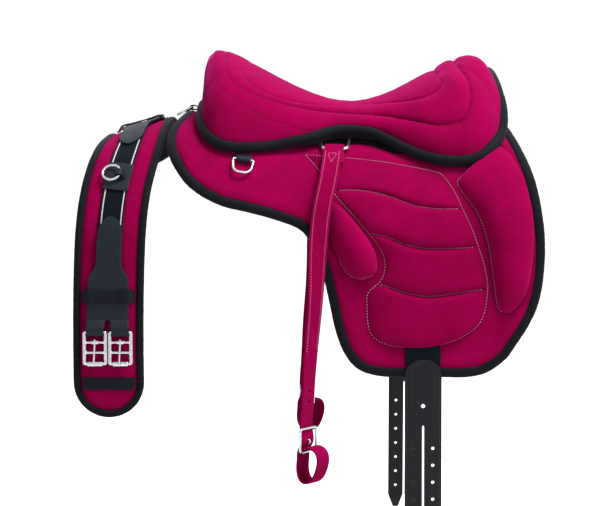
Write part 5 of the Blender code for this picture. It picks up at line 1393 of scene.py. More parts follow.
THIGH = Cushion(
    "thigh_block", 133 * MM, 110 * MM, 158 * MM, 247 * MM, 19.5 * MM,
    ((0.54, -0.03, 0.6, -0.035, 0.655, -0.02), (0.3, 0.055, 0.54, 0.03, 0.76, 0.065),
     (0.08, 0.15, 0.47, 0.13, 0.855, 0.165),
     (0.01, 0.215, 0.46, 0.23, 0.92, 0.25), (0.15, 0.322, 0.56, 0.335, 0.965, 0.35),
     (0.28, 0.415, 0.64, 0.43, 0.998, 0.44), (0.392, 0.566, 0.69, 0.58, 1.005, 0.595),
     (0.45, 0.722, 0.7, 0.735, 0.98, 0.745), (0.498, 0.877, 0.69, 0.89, 0.915, 0.885),
     (0.535, 0.965, 0.66, 0.975, 0.8, 0.965), (0.6, 0.998, 0.65, 1.0, 0.7, 0.998)),
    heights=(0.35, 0.7, 0.92, 1.0, 1.0, 1.0, 1.0, 0.97, 0.86, 0.7, 0.45), edge_power=2.2, edge_root=0.6,
    end_power=6.0, seam=(0.12, 0.5))
PANEL = Cushion(
    "panel", -205 * MM, 375 * MM, 38 * MM, 122 * MM, -21 * MM,
    ((0.05, 0.0, 0.5, -0.03, 0.95, 0.0), (0.0, 0.25, 0.5, 0.25, 1.0, 0.25),
     (0.01, 0.5, 0.5, 0.5, 0.99, 0.5),
     (0.05, 0.78, 0.5, 0.78, 0.95, 0.78), (0.14, 1.0, 0.5, 1.0, 0.86, 1.0)),
    heights=(0.7, 1.0, 1.0, 0.95, 0.7), edge_power=5.0, edge_root=0.5, end_power=5.0, base=0.6 * MM,
    columns=120, row_steps=90)


@dataclass
class Pad(Assembly):
    """The suede pad over both flanks, its binding and the cushions sewn on it."""

    front: float = -291 * MM
    length: float = 544 * MM
    drop: float = 486 * MM
    thickness: float = PAD_THICKNESS
    binding_radius: float = 6.2 * MM
    columns: int = 150
    rows: int = 100
    side_points: int = 240
    # Edge of the black on the pad as x and s in millimetres; past the seat's edge at the waist it is
    # painted shade of the arch.
    lined_edge: Rows = (
        (-235, -30), (-210, 60), (-180, 100), (-130, 112), (-99, 123.2), (-84, 126), (-61, 127.6),
        (-46, 129), (-31, 128.6), (-16, 125.6), (-1, 126.8), (14, 133), (28.5, 142), (43, 148), (70, 150),
        (130, 140), (170, 90), (200, 20), (220, -30))
    front_shares: Rows = (
        (0.039, 0.0), (0.039, 0.05), (0.032, 0.11), (0.018, 0.175), (0.003, 0.24), (0.0, 0.298),
        (0.005, 0.337), (0.015, 0.372), (0.035, 0.419), (0.063, 0.462), (0.096, 0.491))
    lower_shares: Rows = (
        (0.096, 0.491), (0.142, 0.513), (0.204, 0.521), (0.272, 0.527), (0.326, 0.537),
        (0.366, 0.555), (0.393, 0.591), (0.412, 0.635), (0.431, 0.703), (0.445, 0.769),
        (0.458, 0.838), (0.472, 0.89), (0.49, 0.931), (0.515, 0.962), (0.545, 0.977),
        (0.588, 0.985), (0.637, 0.988), (0.734, 0.993), (0.799, 1.0), (0.84, 0.997),
        (0.875, 0.981), (0.904, 0.957))
    rear_shares: Rows = (
        (0.904, 0.957), (0.928, 0.92), (0.961, 0.865), (0.983, 0.81), (0.995, 0.745),
        (1.0, 0.676), (0.999, 0.606), (0.991, 0.531), (0.978, 0.449), (0.955, 0.354),
        (0.931, 0.249), (0.917, 0.159), (0.908, 0.06), (0.908, 0.0))

    def __post_init__(self) -> None:
        """Read the three sides of the outline."""
        size, start = np.array([self.length, self.drop]), np.array([self.front, 0.0])
        self.sides = [
            line_through(np.array(shares) * size + start, self.side_points)
            for shares in (self.front_shares, self.lower_shares, self.rear_shares)]
        self.rim = np.concatenate([self.sides[0], self.sides[1][1:], self.sides[2][1:]])

    def place(self, u: Array, v: Array) -> Array:
        """x and s for shares along the pad and down it: a Coons patch between its four sides.

        Args:
            u: shares along.
            v: shares down.

        Returns:
            x and s, in the last axis.
        """
        front, lower, rear = self.sides
        shares = np.linspace(0, 1, self.side_points)
        left, right, foot = (
            read_table(at, shares, line) for at, line in ((v, front), (v, rear[::-1]), (u, lower)))
        head = np.stack([front[0, 0] + (rear[-1, 0] - front[0, 0]) * u, 0 * u], -1)
        a, b = u[..., None], v[..., None]
        corners = (1 - a) * (1 - b) * front[0] + a * (1 - b) * rear[-1]
        corners = corners + (1 - a) * b * lower[0] + a * b * lower[-1]
        return (1 - a) * left + a * right + (1 - b) * head + b * foot - corners

    def build_pad(self) -> None:
        """One closed sheet over the spine and both flanks, tucked in beside its binding and every seam."""
        u, v = np.meshgrid(np.linspace(0, 1, self.columns), np.linspace(0, 1, self.rows), indexing="xy")
        place = self.place(u, v)
        rim = nearest(place, self.rim[::3])
        edge = np.clip(rim / (self.binding_radius + 2 * MM), 0, 1)
        height = self.thickness * (0.55 + 0.45 * ease(edge)) + 1.1 * MM * np.exp(
            -((rim - 16 * MM) / (8 * MM)) ** 2)
        # Painted shade beside the binding and round every cushion, where the pad dips.
        crease = 0.8 * np.exp(-np.maximum(rim - self.binding_radius, 0) / (1.6 * MM))
        for cushion in (FENDER, KNEE, THIGH):
            seam = nearest(place, cushion.outline(100))
            height = height - 0.9 * MM * np.exp(-seam / (5 * MM))
            crease = np.maximum(crease, 0.62 * np.exp(-seam / (3.0 * MM)))
        x, s = place[..., 0], place[..., 1]
        height = height + 0.5 * MM * ripple(x + 0.4 * s, 83 * MM, 0.7) * ripple(s - 0.3 * x, 97 * MM, 2.2)
        near = [back_point(x, s, height), back_point(x, s, 0.2 * MM)]
        off = [back_point(x, -s, height), back_point(x, -s, 0.2 * MM)]
        outer, inner = (np.concatenate([b[:0:-1], a]) for a, b in zip(near, off))
        # Painted shade: black from under the seat out into the gap under its arch, lining where the seat
        # hides it and shade where the arch shows it.
        lined = np.clip(curve_through(*np.array(self.lined_edge).T * MM)(x) - s, -10 * MM, 10 * MM)
        crease, lined = (np.concatenate([half[:0:-1], half]) for half in (crease, lined))
        mesh = closed_shell("pad", outer, inner, crease=crease, lined=lined)
        dress(
            mesh, self.finishes.suede, "saddle", "suede", "near_flap", "off_flap", fill=0.4,
            lining=self.finishes.lining)

    def build_binding(self) -> None:
        """The folded tape round the whole rim: an oval tube with small gathers, and its row of stitches."""
        half = even_points(self.rim, 500)
        line = np.concatenate([half, (half[-2:0:-1]) * (1, -1)])
        run = run_lengths(line)
        path = back_point(line[:, 0], line[:, 1], self.thickness / 2)
        outward = back_frame(line[:, 1])[1]
        profile = ring_profile(2 * self.binding_radius + 3 * MM, 2 * self.binding_radius, 26, 2.3)
        swell = 1 + 0.02 * ripple(run, 13 * MM) + 0.018 * ripple(run, 37 * MM, 1.3)
        mesh = tube_mesh("pad_binding", path, outward, profile * swell[:, None, None], closed=True)
        dress(mesh, self.finishes.binding, "saddle", "binding", "near_flap_binding", "off_flap_binding")
        inset = self.binding_radius - 0.6 * MM
        side = np.cross(headings(path, closed=True), outward)
        inner = path[:, None] + inset * np.stack([side, -side], axis=1)
        middle = path.mean(axis=0)
        pick = np.linalg.norm(inner - middle, axis=-1).argmin(axis=1)
        inward = np.where(pick[:, None] == 0, side, -side)
        lines = [(path + inset * inward + 0.69 * self.binding_radius * outward, outward + 0.6 * inward)]
        self.add_stitches(
            "pad_binding_stitches", lines, 3.4 * MM, 0.32 * MM, self.finishes.dark_thread, "saddle",
            "binding")

    def build_cushions(self) -> None:
        """Fenders, knee rolls, thigh blocks and panels, with their stitches."""
        for side in Side:
            for cushion in (FENDER, KNEE, THIGH, PANEL):
                name = f"{side.word}_{cushion.name}"
                shape = cushion.surface(side)
                mesh = closed_shell(f"{name}_cushion", shape["top"], shape["back"], crease=shape["crease"])
                slot = "lining" if cushion is PANEL else "suede"
                dress(mesh, getattr(self.finishes, slot), "saddle", slot, name, fill=cushion.fill)
                if cushion is not PANEL:
                    self.add_stitches(
                        f"{name}_stitches", cushion.stitch_lines(side, shape), 4.6 * MM, 0.6 * MM,
                        self.finishes.thread, "saddle", "suede")

    def build(self) -> None:
        """The pad and all that is sewn on it."""
        self.build_pad()
        self.build_binding()
        self.build_cushions()


# Seat


@dataclass
class Seat(Assembly):
    """The padded seat: nested rolls at the pommel and the cantle, parted by sewn channels."""

    front: float = -249 * MM
    length: float = 456 * MM
    edge_drop: float = 177 * MM
    cantle_edge: float = 79 * MM
    binding_radius: float = 7.2 * MM
    pommel_height: float = 127.3 * MM
    crest_front: float = -130 * MM
    crest_rear: float = 85 * MM
    crest_front_share: float = 0.06
    crest_rear_share: float = 0.10
    side_roundness: float = 0.92
    pommel_fullness: float = 0.16
    cantle_fullness: float = 0.34
    end_reach: float = 0.2
    columns: int = 330
    rows: int = 125
    edge_shares: tuple[Triple, ...] = (
        (0.007, 0.0, 0.26), (0.001, 0.282, 0.25), (0.0, 0.511, 0.23), (0.014, 0.768, 0.216),
        (0.046, 0.903, 0.216), (0.088, 0.95, 0.216), (0.16, 0.932, 0.216), (0.232, 0.871, 0.216),
        (0.306, 0.812, 0.285), (0.379, 0.741, 0.329), (0.436, 0.666, 0.342), (0.489, 0.646, 0.346),
        (0.565, 0.668, 0.317), (0.636, 0.763, 0.245), (0.707, 0.882, 0.216), (0.779, 0.966, 0.216),
        (0.849, 1.0, 0.216), (0.914, 0.981, 0.216), (0.958, 0.88, 0.216), (0.991, 0.718, 0.225),
        (1.0, 0.588, 0.38), (0.995, 0.401, 0.62), (0.983, 0.181, 0.886), (0.977, 0.0, 1.0))
    crest_stations: Row = (
        -0.002, 0.0, 0.007, 0.02, 0.042, 0.08, 0.134, 0.188, 0.25, 0.311, 0.374, 0.42, 0.466, 0.513,
        0.559, 0.605, 0.651, 0.697, 0.743, 0.796, 0.837, 0.878, 0.912, 0.939, 0.96, 0.978)
    crest_heights: Row = (
        0.5, 0.8, 0.98, 1.03, 1.06, 1.01, 0.902, 0.788, 0.665, 0.554, 0.458, 0.397, 0.361, 0.35,
        0.373, 0.42, 0.486, 0.569, 0.66, 0.758, 0.844, 0.907, 0.931, 0.923, 0.88, 0.786)
    channel_stations: Row = (
        0, 0.1, 0.2, 0.25, 0.3, 0.35, 0.4, 0.45, 0.5, 0.55, 0.6, 0.65, 0.7, 0.75, 0.8, 0.85, 0.9, 1)
    inner_shares: Row = (
        0.23, 0.26, 0.43, 0.50, 0.52, 0.505, 0.44, 0.39, 0.33, 0.36, 0.40, 0.47, 0.455, 0.31, 0.22, 0.17,
        0.13, 0.14)
    middle_shares: Row = (
        0.51, 0.49, 0.555, 0.575, 0.58, 0.578, 0.585, 0.60, 0.626, 0.636, 0.683, 0.75, 0.77, 0.58, 0.39,
        0.32, 0.29, 0.327)
    seam_stations: Row = (0, 0.05, 0.1, 0.15, 0.2, 0.25, 0.3, 0.35, 0.4, 0.45)
    seam_shares: Row = (0.73, 0.69, 0.66, 0.656, 0.66, 0.70, 0.755, 0.83, 0.93, 1.02)
    bottom_rows: Rows = (
        (0.97, 16), (0.9, 18), (0.75, 18), (0.5, 15), (0.25, 14), (0.0, 14))

    def __post_init__(self) -> None:
        """Read the edge and the crest."""
        edge = np.array(self.edge_shares)
        points = back_point(
            self.front + self.length * edge[:, 0], self.edge_drop * edge[:, 1],
            self.cantle_edge * edge[:, 2])
        self.edge = line_through(points, 800)
        self.edge[[0, -1], 1] = 0.0
        self.crest = soft_table(self.crest_stations, self.crest_heights, 0.02)
        self.inner = soft_table(self.channel_stations, self.inner_shares, 0.06)
        self.middle = soft_table(self.channel_stations, self.middle_shares, 0.06)
        self.seam = soft_table(self.seam_stations, self.seam_shares, 0.06)

    def edge_at(self, w: Array) -> Array:
        """The edge's point at a share of its half length."""
        return read_table(w, np.linspace(0, 1, len(self.edge)), self.edge)

    def top(self, w: Array, v: Array) -> Array:
        """The seat's top at w along the edge and v from the crest to the edge.

        Each line runs from its own place on the crest to the edge; its reach is a power of
        the sine of v, and it drops from the crest's height by one less a power of the cosine.

        Args:
            w: shares along the edge.
            v: shares from the crest to the edge.

        Returns:
            The points.
        """
        edge = self.edge_at(w)
        run = np.clip(
            (w - self.crest_front_share) / (1 - self.crest_front_share - self.crest_rear_share), 0, 1)
        crest_x = self.crest_front + (self.crest_rear - self.crest_front) * run
        reach = np.sin(math.pi / 2 * v) ** self.side_roundness
        ends = ease(np.minimum(w, 1 - w) / self.end_reach)
        least = self.pommel_fullness + (self.cantle_fullness - self.pommel_fullness) * ease((w - 0.4) / 0.2)
        fullness = least + (1 - least) * ends
        drop = 1 - np.maximum(np.cos(math.pi / 2 * v), 0) ** fullness
        x = crest_x + (edge[..., 0] - crest_x) * reach
        crest = self.pommel_height * self.crest((x - self.front) / self.length)
        z = crest * (1 - drop) + edge[..., 2] * drop
        return np.stack([x, edge[..., 1] * reach, z], axis=-1)

    def half(self) -> dict[str, Array]:
        """One half of the seat's top as a grid of even steps down each line, with its distances.

        Returns:
            Grids and rows by name.
        """
        w = np.linspace(0, 1, self.columns)
        fine = np.linspace(0, 1, 600)
        lines = self.top(w[None, :], fine[:, None])
        length = np.concatenate([
            np.zeros((1, self.columns)),
            np.cumsum(np.linalg.norm(np.diff(lines, axis=0), axis=-1), axis=0)])
        shares = np.linspace(0, 1, self.rows)
        v = np.stack(
            [np.interp(shares * length[-1, k], length[:, k], fine) for k in range(self.columns)], axis=-1)
        points = self.top(np.broadcast_to(w, v.shape), v)
        run = shares[:, None] * length[-1][None, :]

        def level(shares_down: Array) -> Array:
            """Distance down each line at its own share v."""
            return np.array([np.interp(shares_down[k], fine, length[:, k]) for k in range(self.columns)])

        return {
            "w": w, "v": v, "points": points, "run": run, "total": length[-1],
            "inner": level(self.inner(w)), "middle": level(self.middle(w)),
            "seam": level(np.minimum(self.seam(w), 1))}

    def relief(self, half: dict[str, Array]) -> tuple[Array, Array]:
        """How far the rolls rise and the channels sink, and how much painted shade each place gets.

        Args:
            half: one half of the seat, as half gives it.

        Returns:
            The rise and the painted shade.
        """
        run, total = half["run"], half["total"][None, :]
        inner, middle, seam = (half[key][None, :] for key in ("inner", "middle", "seam"))
        w = half["w"][None, :]
        along = run_lengths(self.edge_at(half["w"]))[None, :]
        width = np.maximum(middle - inner, 4 * MM)
        share = np.clip((run - inner) / width, 0, 1)
        bulge = 3.4 * MM * np.clip(width / (30 * MM), 0.25, 1) * (1 - np.abs(2 * share - 1) ** 2.6)
        within = 2.2 * MM * (
            1 - np.clip(run / np.maximum(inner, 1 * MM), 0, 1) ** 3) * np.clip(inner / (25 * MM), 0, 1)
        outside = np.clip((run - middle) / np.maximum(total - middle, 4 * MM), 0, 1)
        brow = 3.0 * MM * np.sin(math.pi * np.minimum(outside * 1.25, 1)) ** 0.8
        rise = np.where(run < inner, within, np.where(run < middle, bulge, brow))
        depth_share = 0.28 + 0.72 * ease((w - 0.24) / 0.24)
        rise = rise * depth_share
        # Painted shade gathers along the channels, the pommel seam and the binding.
        crease = np.zeros_like(run)
        for level, depth, span in ((inner, 2.6 * MM, 3.0 * MM), (middle, 2.8 * MM, 3.0 * MM)):
            away = np.abs(run - level)
            pucker = 1 + 0.15 * ripple(along, 9 * MM, 3.0)
            rise = rise - depth * depth_share * np.exp(-away / (span * pucker))
            crease = np.maximum(crease, (0.35 + 0.45 * depth_share) * np.exp(-away / (1.3 * MM)))
        away = np.abs(run - seam)
        live = ease((0.44 - w) / 0.06)
        rise = rise - 1.0 * MM * live * np.exp(-away / (2.2 * MM))
        crease = np.maximum(crease, 0.45 * live * np.exp(-away / (1.0 * MM)))
        hem = total - run
        hollow = 1.6 * MM * np.exp(-hem / (6 * MM))
        sway = 0.5 * MM * ripple(
            along + 0.3 * run, 71 * MM, 0.3) * ease(hem / (20 * MM)) * ease(run / (90 * MM))
        rise = rise - hollow + sway
        crease = np.maximum(crease, 0.8 * np.exp(-np.maximum(hem - self.binding_radius, 0) / (1.8 * MM)))
        return rise, crease

    def build_cover(self) -> None:
        """The whole seat as one closed body: the top down to the edge, then a black bottom."""
        half = self.half()
        rise, crease = self.relief(half)
        near = half["points"]
        ring = np.concatenate([near, near[:, -2:0:-1] * MIRROR], axis=1)
        rise = np.concatenate([rise, rise[:, -2:0:-1]], axis=1)
        crease = np.concatenate([crease, crease[:, -2:0:-1]], axis=1)
        down = np.gradient(ring, axis=0)
        along = np.roll(ring, -1, axis=1) - np.roll(ring, 1, axis=1)
        normal = np.cross(along, down)
        normal = np.where(normal[..., 2:3] < 0, -normal, normal)
        normal[0] = (0, 0, 1)
        soft = ease(half["run"] / (12 * MM))
        soft = np.concatenate([soft, soft[:, -2:0:-1]], axis=1)[..., None]
        normal = unit(unit(normal) * soft + Z_AXIS * (1 - soft))
        inward = np.array([1.0, 0.0, 1.0])
        for k in (0, self.columns - 1):
            normal[:, k] = unit(normal[:, k] * inward)
        top = ring + rise[..., None] * normal
        w = np.concatenate([half["w"], half["w"][-2:0:-1]])
        sign = np.concatenate([np.ones(self.columns), -np.ones(self.columns - 2)])
        bottom = []
        for share, height in self.bottom_rows:
            point = self.top(w, np.full(len(w), share)) * np.stack([0 * sign + 1, sign, 0 * sign + 1], -1)
            point[:, 2] = np.minimum(
                back_height(point[:, 0], point[:, 1], height * MM), self.edge_at(w)[:, 2] + 40 * MM)
            bottom.append(point)
        bottom = np.array(bottom)
        grid = np.concatenate([top, bottom], axis=0)
        under = np.ones((len(bottom), grid.shape[1]))
        values = {
            "crease": np.concatenate([crease, 0 * under]),
            "lined": np.concatenate([0 * crease, LINED * under])}
        values["lined"][len(top) - 1] = LINED
        mesh = sheet_mesh("seat_cushion", Sheet(grid, closed_columns=True, values=values))
        dress(
            mesh, self.finishes.suede, "saddle", "suede", "seat_cover", "seat_foam", fill=0.8,
            lining=self.finishes.lining)
        self.build_stitches(half, top)

    def build_stitches(self, half: dict[str, Array], top: Array) -> None:
        """Fine stitches along both channels and the pommel seam, on both sides.

        Args:
            half: one half of the seat, as half gives it.
            top: the finished top of the seat.
        """
        lines = []
        columns = self.columns
        for key, last in (("inner", columns), ("middle", columns), ("seam", int(0.43 * columns))):
            level = half[key][:last]
            rows = level / half["total"][:last] * (self.rows - 1)
            k = np.arange(last)
            low = np.clip(np.floor(rows).astype(int), 0, self.rows - 2)
            share = (rows - low)[:, None]
            path = top[low, k] * (1 - share) + top[low + 1, k] * share
            centre = np.array([0.0, 0.0, -60 * MM])
            outward = unit(path * (0.15, 1, 1) - centre)
            lines.append((path, outward))
            lines.append((path * MIRROR, outward * MIRROR))
        self.add_stitches(
            "seat_stitches", lines, 3.4 * MM, 0.3 * MM, self.finishes.seat_thread, "saddle", "suede")

    def build_binding(self) -> None:
        """The rolled edge round the seat, slightly gathered."""
        half = self.edge_at(np.linspace(0, 1, 420))
        loop = np.concatenate([half, half[-2:0:-1] * MIRROR])
        run = run_lengths(loop)
        outward = Z_AXIS
        profile = ring_profile(2 * self.binding_radius, 2 * self.binding_radius, 24, 2.2)
        swell = 1 + 0.02 * ripple(run, 15 * MM, 0.5) + 0.015 * ripple(run, 43 * MM, 2.0)
        swell = swell * (1.08 + 0.14 * ease((loop[:, 0] - 150 * MM) / (40 * MM)))
        mesh = tube_mesh("seat_binding_tape", loop, outward, profile * swell[:, None, None], closed=True)
        dress(mesh, self.finishes.binding, "saddle", "binding", "seat_binding")

    def build_gusset(self) -> None:
        """The upright leather wall under the back of the cantle."""
        w = np.linspace(0.85, 1, 60)
        edge = self.edge_at(w)
        inward = unit(np.stack([np.full_like(w, self.crest_rear), 0 * w, edge[:, 2]], -1) - edge)
        foot = edge + 6 * MM * inward
        foot[:, 2] = back_height(foot[:, 0], foot[:, 1], 10.6 * MM)
        shares = np.linspace(0, 1, 14)[:, None, None]
        head = edge + (foot - edge) * 0.12
        grid = head + (foot - head) * shares
        bow = 1.5 * MM * np.sin(math.pi * shares) * X_AXIS
        grid = grid + bow
        whole = np.concatenate([grid, grid[:, -2::-1] * MIRROR], axis=1)
        piece = make_object(sheet_mesh("cantle_wall", Sheet(whole), outward=False), self.finishes.leather)
        thicken(piece, 3 * MM)
        settle(piece, "saddle", "leather", "cantle_gusset")

    def build(self) -> None:
        """The cover, the binding and the wall."""
        self.build_cover()
        self.build_binding()
        self.build_gusset()
        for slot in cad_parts["seat_base"].material_slots:
            slot.material = self.finishes.dark_leather


# Stirrup straps


@dataclass
class Stirrup(Assembly):
    """The dee, the doubled strap and the buckle on one side."""

    side: Side
    x: float = DEE_X
    reach: float = DEE_REACH
    length: float = 44 * MM
    wire: float = DEE_WIRE
    bar_rise: float = DEE_RISE
    foot_rise: float = 1 * MM
    pad: float = PAD_THICKNESS
    width: float = 28 * MM
    thickness: float = 3.5 * MM
    turn: float = math.radians(52)
    buckle_centre: Triple = (-87 * MM, 228.5 * MM, -452 * MM)
    buckle_size: tuple[float, float] = (38 * MM, 34 * MM)
    buckle_wire: float = 1.9 * MM
    tail_rows: Rows = ((30, 6.8), (22, 6.4), (14, 5), (6, 1.4))
    rows: Rows = (
        (153, 21.4, -49.3, 0), (168, 22.3, -51.6, 0), (185, 22.6, -54.2, 0),
        (210, 22.8, -58.6, 0), (240, 23.2, -65.7, 0), (275, 23.5, -70.7, 5), (310, 24, -73.5, 20),
        (350, 24.3, -75.4, 34), (390, 22.8, -77.9, 41), (440, 20.6, -82.3, 45), (500, 17.9, -86.5, 51),
        (540, 16.2, -89, 52))
    end_rows: Rows = (
        (-4.2, -22), (-4.0, -15.1), (-2.4, -8), (-1.4, 0), (-3.7, 8), (-8.1, 15.1), (-9.4, 26), (-10.5, 38),
        (-9, 52), (-4, 60), (4, 62.5), (13, 59), (21, 49), (26, 36), (27, 25), (23, 15.5), (15, 11),
        (7, 10.6))
    prong_rows: Rows = ((0.6, 7.6), (2.6, 4.6), (2.9, 2.2), (1.4, 0.2), (-3.6, -0.6))
    holes: Row = (509, 525)

    def __post_init__(self) -> None:
        """Place the dee's bar and foot, and the buckle's axes."""
        sign = self.side.sign
        self.body = f"{self.side.word}_stirrup_strap"
        self.foot_height = self.pad + self.bar_rise + self.foot_rise
        self.bar = back_point(self.x, sign * self.reach, self.pad + self.bar_rise)
        self.foot = back_point(self.x, sign * (self.reach + self.length), self.foot_height)
        x, y, z = self.buckle_centre
        self.buckle = np.array([x, -sign * y, z])
        self.across = np.array([math.cos(self.turn), sign * math.sin(self.turn), 0.0])
        self.outward = np.array([math.sin(self.turn), -sign * math.cos(self.turn), 0.0])
        self.down = np.array([0.0, 0.0, -1.0])

    def at_buckle(self, rows: Sequence) -> Array:
        """Places given as millimetres outward and down from the buckle's middle."""
        table = np.array(rows, float) * MM
        return self.buckle + table[:, 0:1] * self.outward + table[:, 1:2] * self.down

    def build_dee(self) -> None:
        """The dee that the strap hangs from: a smooth wire bent to a rounded foot."""
        length = np.linalg.norm(self.foot - self.bar)
        outline = dee_outline(50 * MM, 38 * MM, length, 4 * MM, 5 * MM)
        path = lay_outline(outline, self.bar, along_back(self.x, 25 * MM), (self.foot - self.bar) / length)
        path = even_loop(path, 120)
        name = f"{self.side.word}_stirrup_dee"
        self.add_wire(
            f"{name}_wire", path, self.wire, back_frame(self.side.sign * self.reach)[1], True, "saddle",
            name)

    def route(self) -> tuple[Array, Array]:
        """The strap's path and the direction of its width: tail, turn at the dee, fall, loop and fold.

        Returns:
            The path and the width's direction at each point.
        """
        sign = self.side.sign
        wrap = self.wire + SLACK + self.thickness / 2
        back = np.array(self.tail_rows) * MM
        tail = back_point(
            self.x, sign * (self.reach + self.length + back[:, 0]), self.foot_height - wrap + back[:, 1])
        downhill, outward = back_frame(sign * (self.reach + self.length))
        centre = back_point(self.x, sign * (self.reach + self.length), self.foot_height)
        turns = np.radians(np.linspace(270, 90, 8))
        turn = centre + wrap * (np.cos(turns)[:, None] * downhill + np.sin(turns)[:, None] * outward)
        rows = np.array(self.rows)
        laid = back_point(rows[:, 2] * MM, sign * rows[:, 0] * MM, rows[:, 1] * MM)
        end = self.at_buckle(self.end_rows)
        bar = self.at_buckle(((0, self.buckle_size[1] / 2 / MM),))[0]
        hook = self.buckle_wire + SLACK + self.thickness / 2
        turns = np.radians(np.linspace(90, 180, 4))
        close = bar + hook * (np.cos(turns)[:, None] * self.outward - np.sin(turns)[:, None] * self.down)
        points = np.concatenate([tail, turn, laid, end, close])
        twist = np.radians(rows[:, 3])
        plain = np.broadcast_to(along_back(self.x, 25 * MM), (len(tail) + len(turn), 3))
        turned = np.stack([np.cos(twist), sign * np.sin(twist), 0 * twist], axis=-1)
        low = np.broadcast_to(self.across, (len(end) + len(close), 3))
        across = np.concatenate([plain, turned, low])
        knots = run_lengths(points)
        fine = np.linspace(0, knots[-1], 700)
        path = curve_through(knots, points)(fine)
        width = read_table(fine, knots, across)
        self.fall = (knots[len(tail) + len(turn)], knots[len(tail) + len(turn) + len(laid) - 1])
        return path, unit(width)

    def build_strap(self) -> None:
        """The suede strap, its holes, and stitches along both edges and in a triangle at the top."""
        name = f"{self.side.word}_stirrup_leather"
        path, across = self.route()
        mesh = strap_mesh(f"{name}_strap", path, across, self.width, self.thickness)
        piece = make_object(mesh, self.finishes.strap_suede)
        rows = np.array(self.rows)
        laid = back_point(rows[:, 2] * MM, self.side.sign * rows[:, 0] * MM, rows[:, 1] * MM)
        places = [read_table(hole * MM, rows[:, 0] * MM, laid) for hole in self.holes]
        places += [self.at_buckle(((0, 0),))[0]]
        punch(piece, places, self.outward, 2.4 * MM, 14 * MM)
        settle(piece, self.body, "suede", name)
        knots = run_lengths(path)
        start, end = self.fall
        keep = (knots > start + 4 * MM) & (knots < end - 90 * MM)
        line, width = path[keep], across[keep]
        outward = unit(np.cross(width, headings(line)))
        turned = (outward * (self.side.sign * -Y_AXIS)).sum(-1, keepdims=True) < 0
        outward = np.where(turned, -outward, outward)
        surface = line + (self.thickness / 2 - 0.1 * MM) * outward
        edges = [(surface + sign * (self.width / 2 - 3.8 * MM) * width, outward) for sign in (-1, 1)]
        corner = np.array([[-0.62, 6], [0.62, 6], [0.0, 24], [-0.62, 6]])
        local = run_lengths(line)
        shape = []
        for a, b in zip(corner[:-1], corner[1:]):
            leg = np.linspace(a, b, 12)
            at, over, up = (read_table(leg[:, 1] * MM, local, part) for part in (surface, width, outward))
            shape.append((at + leg[:, 0:1] * (self.width / 2 - 3 * MM) * over, up))
        self.add_stitches(
            f"{name}_stitches", edges + shape, 4.2 * MM, 0.55 * MM, self.finishes.thread, self.body,
            "suede")

    def build_buckle(self) -> None:
        """The square wire buckle and its prong."""
        half_width, half_height = self.buckle_size[0] / 2, self.buckle_size[1] / 2
        outline = rounded_box(half_width, -half_height, half_height, 4 * MM)
        path = even_loop(lay_outline(outline, self.buckle, self.across, self.down), 120)
        name = f"{self.side.word}_stirrup_buckle"
        self.add_wire(f"{name}_wire", path, self.buckle_wire, self.outward, True, self.body, name)
        name = f"{self.side.word}_stirrup_prong"
        path = line_through(self.at_buckle(self.prong_rows), 30)
        self.add_wire(f"{name}_pin", path, 1.4 * MM, self.across, False, self.body, name)

    def build(self) -> None:
        """The dee, the strap and the buckle."""
        self.build_dee()
        self.build_strap()
        self.build_buckle()


# Dees at the front, the web between the stirrup dees, and the billets


def keeper_path(
        bar: Array, toward_root: Array, outward: Array, wire: float, root_reach: float,
        return_reach: float, thickness: float, slack: float = 0.0) -> Array:
    """A keeper folded round a wire: its root below, a half turn, its return above.

    Args:
        bar: middle of the wire.
        toward_root: unit vector to the sewn end.
        outward: direction away from the back.
        wire: radius of the wire.
        root_reach: length of the lower leg.
        return_reach: length of the upper leg.
        thickness: full thickness.
        slack: more room round the wire.

    Returns:
        The strap's path.
    """
    wrap = wire + SLACK + slack + thickness / 2
    root = bar + root_reach * toward_root - wrap * outward
    turns = np.radians(np.linspace(0, 180, 9))
    fold = bar - wrap * (np.cos(turns)[:, None] * outward + np.sin(turns)[:, None] * toward_root)
    middle = bar + 0.4 * return_reach * toward_root + 0.7 * wrap * outward
    end = bar + return_reach * toward_root + (thickness + SLACK - wrap) * outward
    return line_through(np.concatenate([[root], fold, [middle, end]]), 60)


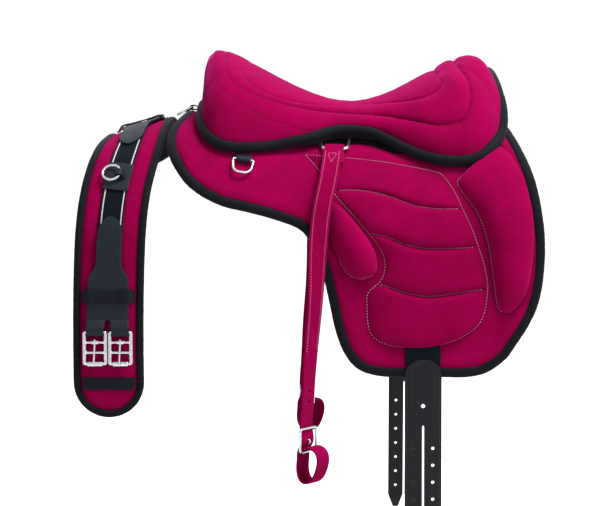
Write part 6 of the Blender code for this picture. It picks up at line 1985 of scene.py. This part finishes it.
@dataclass
class Fittings(Assembly):
    """The rings, keepers, web and billets that hang from the pad."""

    pad: float = PAD_THICKNESS
    ring_width: float = 31 * MM
    ring_foot: float = 25 * MM
    ring_length: float = 24.5 * MM
    ring_wire: float = 1.9 * MM
    keeper: float = 2 * MM
    keeper_width: float = 22 * MM
    web: float = 2.5 * MM
    web_width: float = 38 * MM
    tape_width: float = 52 * MM
    tape_rise: float = 0.8 * MM
    hole_radius: float = 2.4 * MM
    hole_top: float = 130
    hole_pitch: float = 25
    hole_count: int = 7
    billet_thickness: float = 4 * MM

    def ring_path(self, bar: Array, across: Array, drop: Array) -> Array:
        """The closed path of a small dee."""
        outline = dee_outline(self.ring_width, self.ring_foot, self.ring_length, 3 * MM, 10 * MM)
        return even_loop(lay_outline(outline, bar, across, drop), 100)

    def build_front_dee(self, side: Side, x: float = -182.5 * MM, reach: float = 185 * MM) -> None:
        """The dee and its keeper on the front of a flap.

        Args:
            side: side of the saddle.
            x: place along the spine.
            reach: distance from the spine.
        """
        place = side.sign * reach
        bar = back_point(x, place, self.pad + 4.8 * MM)
        downhill, outward = back_frame(place)
        ahead = along_back(x, self.ring_width / 2)
        downhill = downhill - (downhill @ ahead) * ahead
        outward = outward - (outward @ ahead) * ahead
        droop = math.radians(3)
        drop = math.cos(droop) * downhill + math.sin(droop) * outward
        name = f"{side.word}_front_dee"
        self.add_wire(
            f"{name}_wire", self.ring_path(bar, ahead, drop), self.ring_wire, outward, True,
            f"{side.word}_front_ring", f"{name}_ring")
        path = keeper_path(bar, -downhill, outward, self.ring_wire, 11.5 * MM, 8 * MM, self.keeper)
        self.add_strap(
            f"{name}_tab", path, ahead, self.keeper_width, self.keeper, self.finishes.leather, "saddle",
            "leather", f"{name}_keeper")

    def build_pommel_dee(self, x: float = -269 * MM) -> None:
        """The dee at the front of the pommel, on a strap along the spine.

        Args:
            x: place along the spine.
        """
        bar = back_point(x, 0, self.pad + 6.3 * MM)
        droop = math.radians(25)
        drop = np.array([-math.cos(droop), 0.0, -math.sin(droop)])
        path = self.ring_path(bar, Y_AXIS, drop)
        self.add_wire(
            "pommel_dee_wire", path, self.ring_wire, (0, 0, 1), True, "pommel_ring", "pommel_dee_ring")
        wrap = self.ring_wire + SLACK + self.keeper / 2
        rows = np.array(((32, 1.6), (20, 1.6), (12, 1.8), (6, 2.8))) * MM
        laid = back_point(x + rows[:, 0], 0 * rows[:, 0], self.pad + rows[:, 1])
        turns = np.radians(np.linspace(270, 90, 9))
        fold = bar + wrap * np.stack([np.cos(turns), 0 * turns, np.sin(turns)], axis=-1)
        rows = np.array(((4, 9.2), (9, 6.4))) * MM
        back = back_point(x + rows[:, 0], 0 * rows[:, 0], self.pad + rows[:, 1])
        path = line_through(np.concatenate([laid, fold, back]), 80)
        self.add_strap(
            "pommel_tab", path, Y_AXIS, self.keeper_width, self.keeper, self.finishes.leather, "saddle",
            "leather", "pommel_dee_strap")

    def build_carrier(self, x: float = DEE_X, reach: float = DEE_REACH) -> None:
        """The web over the spine, folded round the bar of each stirrup dee.

        Args:
            x: place along the spine.
            reach: distance from the spine.
        """
        wrap = DEE_WIRE + SLACK + self.web / 2
        height = self.pad + DEE_RISE
        folds = []
        for sign, turns in ((1, np.linspace(90, -90, 9)), (-1, np.linspace(-90, 90, 9))):
            downhill, outward = back_frame(sign * reach)
            angle = np.radians(turns)[:, None]
            centre = back_point(x, sign * reach, height)
            folds.append(centre + wrap * (np.cos(angle) * downhill + np.sin(angle) * outward))
        bars = np.linspace(reach, -reach, 15)[1:-1]
        middle = back_point(x, bars, height - wrap)
        ends = [back_point(x, sign * (reach - 6 * MM), height + wrap)[None] for sign in (1, -1)]
        path = line_through(np.concatenate([ends[0], folds[0], middle, folds[1], ends[1]]), 240)
        self.add_strap(
            "stirrup_web", path, along_back(x, self.web_width / 2), self.web_width, self.web,
            self.finishes.webbing, "saddle", "webbing", "stirrup_carrier_web")

    def build_billet(
            self, side: Side, x: float = 81.5 * MM, web_top: float = 449 * MM,
            top: float = 462 * MM) -> None:
        """The web below the fender and the split leather billet on it.

        Args:
            side: side of the saddle.
            x: place along the spine.
            web_top: where the web starts.
            top: where the leather starts.
        """
        body = f"{side.word}_billet_strap"
        hinge = back_point(x, side.sign * web_top, self.pad + self.tape_rise + self.web / 2)
        downhill, outward = back_frame(side.sign * web_top)
        run = np.linspace(0, 22 * MM, 12)[:, None]
        self.add_strap(
            f"{side.word}_billet_tape", hinge + run * downhill, X_AXIS, self.tape_width, self.web,
            self.finishes.webbing, body, "webbing", f"{side.word}_billet_web")
        root = back_point(
            x, side.sign * np.linspace(441, 449.6, 8) * MM, self.pad + self.tape_rise + self.web / 2)
        self.add_strap(
            f"{side.word}_billet_root", root, X_AXIS, 51 * MM, 2.3 * MM, self.finishes.webbing, "saddle",
            "webbing")
        lift = (self.web + self.billet_thickness) / 2 + SLACK
        centre = hinge + (top - web_top) * downhill + lift * outward
        outline, holes = self.billet_shape()
        mesh = plate_mesh(
            f"{side.word}_billet_strap_leather", [outline] + holes, self.billet_thickness, 0.7 * MM,
            centre, X_AXIS, downhill)
        dress(mesh, self.finishes.dark_leather, body, "leather", f"{side.word}_billet")
        face = self.billet_thickness / 2
        lines = []
        arc = np.linspace(math.pi, 2 * math.pi, 30)
        bend = np.stack([17 * MM * np.cos(arc), 22 * MM + 17 * MM * np.sin(arc)], -1)
        loop = np.concatenate([[[-17 * MM, 66 * MM]], bend, [[17 * MM, 66 * MM]]])
        inner = np.stack([9 * MM * np.cos(arc[::-1]), 58 * MM - 12 * MM * np.sin(arc[::-1])], -1)
        for shape in (loop, inner):
            path = centre + shape[:, 0:1] * X_AXIS + shape[:, 1:2] * downhill + face * outward
            lines.append((path, np.broadcast_to(outward, path.shape)))
        for across in (-24, 24):
            path = centre + across * MM * X_AXIS + np.linspace(26 * MM, 292 * MM, 40)[:, None] * downhill
            lines.append((path + face * outward, np.broadcast_to(outward, path.shape)))
        self.add_stitches(
            f"{side.word}_billet_stitches", lines, 3.2 * MM, 0.35 * MM, self.finishes.dark_thread, body,
            "leather")

    def billet_shape(self) -> tuple[Array, list[Array]]:
        """The billet's outline with its slit, and its round holes: x across, y down from its top.

        Returns:
            The outline and the holes.
        """
        half, slit, length = 27 * MM, 1.5 * MM, 318 * MM
        tail, tip, shoulder, corner = (half + slit) / 2, 4.5 * MM, 296 * MM, 24 * MM
        turns = np.linspace(0, math.pi / 2, 16)
        left = np.stack([-half + corner - corner * np.cos(turns), corner - corner * np.sin(turns)], -1)
        foot = np.array([
            (half, shoulder), (tail + tip, length), (tail - tip, length), (slit, shoulder), (slit, 98 * MM),
            (0.0, 96.5 * MM), (-slit, 98 * MM), (-slit, shoulder), (tip - tail, length),
            (-tail - tip, length), (-half, shoulder)])
        turns = np.linspace(0, 2 * math.pi, 20, endpoint=False)
        ring = np.stack([np.cos(turns), np.sin(turns)], -1)
        holes = [
            self.hole_radius * ring + (middle, (self.hole_top + self.hole_pitch * k) * MM)
            for middle in (-tail, tail) for k in range(self.hole_count)]
        holes.append(3 * MM * ring + (0, 68 * MM))
        return np.concatenate([left, left[::-1] * (-1, 1), foot]), holes

    def build(self) -> None:
        """Everything on both sides."""
        self.build_carrier()
        self.build_pommel_dee()
        for side in Side:
            self.build_front_dee(side)
            self.build_billet(side)


# Girth


@dataclass
class Girth(Assembly):
    """The padded girth over the back in front of the pad, its near end hanging down."""

    length: float = 696 * MM
    near_end: float = 531 * MM
    half_width: float = 46.5 * MM
    thickness: float = 8 * MM
    binding_radius: float = 5.5 * MM
    web_width: float = 29 * MM
    web_thickness: float = 2 * MM
    leather_thickness: float = 3 * MM
    level: tuple[float, float] = (40 * MM, 170 * MM)
    reaches: Row = (-200, -140, 0, 60, 140, 200, 300, 560)
    stations: Row = (-345.9, -347.1, -347.8, -351.5, -361, -371, -379, -379)
    spread: float = 37.2 * MM
    buckle_top: float = 121 * MM
    buckle_length: float = 50 * MM
    buckle_width: float = 36 * MM
    buckle_bar: float = 3.4 * MM
    bar_lift: float = 6.9 * MM
    tab_width: float = 25 * MM
    sewn_rise: float = 1.6 * MM
    band_thickness: float = 2 * MM
    patch_thickness: float = 2.5 * MM
    ring_wire: float = 1.9 * MM
    ring_radius: float = 13 * MM
    leather_stations: Row = (139, 160, 180, 200, 206, 213, 221, 240, 258, 268, 275, 280, 283.5, 286, 287.5)
    leather_widths: Row = (30.5, 30.5, 30.5, 29.5, 26, 21, 18.6, 18.4, 18.2, 17.4, 15, 11.4, 7.8, 4.2, 0.0)
    low_band: Rows = ((38, 1.2), (19, 1.6), (0, 1.6))
    high_band: Rows = ((38.5, 1.2), (35.4, 1.8), (33.4, 5), (30.8, 8.0), (16, 8.5), (0, 8.5))

    def __post_init__(self) -> None:
        """Read the girth's line."""
        self.read_x = curve_through(np.array(self.reaches) * MM, np.array(self.stations) * MM)

    def place(self, t: object, c: object, n: object) -> Array:
        """The point t along the girth from its near end, c across it and n above the back.

        Args:
            t: place along the girth from its near end.
            c: place across it.
            n: height above the back.

        Returns:
            The points.
        """
        t, c, n = np.broadcast_arrays(np.asarray(t, float), np.asarray(c, float), np.asarray(n, float))
        s = self.near_end - t
        middle = self.read_x(s)
        point = back_point(middle, s, n)
        edges = read_spine(middle + self.half_width) - read_spine(middle - self.half_width)
        level = ease((s - self.level[0]) / (self.level[1] - self.level[0]))
        point[..., 0] += c
        point[..., 2] += (1 - level) * c * edges / (2 * self.half_width)
        return point

    def axes(self, t: float, c: float) -> tuple[Array, Array, Array]:
        """Unit vectors along the girth, across it and outward, at a place on it.

        Args:
            t: place along the girth from its near end.
            c: place across it.

        Returns:
            The three vectors.
        """
        along = unit(self.place(t + MM, c, 0) - self.place(t - MM, c, 0))
        across = self.place(t, c + MM, 0) - self.place(t, c - MM, 0)
        across = unit(across - (across @ along) * along)
        return along, across, np.cross(across, along)

    def outward(self, t: Array) -> Array:
        """The outward direction at places along the girth."""
        return back_frame(self.near_end - np.asarray(t, float))[1]

    def build_pad(self) -> None:
        """The padded strip: suede outside, felt inside, thicker in the middle, with round ends."""
        reach = self.half_width - 0.8 * self.binding_radius
        t = np.linspace(
            self.half_width - reach + 0.3 * MM, self.length - self.half_width + reach - 0.3 * MM, 260)
        from_end = np.minimum(t, self.length - t)
        width = reach * np.sqrt(np.clip(1 - np.clip((self.half_width - from_end) / reach, 0, 1) ** 2, 0, 1))
        c = np.sin(np.linspace(-math.pi / 2, math.pi / 2, 44))[None, :] * width[:, None]
        tt = np.broadcast_to(t[:, None], c.shape)
        hem = np.minimum(width[:, None] - np.abs(c), from_end[:, None] - (self.half_width - reach))
        puff = 1 - np.exp(-np.maximum(hem, 0) / (7 * MM))
        height = 5.6 * MM + 2.9 * MM * puff + 0.3 * MM * ripple(tt + 0.5 * c, 39 * MM, 0.2)
        near_web = np.abs(np.abs(c) - self.web_width / 2 - 3.5 * MM)
        webbed = (tt > 150 * MM) & (tt < self.length - 150 * MM)
        height = height - 0.9 * MM * np.exp(-near_web / (2.5 * MM)) * webbed
        # Painted shade along the binding and beside the web.
        crease = 0.8 * np.exp(-np.maximum(hem - 1.5 * MM, 0) / (1.6 * MM))
        crease = np.maximum(crease, 0.6 * np.exp(-near_web / (1.5 * MM)) * webbed)
        mesh = closed_shell(
            "girth_cushion", self.place(tt, c, height), self.place(tt, c, 0.4 * MM), crease=crease)
        dress(
            mesh, self.finishes.suede, "girth", "suede", "girth_pad", fill=0.5, lining=self.finishes.lining)

    def build_binding(self) -> None:
        """The tape round the whole pad, and its stitches."""
        radius = self.half_width
        turns = np.linspace(0, math.pi, 60)
        middle = np.linspace(radius, self.length - radius, 200)[1:-1]
        near = np.stack([radius - radius * np.sin(turns), radius * np.cos(turns)], axis=-1)
        far = np.stack([self.length - radius + radius * np.sin(turns), -radius * np.cos(turns)], axis=-1)
        left = np.stack([middle, np.full_like(middle, -radius)], axis=-1)
        right = np.stack([middle[::-1], np.full_like(middle, radius)], axis=-1)
        loop = np.concatenate([near, left, far, right])
        path = self.place(loop[:, 0], loop[:, 1], self.thickness / 2)
        run = run_lengths(path)
        swell = 1 + 0.025 * ripple(run, 14 * MM, 0.9) + 0.02 * ripple(run, 41 * MM, 2.6)
        profile = ring_profile(
            2 * self.binding_radius, 2 * self.binding_radius, 22, 2.3) * swell[:, None, None]
        mesh = tube_mesh("girth_tape", path, self.outward(loop[:, 0]), profile, closed=True)
        dress(mesh, self.finishes.binding, "girth", "binding", "girth_binding")

    def build_web(self) -> None:
        """The black web along the middle, with a white piping on each side of it."""
        t = np.linspace(148 * MM, self.length - 148 * MM, 160)
        height = self.thickness + 0.8 * MM + self.web_thickness / 2
        path = self.place(t, 0, height)
        across = unit(self.place(t, 10 * MM, height) - path)
        self.add_strap(
            "girth_tape_web", path, across, self.web_width + 7 * MM, self.web_thickness,
            self.finishes.webbing, "girth", "webbing", "girth_web")
        for name, c in (("front", -1), ("rear", 1)):
            t = np.linspace(152 * MM, self.length - 152 * MM, 160)
            path = self.place(t, c * (self.web_width / 2 - 0.2 * MM), height + self.web_thickness / 2)
            mesh = tube_mesh(
                f"girth_{name}_piping", path, self.outward(t), ring_profile(2.0 * MM, 1.5 * MM, 12),
                roundness=0.8 * MM)
            dress(mesh, self.finishes.piping, "girth", "webbing")

    def run(self, end: int, t: object) -> object:
        """The place along the girth measured from either end."""
        return t if end > 0 else self.length - t

    def buckle_axes(self, end: int, offset: float) -> tuple[Array, ...]:
        """The middle of a buckle's top bar, and the buckle's downward, cross and outward axes.

        Args:
            end: 1 for the near end, -1 for the far one.
            offset: place of the buckle across the girth.

        Returns:
            The bar's middle, down, across and outward.
        """
        length = self.buckle_length - self.buckle_bar
        top = self.place(self.run(end, self.buckle_top), offset, self.thickness + self.bar_lift)
        foot = self.place(self.run(end, self.buckle_top - length), offset, self.thickness + self.bar_lift)
        outward, across = self.axes(self.run(end, self.buckle_top - length / 2), offset)[:0:-1]
        down = unit(foot - top)
        across = unit(across - (across @ down) * down)
        normal = np.cross(across, down)
        return top, down, across, normal if normal @ outward > 0 else -normal

    def build_leather(self, word: str, end: int) -> None:
        """The leather at one end: a rounded tip, a neck, wide shoulders, a keyhole and two folded tabs.

        Args:
            word: near or far.
            end: 1 for the near end, -1 for the far one.
        """
        name = f"girth_{word}_leather"
        height = self.thickness + self.sewn_rise + self.web_thickness + self.leather_thickness / 2
        t = np.concatenate(
            [np.linspace(139, 270, 90), 270 + 17.5 * np.sin(np.linspace(0, math.pi / 2, 18))[1:]])
        half = np.interp(t, self.leather_stations, self.leather_widths)
        columns = 9
        shares = np.linspace(0, 1, columns)

        def spread_out(inner: Array, outer: Array) -> Array:
            """Places across each row, from the outer edge to the slot and on to the other edge."""
            right = inner[:, None] + (outer - inner)[:, None] * shares
            return np.concatenate([-right[:, ::-1], right], axis=1) * MM

        def on_tabs(down_bar: Array, lift: Array, across_row: Array) -> Array:
            """Points on the two tabs, measured from each buckle's top bar.

            Args:
                down_bar: distances back from the bar.
                lift: heights over it.
                across_row: places across.

            Returns:
                The points.
            """
            halves = []
            for k, offset in enumerate((-self.spread / 2, self.spread / 2)):
                top, down, across, normal = self.buckle_axes(end, offset)
                part = across_row[:, columns * k:columns * (k + 1), None] - offset
                halves.append(
                    top - down_bar[:, None, None] * down + lift[:, None, None] * normal + part * across)
            return np.concatenate(halves, axis=1)

        wrap = math.hypot(self.buckle_bar, 4 * MM) / 2 + 0.5 * MM + self.leather_thickness / 2
        turns = np.radians(np.linspace(270, 90, 13))
        fold = wrap * np.stack([np.cos(turns), np.sin(turns)], axis=-1)
        start = np.array((12 * MM, 6 * MM))[:, None] * (1, 0) - (0, wrap)
        tabs = np.concatenate([start, fold, np.array(((6, 4.3), (13, 1.2))) * MM])
        tabs = line_through(tabs, 40)
        slot, keyhole = (self.spread - self.tab_width) / 2 / MM, 4.2
        front = ease((tabs[:, 0] / MM - 3) / 5) * (tabs[:, 1] > 0)
        outer = np.full(len(tabs), (self.spread + self.tab_width) / 2 / MM)
        tab_grid = on_tabs(tabs[:, 0], tabs[:, 1], spread_out(slot + (keyhole - slot) * front, outer))
        share = np.linspace(0, 1, 10)[1:-1]
        gap = keyhole * np.sqrt(np.clip(1 - ((5 * share + 0.2) / 4.4) ** 2, 0, 1))
        across_row = spread_out(gap, 31.1 - 0.6 * share)
        last = np.broadcast_to(tabs[-1], (len(share), 2))
        lower = on_tabs(last[:, 0], last[:, 1], across_row)
        upper = self.place(self.run(end, 139 * MM), across_row, height)
        bridge = lower + (upper - lower) * share[:, None, None]
        body = self.place(self.run(end, t[:, None] * MM), spread_out(0 * t, half), height)
        grid = np.concatenate([tab_grid, bridge, body])
        mesh = sheet_mesh(f"{name}_tab", Sheet(grid, slit=columns - 1), outward=False)
        piece = make_object(mesh, self.finishes.leather)
        thicken(piece, self.leather_thickness, 0.6 * MM)
        settle(piece, "girth", "leather", name)
        lines = []
        keep = (t > 172) & (t < 286)
        at = self.run(end, t[keep] * MM)
        for sign in (-1, 1):
            path = self.place(at, sign * np.maximum(half[keep] - 2.4, 0) * MM, height + 1.4 * MM)
            lines.append((path, self.outward(at)))
        for offset in (-self.spread / 2, self.spread / 2):
            top, down, across, normal = self.buckle_axes(end, offset)
            line = np.linspace(-10 * MM, 10 * MM, 20)[:, None]
            path = top - 7 * MM * down + 5.6 * MM * normal + line * across
            lines.append((path, np.broadcast_to(normal, path.shape)))
        self.add_stitches(
            f"{name}_stitches", lines, 3.0 * MM, 0.32 * MM, self.finishes.dark_thread, "girth", "leather")

    def build_keepers(self, word: str, end: int) -> None:
        """The two black bands across the pad at one end.

        Args:
            word: near or far.
            end: 1 for the near end, -1 for the far one.
        """
        bands = ((45 * MM, 18 * MM, self.low_band), (173 * MM, 20 * MM, self.high_band))
        for k, (centre, length, rows) in enumerate(bands):
            half = np.array(rows) * MM
            whole = np.concatenate([half * (-1, 1), half[-2::-1]])
            knots = run_lengths(whole)
            fine = curve_through(knots, whole)(np.linspace(0, knots[-1], 90))
            t = self.run(end, centre)
            path = self.place(t, fine[:, 0], self.thickness + fine[:, 1])
            name = f"girth_{word}_keeper_{k + 1}"
            self.add_strap(
                f"{name}_band", path, self.axes(t, 0)[0], length, self.band_thickness, self.finishes.band,
                "girth", "binding", name)

    def build_buckle(self, word: str, mark: str, end: int, offset: float) -> None:
        """A cast buckle: round side rails and bars, a barrel on the hub, a prong and a roller.

        Args:
            word: near or far.
            mark: front or rear.
            end: 1 for the near end, -1 for the far one.
            offset: place of the buckle across the girth.
        """
        key = f"girth_{word}_{mark}"
        length = self.buckle_length - self.buckle_bar
        top, down, across, normal = self.buckle_axes(end, offset)
        half_width, half_bar = self.buckle_width / 2, self.buckle_bar / 2
        inner = half_width - 5 * MM
        outline = rounded_box(half_width, -half_bar, length + half_bar, 4 * MM)
        bars = np.array([0, 0.32, 0.64, 1]) * length
        windows = [
            rounded_box(inner, low + half_bar, high - half_bar, 1.5 * MM, 4)
            for low, high in zip(bars[:-1], bars[1:])]
        mesh = plate_mesh(f"{key}_buckle_cast", [outline] + windows, 4 * MM, 1.1 * MM, top, across, down)
        dress(mesh, self.finishes.steel, "girth", "steel", f"{key}_buckle_frame")
        reach = inner - 1.8 * MM
        rows, sides = 25, 28
        places = np.linspace(-reach, reach, rows)
        ribs = 4.0 * MM - 0.25 * MM * (np.cos(np.linspace(0, 8 * math.pi, rows)) * 0.5 + 0.5)
        path = top + length * down + places[:, None] * across
        outer = sweep(path, normal, ring_profile(2.0, 2.0, sides)[None] * ribs[:, None, None])
        hollow = sweep(path, normal, ring_profile(6 * MM, 6 * MM, sides))
        grid = np.concatenate([outer, hollow[::-1], outer[:1]])
        mesh = sheet_mesh(f"{key}_roller_sleeve", Sheet(grid, closed_columns=True))
        dress(mesh, self.finishes.steel, f"{key}_roller", "steel", f"{key}_buckle_roller")
        hub = top + bars[1] * down
        lift = 4.35 * MM * normal
        prong = np.array([
            hub + lift - self.buckle_bar * down, hub + lift,
            top + bars[2] * down + lift - 0.7 * MM * across,
            top + length * down + 5.8 * MM * normal - 1.4 * MM * across,
            top + (length + 2 * MM) * down + 5.8 * MM * normal - 1.5 * MM * across])
        path = line_through(prong, 50)
        self.add_wire(
            f"{key}_prong_pin", path, 1.4 * MM, across, False, f"{key}_prong", f"{key}_buckle_prong")
        path = hub + np.linspace(-5.2 * MM, 5.2 * MM, 15)[:, None] * across + 0.4 * MM * normal
        swell = 1 + 0.22 * np.cos(np.linspace(-math.pi / 2, math.pi / 2, 15))
        profile = ring_profile(5.4 * MM, 5.4 * MM, 20)[None] * swell[:, None, None]
        mesh = tube_mesh(f"{key}_prong_barrel", path, normal, profile, roundness=0.6 * MM)
        dress(mesh, self.finishes.steel, f"{key}_prong", "steel")

    def build_dee(self, t: float = 346 * MM) -> None:
        """The stitched patch with a round ring on it, held by a short keeper.

        Args:
            t: place along the girth from its near end.
        """
        height = self.thickness + self.sewn_rise + self.web_thickness + self.patch_thickness / 2
        run = np.linspace(-21 * MM, 21 * MM, 24)
        path = self.place(t + run, 0, height)
        across = unit(self.place(t + run, 10 * MM, height) - path)
        self.add_strap(
            "girth_patch", path, across, 38 * MM, self.patch_thickness, self.finishes.leather, "girth",
            "leather", "girth_dee_patch")
        corners = np.array([(-18, -16), (18, -16), (18, 16), (-18, 16), (-18, -16)]) * MM
        square = even_points(corners, 120)
        line = self.place(t + square[:, 0], square[:, 1], height + 1.2 * MM)
        self.add_stitches(
            "girth_patch_stitches", [(line, self.outward(t + square[:, 0]))], 3.0 * MM, 0.34 * MM,
            self.finishes.dark_thread, "girth", "leather")
        place = 3.5 * MM
        heading, over, outward = self.axes(t, place)
        bar = self.place(t, place, height + self.patch_thickness / 2 + 6.6 * MM)
        turns = np.linspace(0, 2 * math.pi, 80, endpoint=False)[:, None]
        tilt = math.radians(7)
        lean = math.cos(tilt) * over + math.sin(tilt) * outward
        ring = bar + self.ring_radius * ((np.cos(turns) - 1) * lean + np.sin(turns) * heading)
        self.add_wire(
            "girth_ring_wire", ring, self.ring_wire, outward, True, "girth_ring", "girth_dee_ring")
        path = keeper_path(bar, over, outward, self.ring_wire, 8 * MM, 6 * MM, 2 * MM, 1.6 * MM)
        self.add_strap(
            "girth_ring_tab", path, heading, 10 * MM, 2 * MM, self.finishes.leather, "girth", "leather",
            "girth_dee_keeper")

    def build(self) -> None:
        """The pad, its binding and web, and what is sewn on at both ends."""
        self.build_pad()
        self.build_binding()
        self.build_web()
        for word, end in (("near", 1), ("far", -1)):
            self.build_leather(word, end)
            self.build_keepers(word, end)
            for mark, offset in (("front", -self.spread / 2), ("rear", self.spread / 2)):
                self.build_buckle(word, mark, end, offset)
        self.build_dee()


# Studio


@dataclass(frozen=True)
class Studio:
    """The camera of the photograph, a pale floor and soft lamps."""

    elevation: float = math.radians(4)
    distance: float = 2.6
    target: Triple = (-0.099, -0.10, -0.187)
    lens: float = 101.96
    floor_gap: float = 40 * MM
    floor_size: float = 30.0
    floor_tone: Triple = (0.72, 0.72, 0.72)
    floor_glow: float = 0.92
    fill: float = 0.3
    aim: Triple = (-0.05, 0, -0.2)

    def build_camera(self) -> None:
        """The camera looks along +Y, a little downward."""
        data = bpy.data.cameras.new("camera")
        data.lens, data.sensor_width, data.clip_end = self.lens, 36.0, 100.0
        camera = bpy.data.objects.new("camera", data)
        bpy.context.scene.collection.objects.link(camera)
        forward = Vector((0, math.cos(self.elevation), -math.sin(self.elevation)))
        camera.location = Vector(self.target) - self.distance * forward
        camera.rotation_euler = (math.pi / 2 - self.elevation, 0, 0)
        bpy.context.scene.camera = camera

    def lamp(self, name: str, place: Sequence[float], size: float, power: float) -> None:
        """A square soft lamp that faces the saddle.

        Args:
            name: name of the lamp.
            place: where it hangs.
            size: its edge.
            power: its watts.
        """
        data = bpy.data.lights.new(name, "AREA")
        data.size, data.energy = size, power
        lamp = bpy.data.objects.new(name, data)
        bpy.context.scene.collection.objects.link(lamp)
        lamp.location = place
        aim = Vector(self.aim) - Vector(place)
        lamp.rotation_euler = aim.to_track_quat("-Z", "Y").to_euler()

    def build_world(self) -> None:
        """White where the camera or a reflection sees it, and a softer fill on the saddle."""
        world = bpy.data.worlds.new("studio")
        bpy.context.scene.world = world
        g = Graph(world)
        g.tree.nodes.clear()
        fill = g.node("Background", Color=WHITE, Strength=self.fill).outputs[0]
        white = g.node("Background", Color=WHITE).outputs[0]
        g.node("OutputWorld", i0=g.node("MixShader", i0=g.seen(), i1=fill, i2=white).outputs[0])

    def build_floor(self, level: float) -> None:
        """A wide pale floor that keeps a faint shadow.

        Args:
            level: height of the floor.
        """
        points = np.array(
            [(-1, -1, 0), (1, -1, 0), (1, 1, 0), (-1, 1, 0)]) * self.floor_size + level * Z_AXIS
        mesh = fill_mesh("floor", points, [np.array([[0, 1, 2, 3]])])
        g = Graph(bpy.data.materials.new("pale_floor"))
        glow = g.maths("MULTIPLY", g.seen(), self.floor_glow)
        light = g.node("Emission", Color=WHITE, Strength=glow).outputs[0]
        plain = g.node("BsdfDiffuse", Color=self.floor_tone).outputs[0]
        both = g.node("AddShader", i0=plain, i1=light).outputs[0]
        g.feed(g.tree.nodes["Material Output"].inputs[0], both)
        make_object(mesh, g.owner)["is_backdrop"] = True

    def build(self, lowest: float) -> None:
        """Camera, world, floor and lamps.

        Args:
            lowest: lowest height of the saddle.
        """
        self.build_camera()
        self.build_world()
        self.build_floor(lowest - self.floor_gap)
        self.lamp("key_lamp", (0.95, -0.75, 2.2), 0.9, 72)
        self.lamp("fill_lamp", (1.9, -1.5, 0.5), 1.4, 12)
        self.lamp("rear_lamp", (0.1, 1.7, 1.7), 1.4, 18)
        bpy.context.scene.view_settings.view_transform = "Standard"


def main() -> None:
    """Build the saddle's looks and the studio around it."""
    logging.basicConfig(level=logging.INFO, format="%(name)s %(message)s")
    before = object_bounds()
    finishes = Finishes()
    Pad(finishes).build()
    Seat(finishes).build()
    for side in Side:
        Stirrup(finishes, side).build()
    Fittings(finishes).build()
    Girth(finishes).build()
    Studio().build(before[0].z)


if __name__ == "__main__":
    main()
